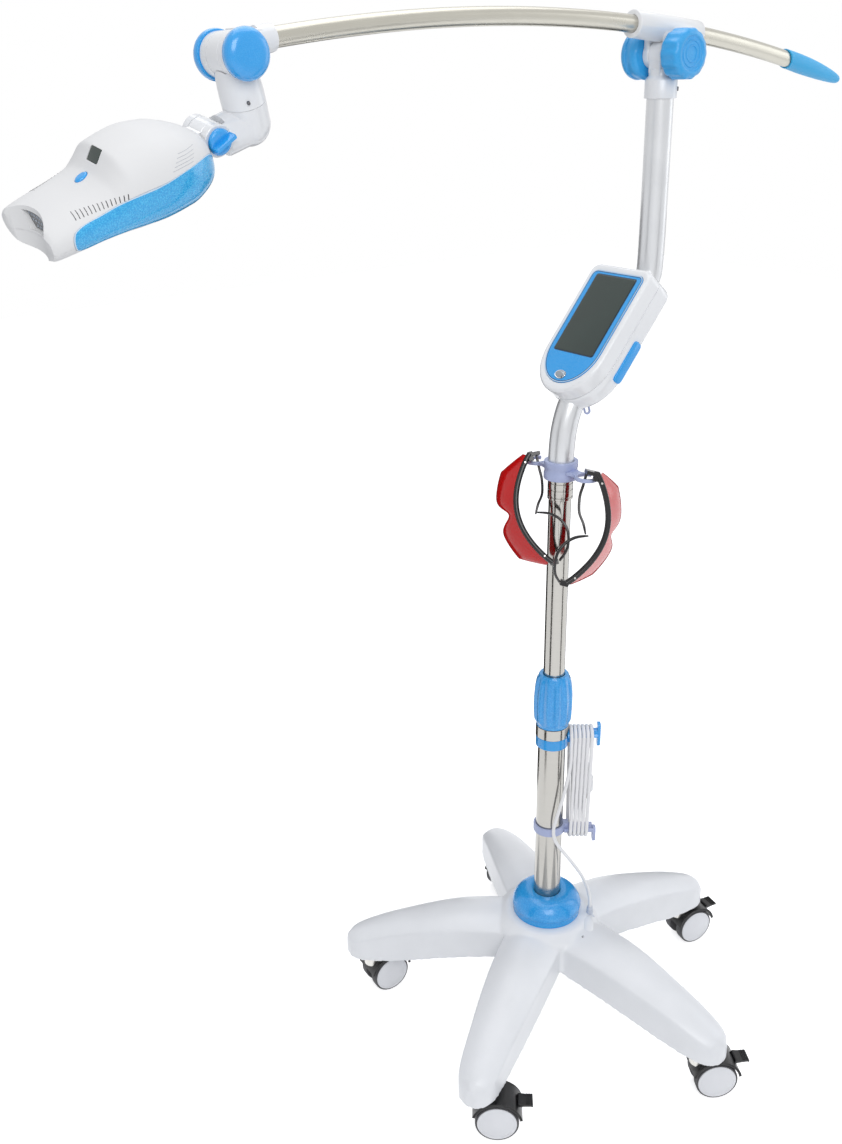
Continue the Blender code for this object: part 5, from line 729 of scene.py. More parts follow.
pedal_outline += [
    (0.006, -0.0017),
    (0.015, -0.0013),
    (0.0176, -0.0022),
    (0.018, -0.0012),
    (0.0178, 0.0012),
    (0.0162, 0.0021),
    (0.0152, 0.0012),
    (0.014, 0.0021),
    (0.013, 0.0012),
    (0.0118, 0.0021),
    (0.0108, 0.0012),
    (0.0096, 0.0021),
    (0.0086, 0.0013),
    (0.005, 0.0017),
]
pedal_mesh = extruded("brake_pedal", pedal_outline, -0.0098, 0.0098)

hood_black = moulded(
    "hood_black", (0.006, 0.006, 0.007), 0.3, grain=3000.0, grain_depth=0.18, cloudiness=0.15
)
tread_grey = moulded(
    "tread_grey", (0.06, 0.06, 0.064), 0.62, grain=1500.0, grain_depth=0.35, cloudiness=0.12, marks=0.6
)
cap_white = moulded("cap_white", (0.8, 0.81, 0.84), 0.3, grain=1600.0, grain_depth=0.08, cloudiness=0.02)
stem_steel = moulded(
    "stem_steel", (0.62, 0.61, 0.58), 0.28, grain=1200.0, grain_depth=0.08, cloudiness=0.05, Metallic=1.0
)
face_flip = Matrix.Rotation(math.pi, 4, "X")
treads_mesh = merged("caster_treads", [tread_mesh, (tread_mesh, face_flip), axle_mesh])
caps_mesh = merged("caster_caps", [cap_mesh, (cap_mesh, face_flip)])
flat_step = hood_sweep / 5
flat_distance = hood_outer * math.cos(flat_step / 2) + 0.0029
pedal_reach = flat_distance / math.cos((pedal_angle - hood_start) % flat_step - flat_step / 2)
pedal_hinge = Matrix.Translation(
    (pedal_reach * math.cos(pedal_angle), pedal_reach * math.sin(pedal_angle), 0)
)
for k, heading in enumerate(caster_headings):
    caster = f"caster_{k + 1}"
    hood_body = f"{caster}_hood_body"
    wheel_body = f"{caster}_wheel_body"
    brake_body = f"{caster}_brake_body"
    swivel = lamp_shift @ boss_places[k]
    swivel = Matrix.Translation(swivel.translation) @ Matrix.Rotation(math.radians(heading), 4, "Z")
    axle = swivel @ placed((caster_trail, 0, wheel_radius), (0, -1, 0), (0, 0, 1))
    pedal = axle @ pedal_hinge
    piece(
        f"{caster}_hood_plate", hood_mesh, axle, hood_black, hood_body,
        [f"{caster}_hood"], 0.0005,
    )
    piece(f"{caster}_stem", stem_mesh, swivel, stem_steel, hood_body)
    piece(f"{caster}_treads", treads_mesh, axle, tread_grey, wheel_body, [f"{caster}_wheels"])
    piece(f"{caster}_hub_caps", caps_mesh, axle, cap_white, wheel_body)
    piece(
        f"{caster}_pedal", pedal_mesh, pedal, hood_black, brake_body,
        [f"{caster}_brake"], 0.0003,
    )

# Hub dome
# A round blue cap, moulded with a stippled skin, that slides down the column and hides the
# socket where the tube enters the base. A step near its foot sits on the white hub.
speckle_tree, speckle_in, speckle_out = group_of(
    "stippled_colour",
    [
        ("Vector", "NodeSocketVector", (0, 0, 0)),
        ("Colour", "NodeSocketColor", (0.1, 0.4, 0.8, 1)),
        ("Fleck colour", "NodeSocketColor", (0.2, 0.6, 0.9, 1)),
        ("Flecks per metre", "NodeSocketFloat", 700.0),
        ("Fleck amount", "NodeSocketFloat", 0.6),
    ],
    [("Colour", "NodeSocketColor"), ("Height", "NodeSocketFloat")],
)
flecks_each_metre = speckle_in.outputs["Flecks per metre"]
fleck_field = noise(speckle_tree, speckle_in.outputs["Vector"], flecks_each_metre, 2.0, 0.6)
fleck_cut = ranged(speckle_tree, fleck_field, 0.46, 0.6)
fleck_share = arithmetic(speckle_tree, "MULTIPLY", fleck_cut, speckle_in.outputs["Fleck amount"])
fleck_colours = [(6, speckle_in.outputs["Colour"]), (7, speckle_in.outputs["Fleck colour"])]
fleck_mix = wired(speckle_tree, "ShaderNodeMix", [("Factor", fleck_share), *fleck_colours], data_type="RGBA")
speckle_tree.links.new(fleck_mix.outputs[2], speckle_out.inputs["Colour"])
speckle_tree.links.new(fleck_cut, speckle_out.inputs["Height"])


def stippled(name, colour, fleck, roughness, flecks=620.0, amount=0.6, depth=0.25, **constants):
    """A moulded material whose colour and skin are stippled."""
    made = moulded(name, colour, roughness, grain=flecks, grain_depth=depth, cloudiness=0.03, **constants)
    tree = made.node_tree
    skin = next(node for node in tree.nodes if node.type == "GROUP")
    place = next(node for node in tree.nodes if node.type == "TEX_COORD")
    speckle = tree.nodes.new("ShaderNodeGroup")
    speckle.node_tree = speckle_tree
    tree.links.new(place.outputs["Object"], speckle.inputs["Vector"])
    speckle.inputs["Colour"].default_value = (*colour, 1)
    speckle.inputs["Fleck colour"].default_value = (*fleck, 1)
    speckle.inputs["Flecks per metre"].default_value = flecks
    speckle.inputs["Fleck amount"].default_value = amount
    tree.links.new(speckle.outputs["Colour"], skin.inputs["Colour"])
    bump = next(node for node in tree.nodes if node.type == "BUMP")
    tree.links.new(speckle.outputs["Height"], bump.inputs["Height"])
    return made


sky = (0.014, 0.335, 0.8)
dome_profile = [
    (0.0194, 0.2057), (0.0215, 0.2068), (0.03, 0.2064), (0.037, 0.2043), (0.042, 0.2006),
    (0.0455, 0.1965), (0.0478, 0.1925),
]
dome_profile += [
    (0.0493, 0.189), (0.0499, 0.186), (0.0499, 0.1835), (0.0493, 0.1822), (0.0485, 0.1815),
    (0.0485, 0.1723), (0.02, 0.1723),
]
stippled_sky = stippled(
    "stippled_sky", (0.01, 0.31, 0.78), (0.05, 0.46, 0.9), 0.2, Coat_Weight=0.5, Coat_Roughness=0.08
)
dome_cap_mesh = lathe("dome_cap", dome_profile, 96)
piece("dome_cap", dome_cap_mesh, lamp_shift, stippled_sky, "base", ["hub_dome"])

# Column tubes
# Polished stainless tubes with their grinding marks running round them. The lower one is
# clamped in the base. The slimmer one slides in it and wears two turned bands at its top.
steel_tree, steel_in, steel_out = group_of(
    "polished_tube",
    [
        ("Vector", "NodeSocketVector", (0, 0, 0)),
        ("Colour", "NodeSocketColor", (0.6, 0.6, 0.58, 1)),
        ("Polishing lines per metre", "NodeSocketFloat", 1800.0),
        ("Roughness", "NodeSocketFloat", 0.15),
    ],
    [("Colour", "NodeSocketColor"), ("Roughness", "NodeSocketFloat"), ("Height", "NodeSocketFloat")],
)
steel_place = steel_in.outputs["Vector"]
line_stretch = wired(steel_tree, "ShaderNodeMapping", [("Vector", steel_place), ("Scale", (0.02, 0.02, 1.0))])
lines_each_metre = steel_in.outputs["Polishing lines per metre"]
steel_lines = noise(steel_tree, line_stretch.outputs[0], lines_each_metre, 3.0)
steel_shade = ranged(steel_tree, steel_lines, 0.0, 1.0, 0.94, 1.05)
steel_tint = [("Value", steel_shade), ("Color", steel_in.outputs["Colour"])]
steel_colour = wired(steel_tree, "ShaderNodeHueSaturation", steel_tint)
steel_smear = noise(steel_tree, steel_place, 35.0, 4.0)
steel_rough = arithmetic(steel_tree, "MULTIPLY_ADD", steel_smear, 0.14, steel_in.outputs["Roughness"])
steel_tree.links.new(steel_colour.outputs[0], steel_out.inputs["Colour"])
steel_tree.links.new(steel_rough, steel_out.inputs["Roughness"])
steel_tree.links.new(steel_lines, steel_out.inputs["Height"])


def polished(name, colour, roughness, lines=1800.0, depth=0.03):
    """A metal with the fine lines of its polishing."""
    values = {"Colour": (*colour, 1), "Roughness": roughness, "Polishing lines per metre": lines}
    return grained(name, steel_tree, values, depth, 0.0003, {"Metallic": 1.0})


column_steel = polished("column_steel", (0.42, 0.41, 0.385), 0.09)
lower_tube_profile = [(0.0175, 0.482), (0.0187, 0.482), (0.019, 0.4817), (0.019, 0.0803), (0.0175, 0.0803)]
lower_column_mesh = lathe("lower_column", lower_tube_profile, 96)
piece("lower_column", lower_column_mesh, lamp_shift, column_steel, "base", ["lower_tube"])
bush_profile = [
    (0.0147, 0.522), (0.0201, 0.522), (0.0203, 0.5218), (0.0203, 0.4838), (0.0224, 0.4838),
    (0.0227, 0.4835), (0.0227, 0.4683), (0.0224, 0.468), (0.0193, 0.468),
]
column_bush_mesh = lathe("column_bush", bush_profile, 96)
piece("column_bush", column_bush_mesh, lamp_shift, column_steel, "base", ["guide_bush"])
upper_tube_profile = [
    (0.0128, 0.868), (0.0141, 0.868), (0.0141, 0.8377), (0.016, 0.8377), (0.016, 0.8352),
    (0.0153, 0.8348), (0.0153, 0.8336), (0.016, 0.8332),
]
upper_tube_profile += [
    (0.016, 0.8265), (0.0153, 0.8261), (0.0153, 0.8249), (0.016, 0.8245), (0.016, 0.817),
    (0.0153, 0.8166), (0.0153, 0.8154), (0.016, 0.815),
]
upper_tube_profile += [
    (0.016, 0.8123), (0.0157, 0.812), (0.0143, 0.812), (0.0143, 0.29), (0.0171, 0.29),
    (0.0171, 0.26), (0.0128, 0.26),
]
upper_column_mesh = lathe("upper_column", upper_tube_profile, 96)
piece("upper_column", upper_column_mesh, lamp_shift, column_steel, "mast", ["inner_tube"])

# Twist collar
# The blue clamp sleeve of the telescoping column. It is moulded with wide shallow flutes for
# the hand, turns on the steel bush, and grips the slimmer tube when it is tightened.
collar_rows = (
    (0.015, 0.562, 0),
    (0.0192, 0.562, 0),
    (0.02, 0.5612, 0),
    (0.0206, 0.559, 0.1),
    (0.0222, 0.556, 0.4),
    (0.0234, 0.553, 0.8),
    (0.0244, 0.549, 1),
    (0.0254, 0.543, 1),
    (0.0262, 0.536, 1),
    (0.0267, 0.528, 1),
    (0.0268, 0.52, 1),
    (0.0267, 0.512, 1),
    (0.0264, 0.504, 1),
    (0.026, 0.498, 1),
    (0.0254, 0.494, 0.8),
    (0.024, 0.491, 0.3),
    (0.0228, 0.489, 0),
    (0.0222, 0.4875, 0),
    (0.0222, 0.4846, 0),
    (0.0218, 0.4841, 0),
    (0.0207, 0.4841, 0),
)
glossy_sky = moulded(
    "glossy_sky", sky, 0.24, grain=1400.0, grain_depth=0.1, cloudiness=0.04, marks=0.35,
    Coat_Weight=0.35, Coat_Roughness=0.12,
)
collar_sleeve_mesh = lathe("collar_sleeve", collar_rows, 144, 12, 0.0024)
piece(
    "collar_sleeve", collar_sleeve_mesh, lamp_shift, stippled_sky, "twist_collar_body",
    ["twist_collar"],
)

# Cord hooks
# Two nylon clips on the lower tube, a blue one above and a lavender one below. Each is a
# ring with an arm, a saddle for the folds of the lead and an upright end plate.
saddle_radius = 0.01185
saddle_wall = 0.0046
hook_reach = hank_start + hank_pitch * hank_loops + cord_width / 2 + 0.0003


def slab(name, low, high):
    """A block between two opposite corners."""
    corners = ((low[0], low[1]), (high[0], low[1]), (high[0], high[1]), (low[0], high[1]))
    return skinned(name, [[(x, y, z) for x, y in corners] for z in (low[2], high[2])])


def rounded_outline(half, low, high, corner, count=7, first=0.0):
    """A rectangle with round corners. The first angle of each corner may lie a little inside it."""
    points = []
    step = (90 - 2 * first) / (count - 1)
    top = high - corner
    foot = low + corner
    for side, level, start in ((1, top, 0), (-1, top, 90), (-1, foot, 180), (1, foot, 270)):
        for i in range(count):
            a = math.radians(start + first + step * i)
            points.append((side * (half - corner) + corner * math.cos(a), level + corner * math.sin(a)))
    return points


def saddle_section(x, rise):
    """An arc with a thickness below it, slightly dished towards its ends."""
    turns = [math.pi * (0.1 + 0.8 * i / 16) for i in range(17)]
    outer = [(x, (saddle_radius + rise) * math.cos(a), (saddle_radius + rise) * math.sin(a)) for a in turns]
    low = saddle_radius - saddle_wall
    return outer + [(x, low * math.cos(a), low * math.sin(a)) for a in reversed(turns)]


def hook_clip(name, bottom, top, level, lip_low, lip_high, upright, finish, slot, stands_for):
    ring_profile = [(0.0193, top), (0.0216, top), (0.0222, top - 0.0006)]
    ring_profile += [(0.0222, bottom + 0.0006), (0.0216, bottom), (0.0193, bottom), (0.0193, top)]
    ring = lathe("hook_ring", ring_profile, 80)
    turn = Matrix.Translation((0, 0, level)) @ (Matrix() if upright else face_flip)
    stations = [(0.0208, 0), (0.025, 0), (0.029, -0.0004), (0.045, -0.0006)]
    stations += [(hook_reach - 0.001, -0.0002), (hook_reach + 0.0003, 0)]
    saddle = skinned("hook_saddle", [saddle_section(x, rise) for x, rise in stations])
    web = slab("hook_web", (0.0208, -0.0055, -0.0058), (0.0268, 0.0055, 0.0088))
    outline = rounded_outline(0.006, lip_low, lip_high, 0.004, 5, 9)
    middle = (lip_low + lip_high) / 2
    lip_rings = []
    for x, size in ((0, 1), (0.0036, 1), (0.0045, 0.84)):
        tall = 1 - (1 - size) * 0.4
        lip_rings.append([(hook_reach + x, y * size, middle + (z - middle) * tall) for y, z in outline])
    lip = skinned("hook_lip", lip_rings)
    mesh = merged(name, [ring, (saddle, turn), (web, turn), lip])
    piece(name, mesh, hook_place, finish, "base", [stands_for], 0.0006)


lavender = moulded("lavender_nylon", (0.42, 0.475, 0.7), 0.36, grain=1800.0, grain_depth=0.1, cloudiness=0.05)
upper_levels = (0.452, 0.4677, 0.4625, 0.449, 0.484)
lower_levels = (0.311, 0.323, 0.3175, 0.291, 0.3145)
hook_clip("upper_hook_clip", *upper_levels, True, glossy_sky, "blue_plastic", "cord_hook_upper")
hook_clip("lower_hook_clip", *lower_levels, False, lavender, "lavender_plastic", "cord_hook_lower")

# Lead saddle on the base
# A pale moulded strain relief. It is a soft tapered sleeve on a leaf-shaped foot that follows
# the valley between two arms, and two small dark screws hold the foot down. The sleeve's lavender
# grey is partly its own grey and partly painted shade of the hub wall beside it.
inlet_place = hook_place @ Matrix.Translation((cord_rise[0][0], cord_rise[0][1], 0))
sleeve_profile = [(0.0026, 0.1809), (0.0037, 0.1809), (0.004, 0.18)]
for rib in range(3):
    top = 0.1785 - rib * 0.0036
    wide = 0.0044 + rib * 0.0003
    narrow = 0.0037 + rib * 0.0003
    sleeve_profile += [(wide, top), (wide, top - 0.002), (narrow, top - 0.0022), (narrow, top - 0.0034)]
sleeve_profile += [
    (0.0052, 0.1655), (0.0079, 0.1622), (0.008, 0.1574), (0.0045, 0.1574), (0.0045, 0.1397), (0, 0.1397)
]
# Partly painted shade: the sleeve's lavender grey also stands for the shadow on the hub wall there.
sleeve_grey_and_shade = moulded("sleeve_grey_and_shade", (0.6, 0.64, 0.72), 0.36, grain=1500.0, grain_depth=0.08)
lead_sleeve_mesh = lathe("lead_sleeve", sleeve_profile, 40)
piece("lead_sleeve", lead_sleeve_mesh, inlet_place, sleeve_grey_and_shade, "base", ["cord_inlet"])
leaf_knots = [
    (0.04, -0.048, 0.1665),
    (0.032, -0.055, 0.1686),
    (0.0235, -0.064, 0.1676),
    (0.016, -0.0725, 0.165),
    (0.012, -0.0775, 0.1636),
]
leaf_line = smooth_run(leaf_knots, 0.0012)
leaf_radii = []
for i in range(len(leaf_line)):
    share = i / (len(leaf_line) - 1)
    leaf_radii.append(0.0015 + 0.0062 * math.sin(math.pi * (0.12 + 0.86 * share)) ** 0.7)
leaf_across = Vector((0.64, 0.77, 0)).cross(Vector((0, 0, 1)))
saddle_leaf_mesh = swept("saddle_leaf", leaf_line, leaf_radii, 28, 0.34, leaf_across)
piece("saddle_leaf", saddle_leaf_mesh, lamp_shift, base_white, "base")
saddle_screw = lathe(
    "saddle_screw",
    [
        (0, 0.0008), (0.0008, 0.0009), (0.001, 0.0016), (0.0018, 0.0015), (0.0023, 0.0008),
        (0.0024, -0.002), (0, -0.002),
    ],
    24,
)
saddle_metal = polished("saddle_metal", (0.1, 0.1, 0.1), 0.35, lines=1200.0, depth=0.05)
for number, spot in ((1, (0.002, -0.0751, 0.1644)), (2, (0.0132, -0.088, 0.1637))):
    screw_place = lamp_shift @ placed(spot, (-0.1, -0.15, 1), (0, 1, 0))
    piece(f"saddle_screw_{number}", saddle_screw, screw_place, saddle_metal, "base")

# Mast
# A steel tube bent into a shallow S, so that it clears the box, then rises to the T joint. It
# is sprayed in a fine silver pearl and slips over the upper end of the polished tube.
mast_line = (
    (0.0, 0.838),
    (0.0, 0.874),
    (0.004, 0.905),
    (0.015, 0.933),
    (0.037, 0.957),
    (0.068, 0.983),
    (0.099, 1.009),
    (0.123, 1.037),
    (0.1365, 1.067),
    (0.1414, 1.105),
    (0.1414, 1.294),
)
mast_radius = 0.016
mast_run = smooth_run([(x, 0, z) for x, z in mast_line], 0.006)
silver_pearl = stippled(
    "silver_pearl", (0.66, 0.67, 0.685), (0.74, 0.75, 0.76), 0.3, flecks=3000.0, amount=0.3,
    depth=0.012, Metallic=0.5, Coat_Weight=0.4, Coat_Roughness=0.12,
)
mast_bend_mesh = swept("mast_bend", mast_run, mast_radius, 64)
piece("mast_bend", mast_bend_mesh, lamp_shift, silver_pearl, "mast", ["mast_tube"])

# Goggle holder
# A lavender nylon clip that is pushed on the foot of the mast. It has an open ring on each
# side, and the folded temples of the goggles hang through the rings.
holder_profile = [
    (0.0164, 0.862), (0.0207, 0.862), (0.0213, 0.8614), (0.0213, 0.854), (0.0206, 0.8528),
    (0.0206, 0.8478), (0.0213, 0.8466),
]
holder_profile += [(0.0213, 0.8391), (0.0207, 0.8385), (0.0164, 0.8385), (0.0164, 0.862)]
ring_middle = 0.01325
ring_offset = 0.0455
ring_level = 0.85
ring_mouth = math.radians(20)


def squared_off(value, power):
    """A cosine or sine made flatter or rounder, with its sign kept."""
    return math.copysign(abs(value) ** power, value)


def soft_square(steps, power):
    """Points round a circle that is squared off by the power."""
    turns = [2 * math.pi * k / steps for k in range(steps)]
    return [(squared_off(math.cos(t), power), squared_off(math.sin(t), power)) for t in turns]


holder_parts = [lathe("holder_band", holder_profile, 80)]
for side in (1, -1):
    rings = []
    for i in range(49):
        a = ring_mouth + (2 * math.pi - 2 * ring_mouth) * i / 48
        out = Vector((math.cos(a), math.sin(a), 0))
        spot = Vector((0, side * ring_offset, ring_level)) + out * ring_middle
        rings.append([spot + out * 0.00175 * c + Vector((0, 0, 0.0025 * s)) for c, s in soft_square(16, 0.6)])
    neck = []
    for y, w in ((0.0195, 0.01), (0.024, 0.0078), (0.029, 0.0074), (0.0322, 0.0086)):
        corners = ((-w, -0.0021), (w, -0.0021), (w, 0.0021), (-w, 0.0021))
        neck.append([(x, side * y, ring_level + z) for x, z in corners])
    holder_parts += [skinned("holder_ring", rings), skinned("holder_neck", neck)]
clip_mesh = merged("goggle_clip", holder_parts)
piece("goggle_clip", clip_mesh, lamp_shift, lavender, "mast", ["goggle_holder"], 0.0005)

# Goggles
# Two pairs of patient goggles in tinted red acrylic, moulded with side shields and a nose
# notch, on a black nylon brow bar. Their black temples are folded and hang through the clip.
goggle_width = 0.14
goggle_bulge = 0.031
brow_depth = 0.007
brow_height = 0.0095
half_brow = brow_height / 2
bridge_low = (-0.0125, -0.0195, -0.0038)
bridge_high = (brow_depth / 2, half_brow - 0.0006, 0.001)
lens_height = 0.042
lens_flare = 0.021
lens_skin = 0.0018
upper_temple_line = (
    (-0.0095, -0.0165, -0.0043),
    (-0.0095, -0.0165, -0.02),
    (-0.0098, -0.016, -0.034),
    (-0.006, -0.012, -0.052),
    (0.002, -0.008, -0.064),
    (0.008, -0.006, -0.076),
)
lower_temple_line = (
    (-0.0098, 0.002, -0.1385),
    (-0.0175, 0.012, -0.13),
    (-0.0225, 0.02, -0.118),
    (-0.0235, 0.022, -0.102),
    (-0.017, 0.02, -0.088),
    (-0.006, 0.016, -0.079),
    (0.008, 0.012, -0.0745),
)
hang_across = Vector((math.cos(hook_turn), math.sin(hook_turn), 0))
hang_toward = Vector((math.sin(hook_turn), -math.cos(hook_turn), 0))
hang_bearing = math.radians(60)
hang_reach = 0.0197


def goggle_place(side, inward, forward):
    """Where a pair hangs, with its bridge on the ring of the clip."""
    out = hang_across * -side
    down = math.sqrt(1 - inward**2 - forward**2)
    along = out * -inward + hang_toward * forward - Vector((0, 0, down))
    beside = (out * math.cos(hang_bearing) + hang_toward * math.sin(hang_bearing)) * hang_reach
    out = (out - along * out.dot(along)).normalized()
    up = out.cross(along)
    if up.dot(hang_toward) < 0:
        up = -up
    turn = Matrix((out, up, -along)).transposed()
    xs, ys, zs = zip(bridge_low, bridge_high)
    lowest = min((turn @ Vector((x, y, z))).z for x in xs for y in ys for z in zs)
    hinge = Vector((0, side * ring_offset, ring_level + 0.0028 - lowest)) + beside
    return lamp_shift @ Matrix.Translation(hinge) @ turn.to_4x4()


def brow_spot(share):
    return Vector(
        (goggle_bulge * math.sin(math.pi * min(max(share, 0), 1)) ** 0.85, 0, -goggle_width * share)
    )


def brow_side(share):
    along = brow_spot(min(share + 0.02, 1)) - brow_spot(max(share - 0.02, 0))
    return along.normalized().cross(Vector((0, 1, 0)))


def brow_mesh():
    rings = []
    for i in range(45):
        spot = brow_spot(i / 44)
        out = -brow_side(i / 44) * brow_depth / 2
        rings.append([spot + out * c + Vector((0, half_brow * s, 0)) for c, s in soft_square(20, 0.75)])
    return skinned("goggle_brow", rings)


def lens_mesh():
    """Two lenses with side shields and the nose notch, as one curved sheet with a thickness."""
    rings = []
    for i in range(65):
        share = 0.02 + 0.96 * i / 64
        out = brow_side(share)
        notch = math.exp(-(((share - 0.5) / 0.07) ** 2))
        ends = min(1, min(share, 1 - share) / 0.2 + 0.15)
        fullness = (1 - 0.62 * notch) * ends
        outer = []
        inner = []
        for k in range(13):
            t = k / 12
            spot = brow_spot(share) + out * lens_flare * fullness * math.sin(t * math.pi / 2) ** 1.1
            spot += Vector((0, brow_height * 0.2 * (1 - t) - lens_height * fullness * t, 0))
            outer.append(spot)
            inner.append(spot + out * lens_skin)
        rings.append(outer + inner[::-1])
    return skinned("goggle_lens", rings)


def temple_mesh(line):
    run = smooth_run(line, 0.0028)
    rings = []
    for i, centre in enumerate(run):
        along = (run[min(i + 1, len(run) - 1)] - run[max(i - 1, 0)]).normalized()
        side = along.cross(Vector((0, 1, 0))).normalized()
        rise = side.cross(along).normalized()
        ending = min(1.0, 0.62 + (len(run) - 1 - i) * 0.1)
        side *= 0.0016 * ending
        rise *= 0.00325 * ending
        rings.append([centre + side * c + rise * s for c, s in soft_square(16, 0.6)])
    return skinned("goggle_temple", rings)


red_acrylic = moulded(
    "red_acrylic", (0.62, 0.002, 0.003), 0.14, grain=500.0, grain_depth=0.03, cloudiness=0.05,
    marks=0.4, Transmission_Weight=0.15, IOR=1.42, Specular_IOR_Level=0.35,
)
goggle_black = moulded(
    "goggle_black", (0.004, 0.004, 0.005), 0.22, grain=2600.0, grain_depth=0.12, cloudiness=0.12
)
rivet_metal = polished("rivet_metal", (0.55, 0.54, 0.52), 0.2)
foot_low = (-brow_depth, -half_brow + 0.0006, -goggle_width - brow_depth / 2)
foot_high = (brow_depth / 2, half_brow - 0.0006, -goggle_width + brow_depth / 2)
collar_low = (-brow_depth / 2 + 0.0003, -half_brow + 0.0009, -brow_depth - 0.0025)
collar_high = (brow_depth / 2 - 0.0003, half_brow - 0.0009, 0.0025)
bar_parts = [brow_mesh(), slab("brow_bridge", bridge_low, bridge_high)]
bar_parts += [slab("brow_foot", foot_low, foot_high), slab("brow_collar", collar_low, collar_high)]
bar_mesh = merged("goggle_brow", bar_parts)
lens = lens_mesh()
rivet_profile = [(0, 0.0006), (0.0012, 0.0004), (0.0014, 0), (0.0014, -0.001), (0, -0.001)]
rivet = lathe("brow_rivet", rivet_profile, 20)
temples = (("upper", temple_mesh(upper_temple_line)), ("lower", temple_mesh(lower_temple_line)))
for pair, side, inward, forward in (("goggles_left", 1, 0.19, 0.38), ("goggles_right", -1, 0.26, 0.18)):
    hang = goggle_place(side, inward, forward)
    front_body = f"{pair}_body"
    piece(
        f"{pair}_brow_bar", bar_mesh, hang, goggle_black, front_body,
        [f"{pair}_front"], 0.0006,
    )
    piece(f"{pair}_lens", lens, hang, red_acrylic, front_body)
    for number, share in ((1, 0.07), (2, 0.93)):
        at = hang @ placed(brow_spot(share) + Vector((0, half_brow, 0)), (0, 1, 0), (1, 0, 0))
        piece(f"{pair}_rivet_{number}", rivet, at, rivet_metal, front_body)
    for label, mesh in temples:
        temple = f"{pair}_{label}"
        piece(
            f"{temple}_bar", mesh, hang, goggle_black, f"{temple}_body", [f"{temple}_temple"]
        )

# Control box
# Two glossy white ABS shells with a seam round the middle, screwed together round the mast.
# A blue trim panel with a large dark display and one oval key lies in the front shell.
box_tilt = math.radians(49.64)
box_half = 0.0495
box_forward = (-math.sin(box_tilt), 0, math.cos(box_tilt))
box_upward = (math.cos(box_tilt), 0, math.sin(box_tilt))
box_place = lamp_shift @ placed((0.0491, 0, 1.035), box_forward, box_upward)


def shield(half_width, top, shoulder, foot, corner):
    """Square at the top with round corners, and a half ellipse below the shoulder."""
    bend = [math.radians(9 * i) for i in range(11)]
    bowl = [math.pi + math.pi * i / 40 for i in range(41)]
    drop = top - corner - shoulder
    points = [(half_width - corner + corner * math.cos(a), top - corner + corner * math.sin(a)) for a in bend]
    points += [(-x, y) for x, y in reversed(points)]
    points += [(-half_width, top - corner - drop * t) for t in (0.25, 0.5, 0.75)]
    points += [(half_width * math.cos(a), shoulder + (shoulder - foot) * math.sin(a)) for a in bowl]
    return points + [(half_width, shoulder + drop * t) for t in (0.25, 0.5, 0.75)]


def box_ring(inset, z):
    edge = shield(box_half - inset, 0.07 - inset, -0.05, -0.107 + inset, 0.012 - inset * 0.6)
    return [(x, y, z) for x, y in edge]


def panel_edge(grow):
    return shield(0.042 + grow, 0.06 + grow, -0.048, -0.095 - grow, 0.0084 + grow)


def panel_ring(grow, z):
    return [(x, y, z) for x, y in panel_edge(grow)]


quarter = [math.radians(a) for a in range(0, 91, 15)]
front_rows = [(0.0042 * (1 - math.sin(a)), -0.0042 * (1 - math.cos(a))) for a in quarter]
front_rows += [(0, -0.012), (0, -0.0203), (0.0005, -0.0209), (0.0014, -0.021), (0.0014, -0.0215)]
rear_rows = [(0.0014, -0.0218), (0.0014, -0.0223), (0.0005, -0.0224), (0.0001, -0.023), (0.0002, -0.033)]
rear_rows += [(0.0002 + 0.0075 * (1 - math.cos(a)), -0.04 - 0.009 * math.sin(a)) for a in quarter]
front_rings = [panel_ring(0.0004, -0.003), panel_ring(0.0004, -0.0002), panel_ring(0.0009, 0.0)]
front_rings += [box_ring(inset, z) for inset, z in front_rows]
front_cover = skinned("box_front_cover", front_rings)
rear_cover = skinned("box_rear_cover", [box_ring(inset, z) for inset, z in rear_rows])
gloss_coat = {"Coat_Weight": 0.35, "Coat_Roughness": 0.08}
gloss_white = moulded("gloss_white", (0.84, 0.85, 0.865), 0.2, 1500.0, 0.05, 0.015, 0.25, **gloss_coat)
front_nodes = ["box_front_shell", "box_main_board"]
piece("box_front_cover", front_cover, box_place, gloss_white, "mast", front_nodes)


def slide_outline(half_width, low, high, first=0.0):
    """A long narrow outline with blunt round ends."""
    points = []
    for i in range(24):
        a = math.radians(15 * i + first)
        level = high if math.sin(a) > 0 else low
        points.append((half_width * squared_off(math.cos(a), 0.5), level + half_width * math.sin(a)))
    return points


# The rounded track of the slide is cut in the far side wall.
track_space = extruded("track_space", slide_outline(0.0072, -0.062, 0.06), -0.003, 0.006)
track_place = placed((-box_half, 0, -0.038), (-1, 0, 0), (0, 1, 0))
rear_cover = without(rear_cover, [(track_space, track_place)])
piece("box_rear_cover", rear_cover, box_place, gloss_white, "mast", ["box_rear_shell"])

# The trim panels are stippled blue, with a thin pale line inside a dark edge line. The pale line
# is a painted highlight along the rounded rim of the panel.
box_blue = stippled("box_blue", sky, (0.16, 0.5, 0.88), 0.3, flecks=900.0, amount=0.35, depth=0.12)
# Painted highlight: this pale blue stands for the light caught on the panel's rounded edge.
panel_painted_highlight = moulded("panel_painted_highlight", (0.5, 0.66, 0.8), 0.3)
panel_navy = moulded("panel_navy", (0.012, 0.06, 0.2), 0.3)


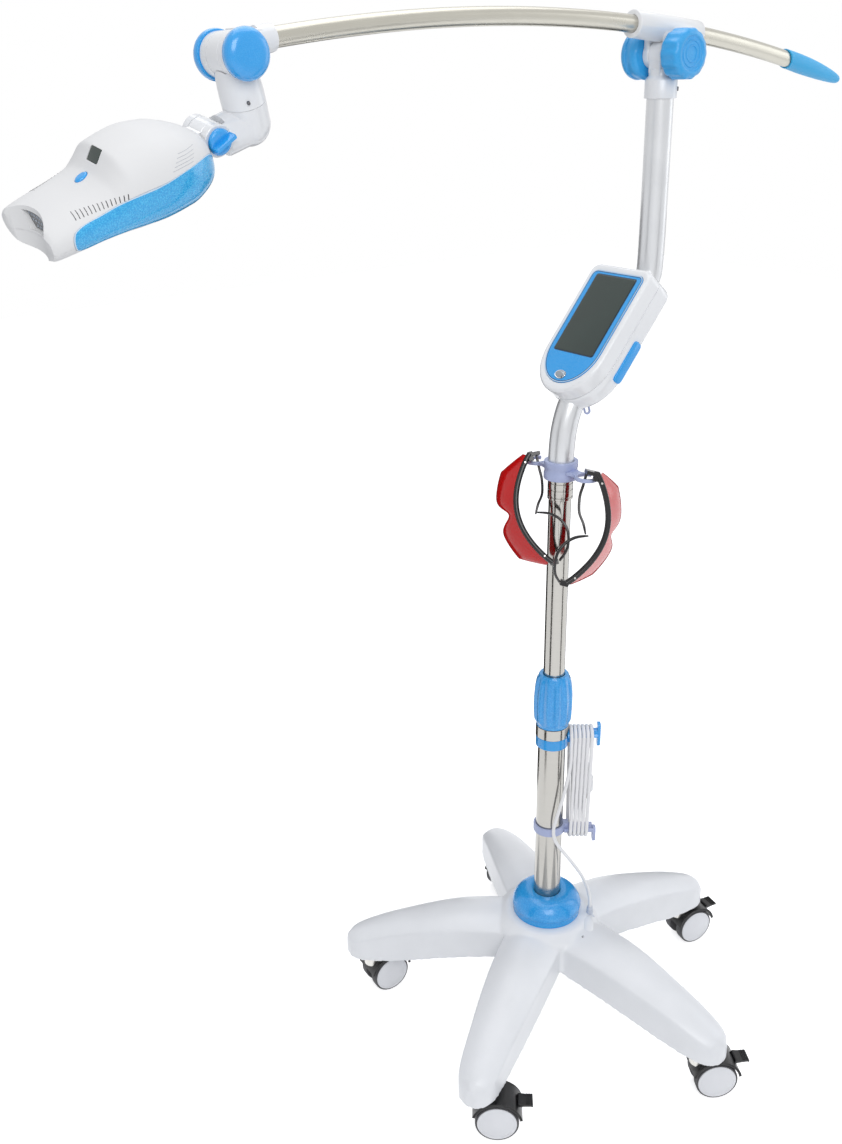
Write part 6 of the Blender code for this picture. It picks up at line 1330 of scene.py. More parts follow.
def border(name, outer, inner, low, high):
    """A flat line that runs round the panel, between two shield outlines."""
    count = len(outer)
    mesh = bpy.data.meshes.new(name)
    points = [(x, y, z) for z in (low, high) for line in (outer, inner) for x, y in line]
    faces = []
    for i in range(count):
        j = (i + 1) % count
        faces.append((2 * count + i, 2 * count + j, 3 * count + j, 3 * count + i))
        faces.append((i, count + i, count + j, j))
        faces.append((i, j, 2 * count + j, 2 * count + i))
        faces.append((count + i, 3 * count + i, 3 * count + j, count + j))
    mesh.from_pydata(points, [], faces)
    mesh.update()
    return mesh


def oval_rings(rows, long_half, short_half, steps=48):
    turns = [2 * math.pi * i / steps for i in range(steps)]
    rings = []
    for inset, z in rows:
        long, short = long_half - inset, short_half - inset
        rings.append([(long * math.cos(a), short * math.sin(a), z) for a in turns])
    return rings


panel_top = 0.0008
key_shift = Matrix.Translation((0, -0.0844, 0))
key_mouth = skinned("button_mouth", oval_rings([(0, -0.006), (0, 0.006)], 0.0089, 0.006))
panel_rows = ((-0.0001, -0.001), (0, -0.0006), (0, panel_top - 0.0003), (-0.0003, panel_top))
panel_body = skinned("box_panel", [panel_ring(grow, z) for grow, z in panel_rows])
panel_body = without(panel_body, [(key_mouth, key_shift)])
piece("box_panel", panel_body, box_place, box_blue, "mast", ["box_face_panel"])
for label, finish, outer, inner in (
    ("navy", panel_navy, -0.0016, -0.0024), ("pale", panel_painted_highlight, -0.0003, -0.0014)
):
    name = f"panel_{label}_line"
    line = border(name, panel_edge(outer), panel_edge(inner), panel_top - 0.0004, panel_top + 0.0001)
    piece(name, line, box_place, finish, "mast", smooth=False)

clear_coat = {"Coat_Weight": 0.2, "Coat_Roughness": 0.04}
display_glass = moulded("display_glass", (0.008, 0.024, 0.019), 0.16, 300.0, 0.02, 0.1, 0.6, **clear_coat)
display_frame = moulded("display_frame", (0.01, 0.03, 0.075), 0.35)


def rounded_panel(half_width, half_length, corner):
    return rounded_outline(half_width, -half_length, half_length, corner)


def glass_plate(name, half_width, half_length, corner, low, high):
    rings = []
    for inset, z in ((0, low), (0, high - 0.0003), (0.0003, high - 0.00005), (0.0008, high)):
        outline = rounded_panel(half_width - inset, half_length - inset, corner)
        rings.append([(x, y, z) for x, y in outline])
    return skinned(name, rings)


display_mesh = glass_plate("display_glass", 0.0322, 0.0536, 0.0025, 0.0002, 0.0016)
piece("display_glass", display_mesh, box_place, display_glass, "mast")
edge_outer = rounded_panel(0.0335, 0.0549, 0.0032)
edge_inner = rounded_panel(0.032, 0.0534, 0.0022)
display_edge = border("display_edge", edge_outer, edge_inner, panel_top - 0.0003, panel_top + 0.0002)
piece("display_edge", display_edge, box_place, display_frame, "mast", smooth=False)

button_place = box_place @ key_shift
key_grey = moulded("key_grey", (0.3, 0.34, 0.38), 0.2, Metallic=0.5, Coat_Weight=0.4, Coat_Roughness=0.08)
chrome = polished("chrome", (0.72, 0.73, 0.74), 0.1, lines=900.0, depth=0.01)
key_rows = [(0, -0.007), (0, 0.0013), (0.0004, 0.0021), (0.0013, 0.0027), (0.0024, 0.0029), (0.004, 0.003)]
key_mesh = skinned("box_key", oval_rings(key_rows, 0.0074, 0.0046))
piece("box_key", key_mesh, button_place, key_grey, "box_button_body", ["box_button"])
ring_rows = [(0.0009, 0.0008), (0.0001, 0.0008), (0, 0.0013), (0.0003, 0.0017), (0.0009, 0.0015)]
key_ring = skinned("box_key_ring", oval_rings(ring_rows, 0.0085, 0.0056), capped=False)
piece("box_key_ring", key_ring, button_place, chrome, "box_button_body")


def strap_loop(half, foot, top):
    """A narrow outline with a round foot and a square top."""
    turns = [math.pi + math.pi * i / 12 for i in range(13)]
    return [(half * math.cos(a), foot + half * math.sin(a)) for a in turns] + [(half, top), (-half, top)]


# A small moulded eye for a strap hangs under the rear cover.
strap_eye = extruded("strap_eye", strap_loop(0.0042, -0.0065, 0.0068), -0.0012, 0.0012)
strap_eye = without(strap_eye, [extruded("eye_slot", strap_loop(0.0022, -0.006, 0.001), -0.003, 0.003)])
eye_place = lamp_shift @ placed((0.0318, -0.008, 0.9265), (-0.35, -1, 0.1), (-0.25, 0, 1))
piece("strap_eye", strap_eye, eye_place, lavender, "mast", edge=0.0004)

# The slide lies on the near side wall, a little let into it.
latch_outline = slide_outline(0.0068, -0.0552, -0.0128, 7.5)
latch_middle = -0.034
latch_rings = []
for share, z in ((1.0, -0.0022), (1.0, 0.0012), (0.93, 0.0019), (0.8, 0.0022)):
    tall = 1 - (1 - share) * 0.25
    latch_rings.append([(x * share, latch_middle + (y - latch_middle) * tall, z) for x, y in latch_outline])
latch_mesh = skinned("box_slide", latch_rings)
latch_place = box_place @ placed((box_half, 0, -0.038), (1, 0, 0), (0, 1, 0))
latch_nodes = ["box_slide_latch"]
piece("box_slide", latch_mesh, latch_place, glossy_sky, "box_latch_body", latch_nodes, 0.0003)

# T joint
# A white die-cast fork stands on the mast. A bolt with two blue ribbed hand knobs squeezes its
# tongue between the lugs of the sleeve that holds the arm, so the arm can be set at any tilt.
arm_radius = 0.0095
arm_bow = 2.26
arm_apex_x = -0.075
arm_apex = 1.3617


def arm_spot(x):
    return Vector((x, 0, arm_apex - arm_bow + math.sqrt(arm_bow**2 - (x - arm_apex_x) ** 2)))


def arm_stretch(start, end, count):
    return [arm_spot(start + (end - start) * i / (count - 1)) for i in range(count)]


def sideways(pivot):
    """A place whose +Z points to the near side of the arm."""
    return placed(pivot, (0, -1, 0), (0, 0, 1))


tee_x = mast_line[-1][0]
tee_shift = Matrix.Translation((tee_x, 0, 0))
tee_radius = 0.015
tongue_half = 0.0093
lug_half = 0.0183
web_half = 0.0138
tee_pivot = arm_spot(tee_x) - Vector((0, 0, 0.0273))
at_tee = sideways(tee_pivot)
tee_side = lamp_shift @ at_tee
joint_coat = {"Coat_Weight": 0.4, "Coat_Roughness": 0.1}
joint_white = moulded("joint_white", (0.79, 0.8, 0.815), 0.28, 1500.0, 0.05, 0.015, 0.25, **joint_coat)
tee_shoulder = tee_pivot.z - tee_radius - 0.0006
sleeve_profile = [
    (0.0162, 1.2766),
    (0.0186, 1.2766),
    (0.019, 1.277),
    (0.019, 1.2966),
    (0.0187, 1.2973),
    (tee_radius + 0.0004, 1.3006),
    (tee_radius, 1.3012),
    (tee_radius, tee_shoulder - 0.0006),
    (tee_radius - 0.0006, tee_shoulder),
    (0, tee_shoulder),
    (0, 1.2945),
    (0.0162, 1.2945),
    (0.0162, 1.2766),
]


def hinge_web(name, half, low, high, near, far, corner=0.0015):
    """A block between a round hinge eye and what it stands on, with rounded corners."""
    return extruded(name, rounded_outline(half, near, far, corner, 5), low, high)


def eye(name, radius, low, high, round_off=0.0007):
    """A round hinge eye with softened rims."""
    foot = [(0, low), (radius - round_off, low), (radius, low + round_off)]
    return lathe(name, foot + [(radius, high - round_off), (radius - round_off, high), (0, high)], 72)


tee_sleeve = lathe("tee_sleeve", sleeve_profile, 80)
tee_web = hinge_web("tee_web", web_half, tee_shoulder - 0.004, tee_pivot.z, -0.009, 0.009)
tee_eye = eye("tee_eye", tee_radius, -tongue_half, tongue_half)
tee_stand = merged("tee_stand", [(tee_sleeve, tee_shift), (tee_web, tee_shift), (tee_eye, at_tee)])
piece("tee_stand", tee_stand, lamp_shift, joint_white, "tee", ["tee_body"])
screw_profile = [(0, 0.0008), (0.001, 0.0009), (0.0012, 0.0016), (0.0022, 0.0018), (0.0025, 0.0012)]
screw_profile += [(0.0025, -0.0015), (0, -0.0015)]
set_screw = lathe("set_screw", screw_profile, 24)
screw_dark = polished("screw_dark", (0.16, 0.16, 0.17), 0.35, lines=1200.0, depth=0.05)
screw_way = Vector((math.cos(math.radians(-7.5)), -1, 0)).normalized()
screw_spot = Vector((tee_x, 0, 1.2868)) + screw_way * 0.0186
screw_place = lamp_shift @ placed(screw_spot, screw_way, (0, 0, 1))
piece("set_screw", set_screw, screw_place, screw_dark, "tee")

arm_bore = 0.0097
clamp_start = 0.0877
clamp_end = 0.196
clamp_rows = ((0, 0.0136), (0.003, 0.0144), (0.008, 0.0148), (0.992, 0.0148), (0.997, 0.0144), (1, 0.0136))
clamp_run = [arm_spot(clamp_start + (clamp_end - clamp_start) * share) for share, _ in clamp_rows]
clamp_parts = [swept("clamp_tube", clamp_run, [radius for _, radius in clamp_rows], 72)]
lug = eye("clamp_lug", tee_radius, tongue_half + 0.0003, lug_half)
lug_block = hinge_web("lug_block", web_half, 0, 0.0225, tongue_half + 0.0006, lug_half - 0.0004)
for flip in (0, math.pi):
    block_place = Matrix.Translation(tee_pivot) @ Matrix.Rotation(flip, 4, "Z")
    clamp_parts += [(lug, at_tee @ Matrix.Rotation(flip, 4, "Y")), (lug_block, block_place)]
clamp_space = swept("clamp_space", arm_stretch(clamp_start - 0.01, clamp_end + 0.01, 5), arm_bore, 64)
clamp_mesh = without(merged("arm_sleeve", clamp_parts), [clamp_space])
piece("arm_sleeve", clamp_mesh, lamp_shift, joint_white, "arm", ["arm_clamp"])


def raised(rows, base):
    """The rows of a profile, moved up by the level of the face that it stands on."""
    return [(row[0], row[1] + base, *row[2:]) for row in rows]


knob_look = {"flecks": 1500.0, "amount": 0.5, "depth": 0.22, "Coat_Weight": 0.3, "Coat_Roughness": 0.12}
knob_blue = stippled("knob_blue", (0.012, 0.34, 0.78), (0.06, 0.5, 0.9), 0.34, **knob_look)
knob_base = lug_half + 0.0003
ribbed_rows = (
    # radius, height over the lug, share of the ribs
    (0.0041, 0, 0),
    (0.0215, 0, 0),
    (0.0258, 0.0008, 0.5),
    (0.0274, 0.0028, 1),
    (0.0276, 0.006, 1),
    (0.0276, 0.0195, 1),
    (0.0272, 0.0222, 0.9),
    (0.0256, 0.0244, 0.5),
    (0.0225, 0.0258, 0.1),
    (0.02, 0.0264, 0),
    (0.0188, 0.026, 0),
    (0.018, 0.025, 0),
    (0.015, 0.0249, 0),
    (0.0145, 0.0256, 0),
    (0.0138, 0.0256, 0),
    (0.0133, 0.0248, 0),
    (0.0096, 0.0247, 0),
    (0.0091, 0.0254, 0),
    (0.0084, 0.0254, 0),
    (0.0079, 0.0245, 0),
    (0, 0.0244, 0),
)
rib_count = 14
ribbed_profile = [(0.0041, -knob_base - 0.014), *raised(ribbed_rows, knob_base)]
front_knob = lathe("knob_front", ribbed_profile, 14 * rib_count, rib_count, 0.0012)
piece(
    "knob_front", front_knob, tee_side, knob_blue, "tee_front_knob_body", ["tee_knob_front"]
)
grooved_rows = [
    (0, 0.0264),
    (0.017, 0.0264),
    (0.0205, 0.0257),
    (0.0245, 0.0243),
    (0.0266, 0.0222),
    (0.0276, 0.019),
    (0.0272, 0.0166),
    (0.0261, 0.0158),
    (0.0259, 0.0132),
    (0.0261, 0.0106),
    (0.0272, 0.0098),
    (0.0276, 0.0074),
    (0.0268, 0.0034),
    (0.0244, 0.0006),
    (0.0236, 0),
    (0.0045, 0),
]
back_knob = lathe("knob_back", raised(grooved_rows, knob_base), 96)
back_side = tee_side @ Matrix.Rotation(math.pi, 4, "Y")
piece("knob_back", back_knob, back_side, knob_blue, "tee_back_knob_body", ["tee_knob_back"])

# Arm
# One length of steel tube, bent to a very shallow bow and brushed lengthwise. A soft blue
# handle grip with a slanting mouth is pushed over its free end.
brushed_steel = polished("brushed_steel", (0.5, 0.485, 0.43), 0.22, lines=3800.0, depth=0.06)
arm_bar = swept("arm_bar", arm_stretch(-0.402, 0.404, 90), arm_radius, 56)
piece("arm_bar", arm_bar, lamp_shift, brushed_steel, "arm", ["arm_tube"])
grip_start = 0.369
grip_end = 0.4856
grip_radius = 0.0118
grip_rows = (
    # share of the length, share of the radius
    (0, 1),
    (0.02, 0.995),
    (0.1, 0.98),
    (0.25, 0.96),
    (0.4, 0.93),
    (0.5, 0.89),
    (0.62, 0.83),
    (0.75, 0.73),
    (0.83, 0.655),
    (0.9, 0.57),
    (0.95, 0.48),
    (0.975, 0.41),
    (0.99, 0.33),
    (1, 0.2),
)
grip_run = [arm_spot(grip_start + (grip_end - grip_start) * share) for share, _ in grip_rows]
grip_mesh = swept("grip_sleeve", grip_run, [grip_radius * size for _, size in grip_rows], 56)
slant = 0.01
slant_reach = 0.03
for point in grip_mesh.vertices:
    toward_end = min(1, max(0, (point.co.x - grip_run[0].x + 0.006) / slant_reach))
    point.co.x -= slant * (point.co.z - grip_run[0].z) / grip_radius / 2 * (1 - toward_end)
grip_mesh.update()
grip_space = swept("grip_space", arm_stretch(0.35, 0.4043, 6), arm_bore, 48)
grip_mesh = without(grip_mesh, [grip_space])
grip_look = {"flecks": 1700.0, "amount": 0.4, "depth": 0.25}
grip_blue = stippled("grip_blue", (0.02, 0.4, 0.78), (0.08, 0.52, 0.86), 0.42, **grip_look)
piece("grip_sleeve", grip_mesh, lamp_shift, grip_blue, "arm", ["arm_grip"], 0.0006)

# Wrist
# A white die-cast socket on the end of the arm, gripped by the yoke of the neck below it. A
# blue cap closes each end of the bolt, and the front one is the hand knob that locks it.
wrist_pivot = Vector((-0.424, 0, 1.327))
wrist_radius = 0.02
wrist_tongue = 0.0105
wrist_yoke = 0.0225
at_wrist = sideways(wrist_pivot)
wrist_side = lamp_shift @ at_wrist
socket_mouth = arm_spot(-0.3975)
socket_run = arm_stretch(-0.3985, -0.381, 8)
socket_sleeve = swept("socket_sleeve", socket_run, [0.0127] * 6 + [0.0125, 0.0119], 64)
socket_web = hinge_web("socket_web", 0.0098, 0, 0.027, -0.01, 0.01, 0.0022)
web_place = placed((-0.423, 0, socket_mouth.z), (1, 0, 0), (0, 1, 0))
wrist_eye = eye("wrist_eye", wrist_radius, -wrist_tongue, wrist_tongue)
socket_mesh = merged("wrist_eye", [(wrist_eye, at_wrist), (socket_web, web_place), socket_sleeve])
socket_space = swept("socket_space", arm_stretch(-0.4023, -0.37, 5), arm_bore, 48)
socket_mesh = without(socket_mesh, [socket_space])
piece("wrist_eye", socket_mesh, lamp_shift, joint_white, "arm", ["wrist_socket"])

# The head's own frame has +X to its nose, +Y to the near side and +Z up.
head_axes = Matrix.Rotation(math.radians(1.5), 3, "Z")
head_forward = head_axes @ Vector((-1, 0, 0))
head_near = head_axes @ Vector((0, -1, 0))
head_dip = Matrix.Rotation(math.radians(19), 3, head_near)
head_forward = head_dip @ head_forward
head_up = head_dip @ Vector((0, 0, 1))
head_roll = Matrix.Rotation(math.radians(-14), 3, head_forward)
head_near = head_roll @ head_near
head_up = head_roll @ head_up
head_axes = Matrix((head_forward, head_near, head_up)).transposed().to_4x4()
head_set = Matrix.Translation((-0.4544, 0.0013, 1.2602)) @ head_axes
seam_set = head_set @ Matrix.Translation((-0.0458, 0, 0.0128))
neck_radius = 0.0205
neck_seam = seam_set @ Vector((0, 0, 0.0003))
seam_across = (seam_set.to_3x3() @ Vector((0, 1, 0))).normalized()
seam_along = (seam_set.to_3x3() @ Vector((-1, 0, 0))).normalized()
neck_stations = (
    # share of the way up, share of the radius, flattening
    (0, 0.985, 1),
    (0.006, 1, 1),
    (0.12, 1, 1),
    (0.22, 1.003, 0.99),
    (0.34, 1.01, 0.97),
    (0.45, 1.02, 0.94),
    (0.6, 1.03, 0.89),
    (0.75, 1.04, 0.84),
    (0.87, 1.045, 0.78),
    (0.96, 1.05, 0.72),
)
neck_turns = [math.radians(5 * i) for i in range(72)]
neck_rings = []
for share, size, flatten in neck_stations:
    centre = neck_seam.lerp(wrist_pivot, share)
    beside = seam_across.lerp(Vector((0, -1, 0)), share).normalized() * neck_radius * size
    fore = seam_along.lerp(Vector((1, 0, 0)), share).normalized() * neck_radius * size * flatten
    neck_rings.append([centre + beside * math.cos(a) + fore * math.sin(a) for a in neck_turns])
yoke = eye("neck_yoke", wrist_radius, -wrist_yoke, wrist_yoke)
yoke_half = wrist_tongue + 0.0003
yoke_space = eye("yoke_space", wrist_radius + 0.0006, -yoke_half, yoke_half, 0.0001)
neck_mesh = without(
    merged("neck", [(yoke, at_wrist), skinned("neck_stem", neck_rings)]), [(yoke_space, at_wrist)]
)
piece("neck", neck_mesh, lamp_shift, joint_white, "wrist", ["wrist_neck"])
neck_side = seam_set @ placed((0, 0, neck_radius / 3), (0.35, 1, 0), (0, 0, 1))
neck_screw_place = lamp_shift @ neck_side @ Matrix.Translation((0, 0, neck_radius - 0.0006))
neck_screw_profile = [(0, 0.0002), (0.0007, 0.0003), (0.0009, 0.0009), (0.0014, 0.001), (0.0016, 0.0006)]
neck_screw_profile += [(0.0016, -0.002), (0, -0.002)]
neck_screw = lathe("neck_screw", neck_screw_profile, 20)
piece("neck_screw", neck_screw, neck_screw_place, screw_dark, "wrist")
cap_base = wrist_yoke + 0.0003
cap_rows = [
    (0, 0.0145),
    (0.009, 0.0144),
    (0.014, 0.0139),
    (0.0172, 0.0128),
    (0.0196, 0.0112),
    (0.0214, 0.009),
    (0.0223, 0.0066),
    (0.0225, 0.0048),
    (0.0222, 0.0008),
    (0.0216, 0),
]
cap_look = {"flecks": 1300.0, "amount": 0.35, "depth": 0.06, "Coat_Weight": 0.5, "Coat_Roughness": 0.06}
cap_blue = stippled("cap_blue", sky, (0.06, 0.46, 0.9), 0.22, **cap_look)
far_rows = raised([*cap_rows, (0.0044, 0), (0.0044, 0.0085), (0, 0.0085)], cap_base)
far_cap = lathe("wrist_cap_far", far_rows, 80)
far_side = wrist_side @ Matrix.Rotation(math.pi, 4, "Y")
piece("wrist_cap_far", far_cap, far_side, cap_blue, "wrist", ["wrist_cap_back"])
bolt_end = -cap_base - 0.008
bolt_rows = [*raised([*cap_rows, (0.0041, 0)], cap_base), (0.0041, bolt_end), (0, bolt_end)]
near_cap = lathe("wrist_cap_near", bolt_rows, 80)
piece(
    "wrist_cap_near", near_cap, wrist_side, cap_blue, "wrist_knob_body", ["wrist_knob_front"]
)

# Elbow
# The neck turns on this short white elbow. Its two cheeks hold the tongue of the head, and a
# glossy blue knob with a bar across it tightens the hinge bolt.
elbow_radius = 0.0205
elbow_drop = 0.0193
elbow_run = 0.0458
at_hinge = placed((0, 0, 0), (0, 1, 0), (0, 0, 1))
hinge_set = head_set @ at_hinge
elbow_top = [(0, 0.0085), (0.0041, 0.0085), (0.0041, 0), (elbow_radius - 0.0004, 0), (elbow_radius, -0.0004)]
elbow_top += [(elbow_radius, -elbow_drop), (0, -elbow_drop)]
run_radius = elbow_drop - 0.0006
run_end = elbow_run - 0.0126
run_profile = [
    (0, 0), (run_radius, 0), (run_radius, run_end - 0.0008), (run_radius - 0.0008, run_end), (0, run_end)
]
run_place = head_set @ placed((-elbow_run, 0, 0.0128 - elbow_drop), (1, 0, 0), (0, 1, 0))
knuckle_radius = elbow_radius * 1.004
knuckle_turns = [math.radians(a) for a in range(-90, 61, 6)]
knuckle_rows = [(knuckle_radius * math.cos(a), knuckle_radius * math.sin(a)) for a in knuckle_turns]
knuckle_rows += [(0, elbow_radius * 0.87)]
knuckle_place = seam_set @ Matrix.Translation((0, 0, -elbow_drop))
elbow_parts = [
    (lathe("elbow_top", elbow_top, 72), seam_set),
    (lathe("elbow_run", run_profile, 72), run_place),
    (lathe("elbow_knuckle", knuckle_rows, 72), knuckle_place),
    (eye("elbow_cheeks", 0.0145, -0.019, 0.019), hinge_set),
]
tongue_space = slab("tongue_space", (-0.0157, -0.0105, -0.04), (0.04, 0.0105, 0.04))
elbow_mesh = without(merged("elbow_casting", elbow_parts), [(tongue_space, head_set)])
piece("elbow_casting", elbow_mesh, lamp_shift, joint_white, "elbow_body", ["elbow"])
wing_base = 0.0193
disc_rows = [(0.003, 0), (0.0112, 0), (0.0118, 0.0006), (0.0118, 0.0028)]
disc_rows += [(0.0112, 0.004), (0.01, 0.0048), (0.008, 0.005), (0, 0.005)]
wing_rows = [(0, -0.0187), (0.003, -0.0187), *raised(disc_rows, wing_base)]
blade_half = 0.002
blade_rings = []
for share, z in ((1.0, 0.002), (1.0, 0.0095), (0.93, 0.0112), (0.78, 0.012)):
    ring = []
    width = blade_half * share
    for end, start in ((0.01357, -90), (-0.0118, 90)):
        reach = math.copysign(abs(end) * (0.96 if share < 1 else 1) - blade_half, end)
        turns = [math.radians(start + 15 * i) for i in range(13)]
        ring += [(reach + width * math.cos(a), width * math.sin(a), wing_base + z) for a in turns]
    blade_rings.append(ring)
blade_turn = Matrix.Rotation(math.radians(15), 4, "Z")
wing_parts = [lathe("wing_disc", wing_rows, 72), (skinned("wing_blade", blade_rings), blade_turn)]
wing_mesh = merged("wing_turner", wing_parts)
piece(
    "wing_turner", wing_mesh, lamp_shift @ hinge_set, cap_blue, "wing_knob_body",
    ["wing_knob"],
)

# Lamp head
# Two glossy white ABS shells that meet at a fine seam below the belt, with a scooped nose for
# the mouth. A blue stippled trim panel is let into each side, and the light sits in the scoop.
head_length = 0.19
head_half = 0.05
head_crown = 0.036
head_keel = -0.039
head_belt = -0.01
head_split = -0.0145
side_power = 0.72
roof_power = 0.8
head_shares = (
    # share of the length, half width, height over the belt, depth below it
    (0.053, 0.36, 0.17, 0.5),
    (0.07, 0.5, 0.29, 0.64),
    (0.105, 0.67, 0.45, 0.78),
    (0.17, 0.83, 0.66, 0.9),
    (0.26, 0.95, 0.87, 0.98),
    (0.4, 1.00, 1.00, 0.98),
    (0.548, 1.00, 0.92, 0.9),
    (0.592, 0.995, 0.7, 0.86),
    (0.645, 0.985, 0.46, 0.82),
    (0.735, 0.965, 0.34, 0.775),
    (0.89, 0.94, 0.24, 0.745),
    (0.985, 0.91, 0.14, 0.72),
    (1.000, 0.87, 0.05, 0.68),
)


def eased(rows, column, at):
    """The value of one column at a share of the length, along a curve with no overshoot."""
    slopes = []
    for here, there in zip(rows, rows[1:]):
        slopes.append((there[column] - here[column]) / (there[0] - here[0]))
    i = next(n for n in range(len(slopes)) if rows[n][0] <= at <= rows[n + 1][0] or n == len(slopes) - 1)
    ends = []
    for other in (max(i - 1, 0), min(i + 1, len(slopes) - 1)):
        product = slopes[other] * slopes[i]
        ends.append(0 if product <= 0 else 2 * product / (slopes[other] + slopes[i]))
    span = rows[i + 1][0] - rows[i][0]
    share = (at - rows[i][0]) / span
    return blended(rows[i][column], rows[i + 1][column], ends[0] * span, ends[1] * span, share)


def head_ring(at, shrink, steps=96):
    half = head_half * eased(head_shares, 1, at) - shrink
    rise = head_crown * eased(head_shares, 2, at) - head_belt - shrink
    fall = head_belt - head_keel * eased(head_shares, 3, at) - shrink
    ring = []
    for i in range(steps):
        c = math.cos(2 * math.pi * i / steps)
        s = math.sin(2 * math.pi * i / steps)
        level = head_belt + (rise if s > 0 else fall) * squared_off(s, roof_power)
        ring.append((head_length * at, half * squared_off(c, side_power), level))
    return ring


def head_form(name, shrink, start=0.053, end=1.0, count=96, steps=96):
    shares = [start + (end - start) * i / (count - 1) for i in range(count)]
    return skinned(name, [head_ring(share, shrink, steps) for share in shares])


panel_outline = (
    (0.016, -0.002),
    (0.036, 0.0035),
    (0.08, 0.0026),
    (0.11, 0.0034),
    (0.14, 0.0008),
    (0.166, -0.0025),
    (0.1715, -0.0105),
    (0.1685, -0.0195),
    (0.145, -0.0215),
    (0.1187, -0.0238),
    (0.0787, -0.031),
    (0.04, -0.0325),
    (0.022, -0.029),
    (0.013, -0.017),
)


def closed_curve(points, steps, rounding=0.35):
    """A smooth closed line through the corners of an outline."""
    count = len(points)
    line = []
    for i in range(count):
        a, b, c, d = (Vector(points[(i + k) % count]) for k in (-1, 0, 1, 2))
        reach = (c - b).length
        start = (c - a).normalized() * reach * rounding
        finish = (d - b).normalized() * reach * rounding
        for k in range(steps):
            t = k / steps
            toward = (b + start) * 3 * t * (1 - t) ** 2 + (c - finish) * 3 * t**2 * (1 - t)
            line.append(b * (1 - t) ** 3 + toward + c * t**3)
    return line


panel_line = closed_curve(panel_outline, 10)


def side_plug(name, grow, low, high):
    """The outline of a side panel, grown a little and run through the side of the head."""
    middle = sum(panel_line, Vector((0, 0))) / len(panel_line)
    spots = [spot + (spot - middle).normalized() * grow for spot in panel_line]
    return skinned(name, [[(spot.x, depth, spot.y) for spot in spots] for depth in (low, high)])


scoop_lean = Matrix.Rotation(math.radians(-12), 4, "Y")
scoop_at = Matrix.Translation((0.1775, 0, 0)) @ scoop_lean @ Matrix.Translation((0.055, 0, 0))
scoop_space = lathe("scoop_space", [(0, -0.078), (0.055, -0.078), (0.055, 0.072), (0, 0.072)], 128)
elbow_space = lathe("elbow_space", [(0, -0.0196), (0.016, -0.0196), (0.016, 0.06), (0, 0.06)], 72)
fork_space = slab("fork_space", (-0.05, -0.0105, -0.06), (0.0348, 0.0105, 0.0112))
window_corners = ((-0.0113, -0.0128), (-0.0193, 0.0033), (0.0193, 0.0033), (0.0113, -0.0128))
window_space = skinned("window_space", [[(x, y, z) for y, z in window_corners] for x in (0.13, 0.215)])
cavity = head_form("head_cavity", 0.003, 0.07, 0.89, 60)
seat_core = head_form("seat_core", 0.0014, 0.053, 1.0, 60)
seats = []
for side in (1, -1):
    seat = side_plug("panel_seat", 0.0003, side * 0.02, side * 0.065)
    seats.append(without(seat, [seat_core], solver="MANIFOLD"))
screen_slope = math.radians(48)
screen_way = (math.sin(screen_slope), 0, math.cos(screen_slope))
screen_place = placed((0.109, 0, 0.0272), screen_way, (0, 1, 0))
screen_space = extruded("screen_space", rounded_panel(0.0065, 0.0088, 0.0012), -0.006, 0.009)
key_x = 0.1275
key_level = head_crown * eased(head_shares, 2, key_x / head_length)
key_place = Matrix.Translation((key_x, 0, key_level - 0.0004))
key_space = skinned("key_space", oval_rings([(0, -0.012), (0, 0.006)], 0.0066, 0.005))
lower_block = slab("lower_block", (-0.3, -0.3, -0.3), (0.3, 0.3, head_split - 0.0003))
upper_block = slab("upper_block", (-0.3, -0.3, head_split), (0.3, 0.3, 0.3))
openings = [cavity, (scoop_space, scoop_at), *seats, (elbow_space, at_hinge)]
crown_cuts = [fork_space, window_space, (screen_space, screen_place), (key_space, key_place)]
head_place = lamp_shift @ head_set
for part, cuts, stands_for in (
    ("crown", [lower_block, *openings, *crown_cuts], "head_upper_shell"),
    ("keel", [upper_block, *openings], "head_lower_shell"),
):
    shell = without(head_form(f"head_{part}_shell", 0), cuts, solver="MANIFOLD")
    piece(f"head_{part}_shell", shell, head_place, gloss_white, "head", [stands_for])
tongue_parts = [
    (eye("hinge_eye", 0.0145, -0.0102, 0.0102), at_hinge),
    slab("tongue_bar", (0, -0.0099, -0.013), (0.0333, 0.0099, 0.0101)),
    slab("tongue_foot", (0.0218, -0.0096, -0.0296), (0.033, 0.0096, 0)),
]
hinge_tongue = merged("hinge_tongue", tongue_parts)
piece("hinge_tongue", hinge_tongue, head_place, gloss_white, "head")

panel_skin = head_form("panel_skin", -0.0006, count=56, steps=72)
rim_skin = head_form("rim_skin", -0.0005, count=56, steps=72)
panel_core = head_form("panel_core", 0.0011, count=40, steps=48)
panel_look = {"flecks": 900.0, "amount": 0.75, "depth": 0.15, "Coat_Weight": 0.6, "Coat_Roughness": 0.08}
head_blue = stippled("head_blue", (0.006, 0.345, 0.74), (0.07, 0.56, 0.92), 0.26, **panel_look)
rim_pale = moulded("rim_pale", (0.62, 0.74, 0.86), 0.3)
for label, side in (("near", 1), ("far", -1)):
    trim = side_plug(f"side_trim_{label}", -0.0011, side * 0.021, side * 0.065)
    trim = without(without(trim, [panel_skin], "INTERSECT"), [panel_core])
    piece(f"side_trim_{label}", trim, head_place, head_blue, "head", [f"head_panel_{label}"])
    rim_hole = side_plug("rim_hole", -0.0011, side * 0.019, side * 0.067)
    rim = without(side_plug(f"side_rim_{label}", 0, side * 0.021, side * 0.065), [rim_hole])
    rim = without(without(rim, [rim_skin], "INTERSECT"), [panel_core])
    piece(f"side_rim_{label}", rim, head_place, rim_pale, "head")

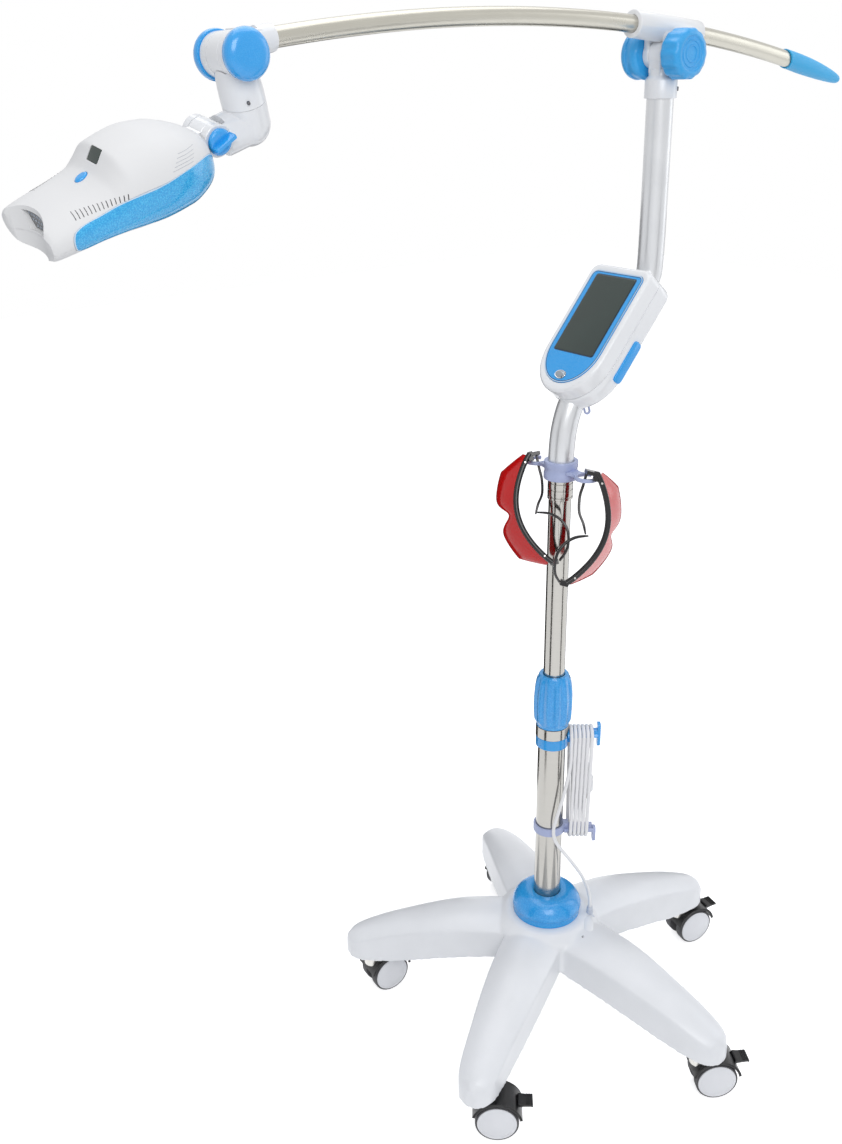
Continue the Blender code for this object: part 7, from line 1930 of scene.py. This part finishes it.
screen_mesh = glass_plate("brow_screen", 0.0061, 0.0084, 0.001, -0.003, 0.001)
piece(
    "brow_screen", screen_mesh, head_place @ screen_place, display_glass, "head",
    ["head_screen"],
)
brow_key_rows = [
    (0, -0.006), (0, 0.0002), (0.0003, 0.0008), (0.001, 0.0013), (0.0019, 0.0016), (0.003, 0.0016)
]
brow_key = skinned("brow_key", oval_rings(brow_key_rows, 0.0062, 0.0046))
for point in brow_key.vertices:
    if point.co.z > 0:
        point.co.z += 0.0006 - 0.25 * point.co.x
brow_key.update()
piece(
    "brow_key", brow_key, head_place @ key_place, cap_blue, "head_button_body",
    ["head_button"],
)


def shell_side(x, z):
    """How far out the head's skin lies at a place on its side."""
    at = x / head_length
    rise = head_crown * eased(head_shares, 2, at) - head_belt
    s = min(1, (z - head_belt) / rise) ** (1 / roof_power)
    return head_half * eased(head_shares, 1, at) * math.sqrt(max(0, 1 - s * s)) ** side_power


def slot_line(start, end, half_width, proud, deep, side):
    """A thin bar set into the skin of the shell between two places on its side. Its colour is the painted
    shade of a fine slot there.
    """
    over = Vector((end[1] - start[1], 0, start[0] - end[0])).normalized() * half_width
    rings = []
    for i in range(9):
        x = start[0] + (end[0] - start[0]) * i / 8
        z = start[1] + (end[1] - start[1]) * i / 8
        y = shell_side(x, z)
        corners = ((1, y + proud), (-1, y + proud), (-1, y - deep), (1, y - deep))
        rings.append([(x + over.x * way, side * out, z + over.z * way) for way, out in corners])
    return skinned("slot_line", rings)


# The vent slots are dark bars, not openings. Their near-black is painted shade standing for the dark inside
# of each slot.
vent_painted_shade = moulded("vent_painted_shade", (0.012, 0.012, 0.014), 0.6)
# The rear grooves are grey bars on the white shell. Their grey is painted shade standing for the shadow in
# each groove.
groove_painted_shade = moulded("groove_painted_shade", (0.5, 0.52, 0.55), 0.4)
for label, side in (("near", 1), ("far", -1)):
    vents = []
    for i in range(14):
        start = (0.1602 - 0.0036 * i, 0.0034)
        end = (0.1585 - 0.0036 * i, 0.0074)
        vents.append(slot_line(start, end, 0.00045, 0.00012, 0.0012, side))
    vent_mesh = merged("vent_slots", vents)
    piece(f"vent_slots_{label}", vent_mesh, head_place, vent_painted_shade, "head")
    grooves = []
    for i in range(5):
        start = (0.0665 - 0.003 * i, 0.008 + 0.0024 * i)
        end = (0.043 - 0.0022 * i, 0.0068 + 0.0022 * i)
        grooves.append(slot_line(start, end, 0.00025, 0.00008, 0.0008, side))
    groove_mesh = merged("rear_grooves", grooves)
    piece(f"rear_grooves_{label}", groove_mesh, head_place, groove_painted_shade, "head")

# The light in the scoop: a dark glass window in front of a board with rows of diodes.
glass_coat = {"Coat_Weight": 0.6, "Coat_Roughness": 0.03}
lamp_glass = moulded("lamp_glass", (0.02, 0.024, 0.03), 0.08, 400.0, 0.02, 0.08, 0.4, **glass_coat)
diode_clear = moulded("diode_clear", (0.26, 0.3, 0.36), 0.15, Coat_Weight=0.6)
window_front = 0.1763
glass_rings = []
for x, shrink in ((0.166, 0), (window_front - 0.0004, 0), (window_front, 0.0004)):
    far_half = [(x, shrink - 0.011, -0.0125 + shrink), (x, shrink - 0.019, 0.003 - shrink)]
    glass_rings.append(far_half + [(x, -y, z) for x, y, z in reversed(far_half)])
light_glass = skinned("light_glass", glass_rings)
board_slab = slab("light_board", (0.1602, -0.0237, -0.0155), (0.1688, 0.0237, 0.004))
window_mesh = merged("light_window", [light_glass, board_slab])
piece("light_window", window_mesh, head_place, lamp_glass, "head", ["light_module"])
dome_rows = [(0, 0.001), (0.0008, 0.0008), (0.0014, 0.0003), (0.0015, -0.0006), (0, -0.0006)]
dome = lathe("diode", dome_rows, 20)
diodes = []
for row, level in enumerate((-0.0095, -0.0048, -0.0001)):
    count = 3 + row * 2
    for i in range(count):
        spot = (window_front - 0.0002, (i - (count - 1) / 2) * 0.0047, level)
        diodes.append((dome, placed(spot, (1, 0, 0), (0, 0, 1))))
piece("light_diodes", merged("light_diodes", diodes), head_place, diode_clear, "head")
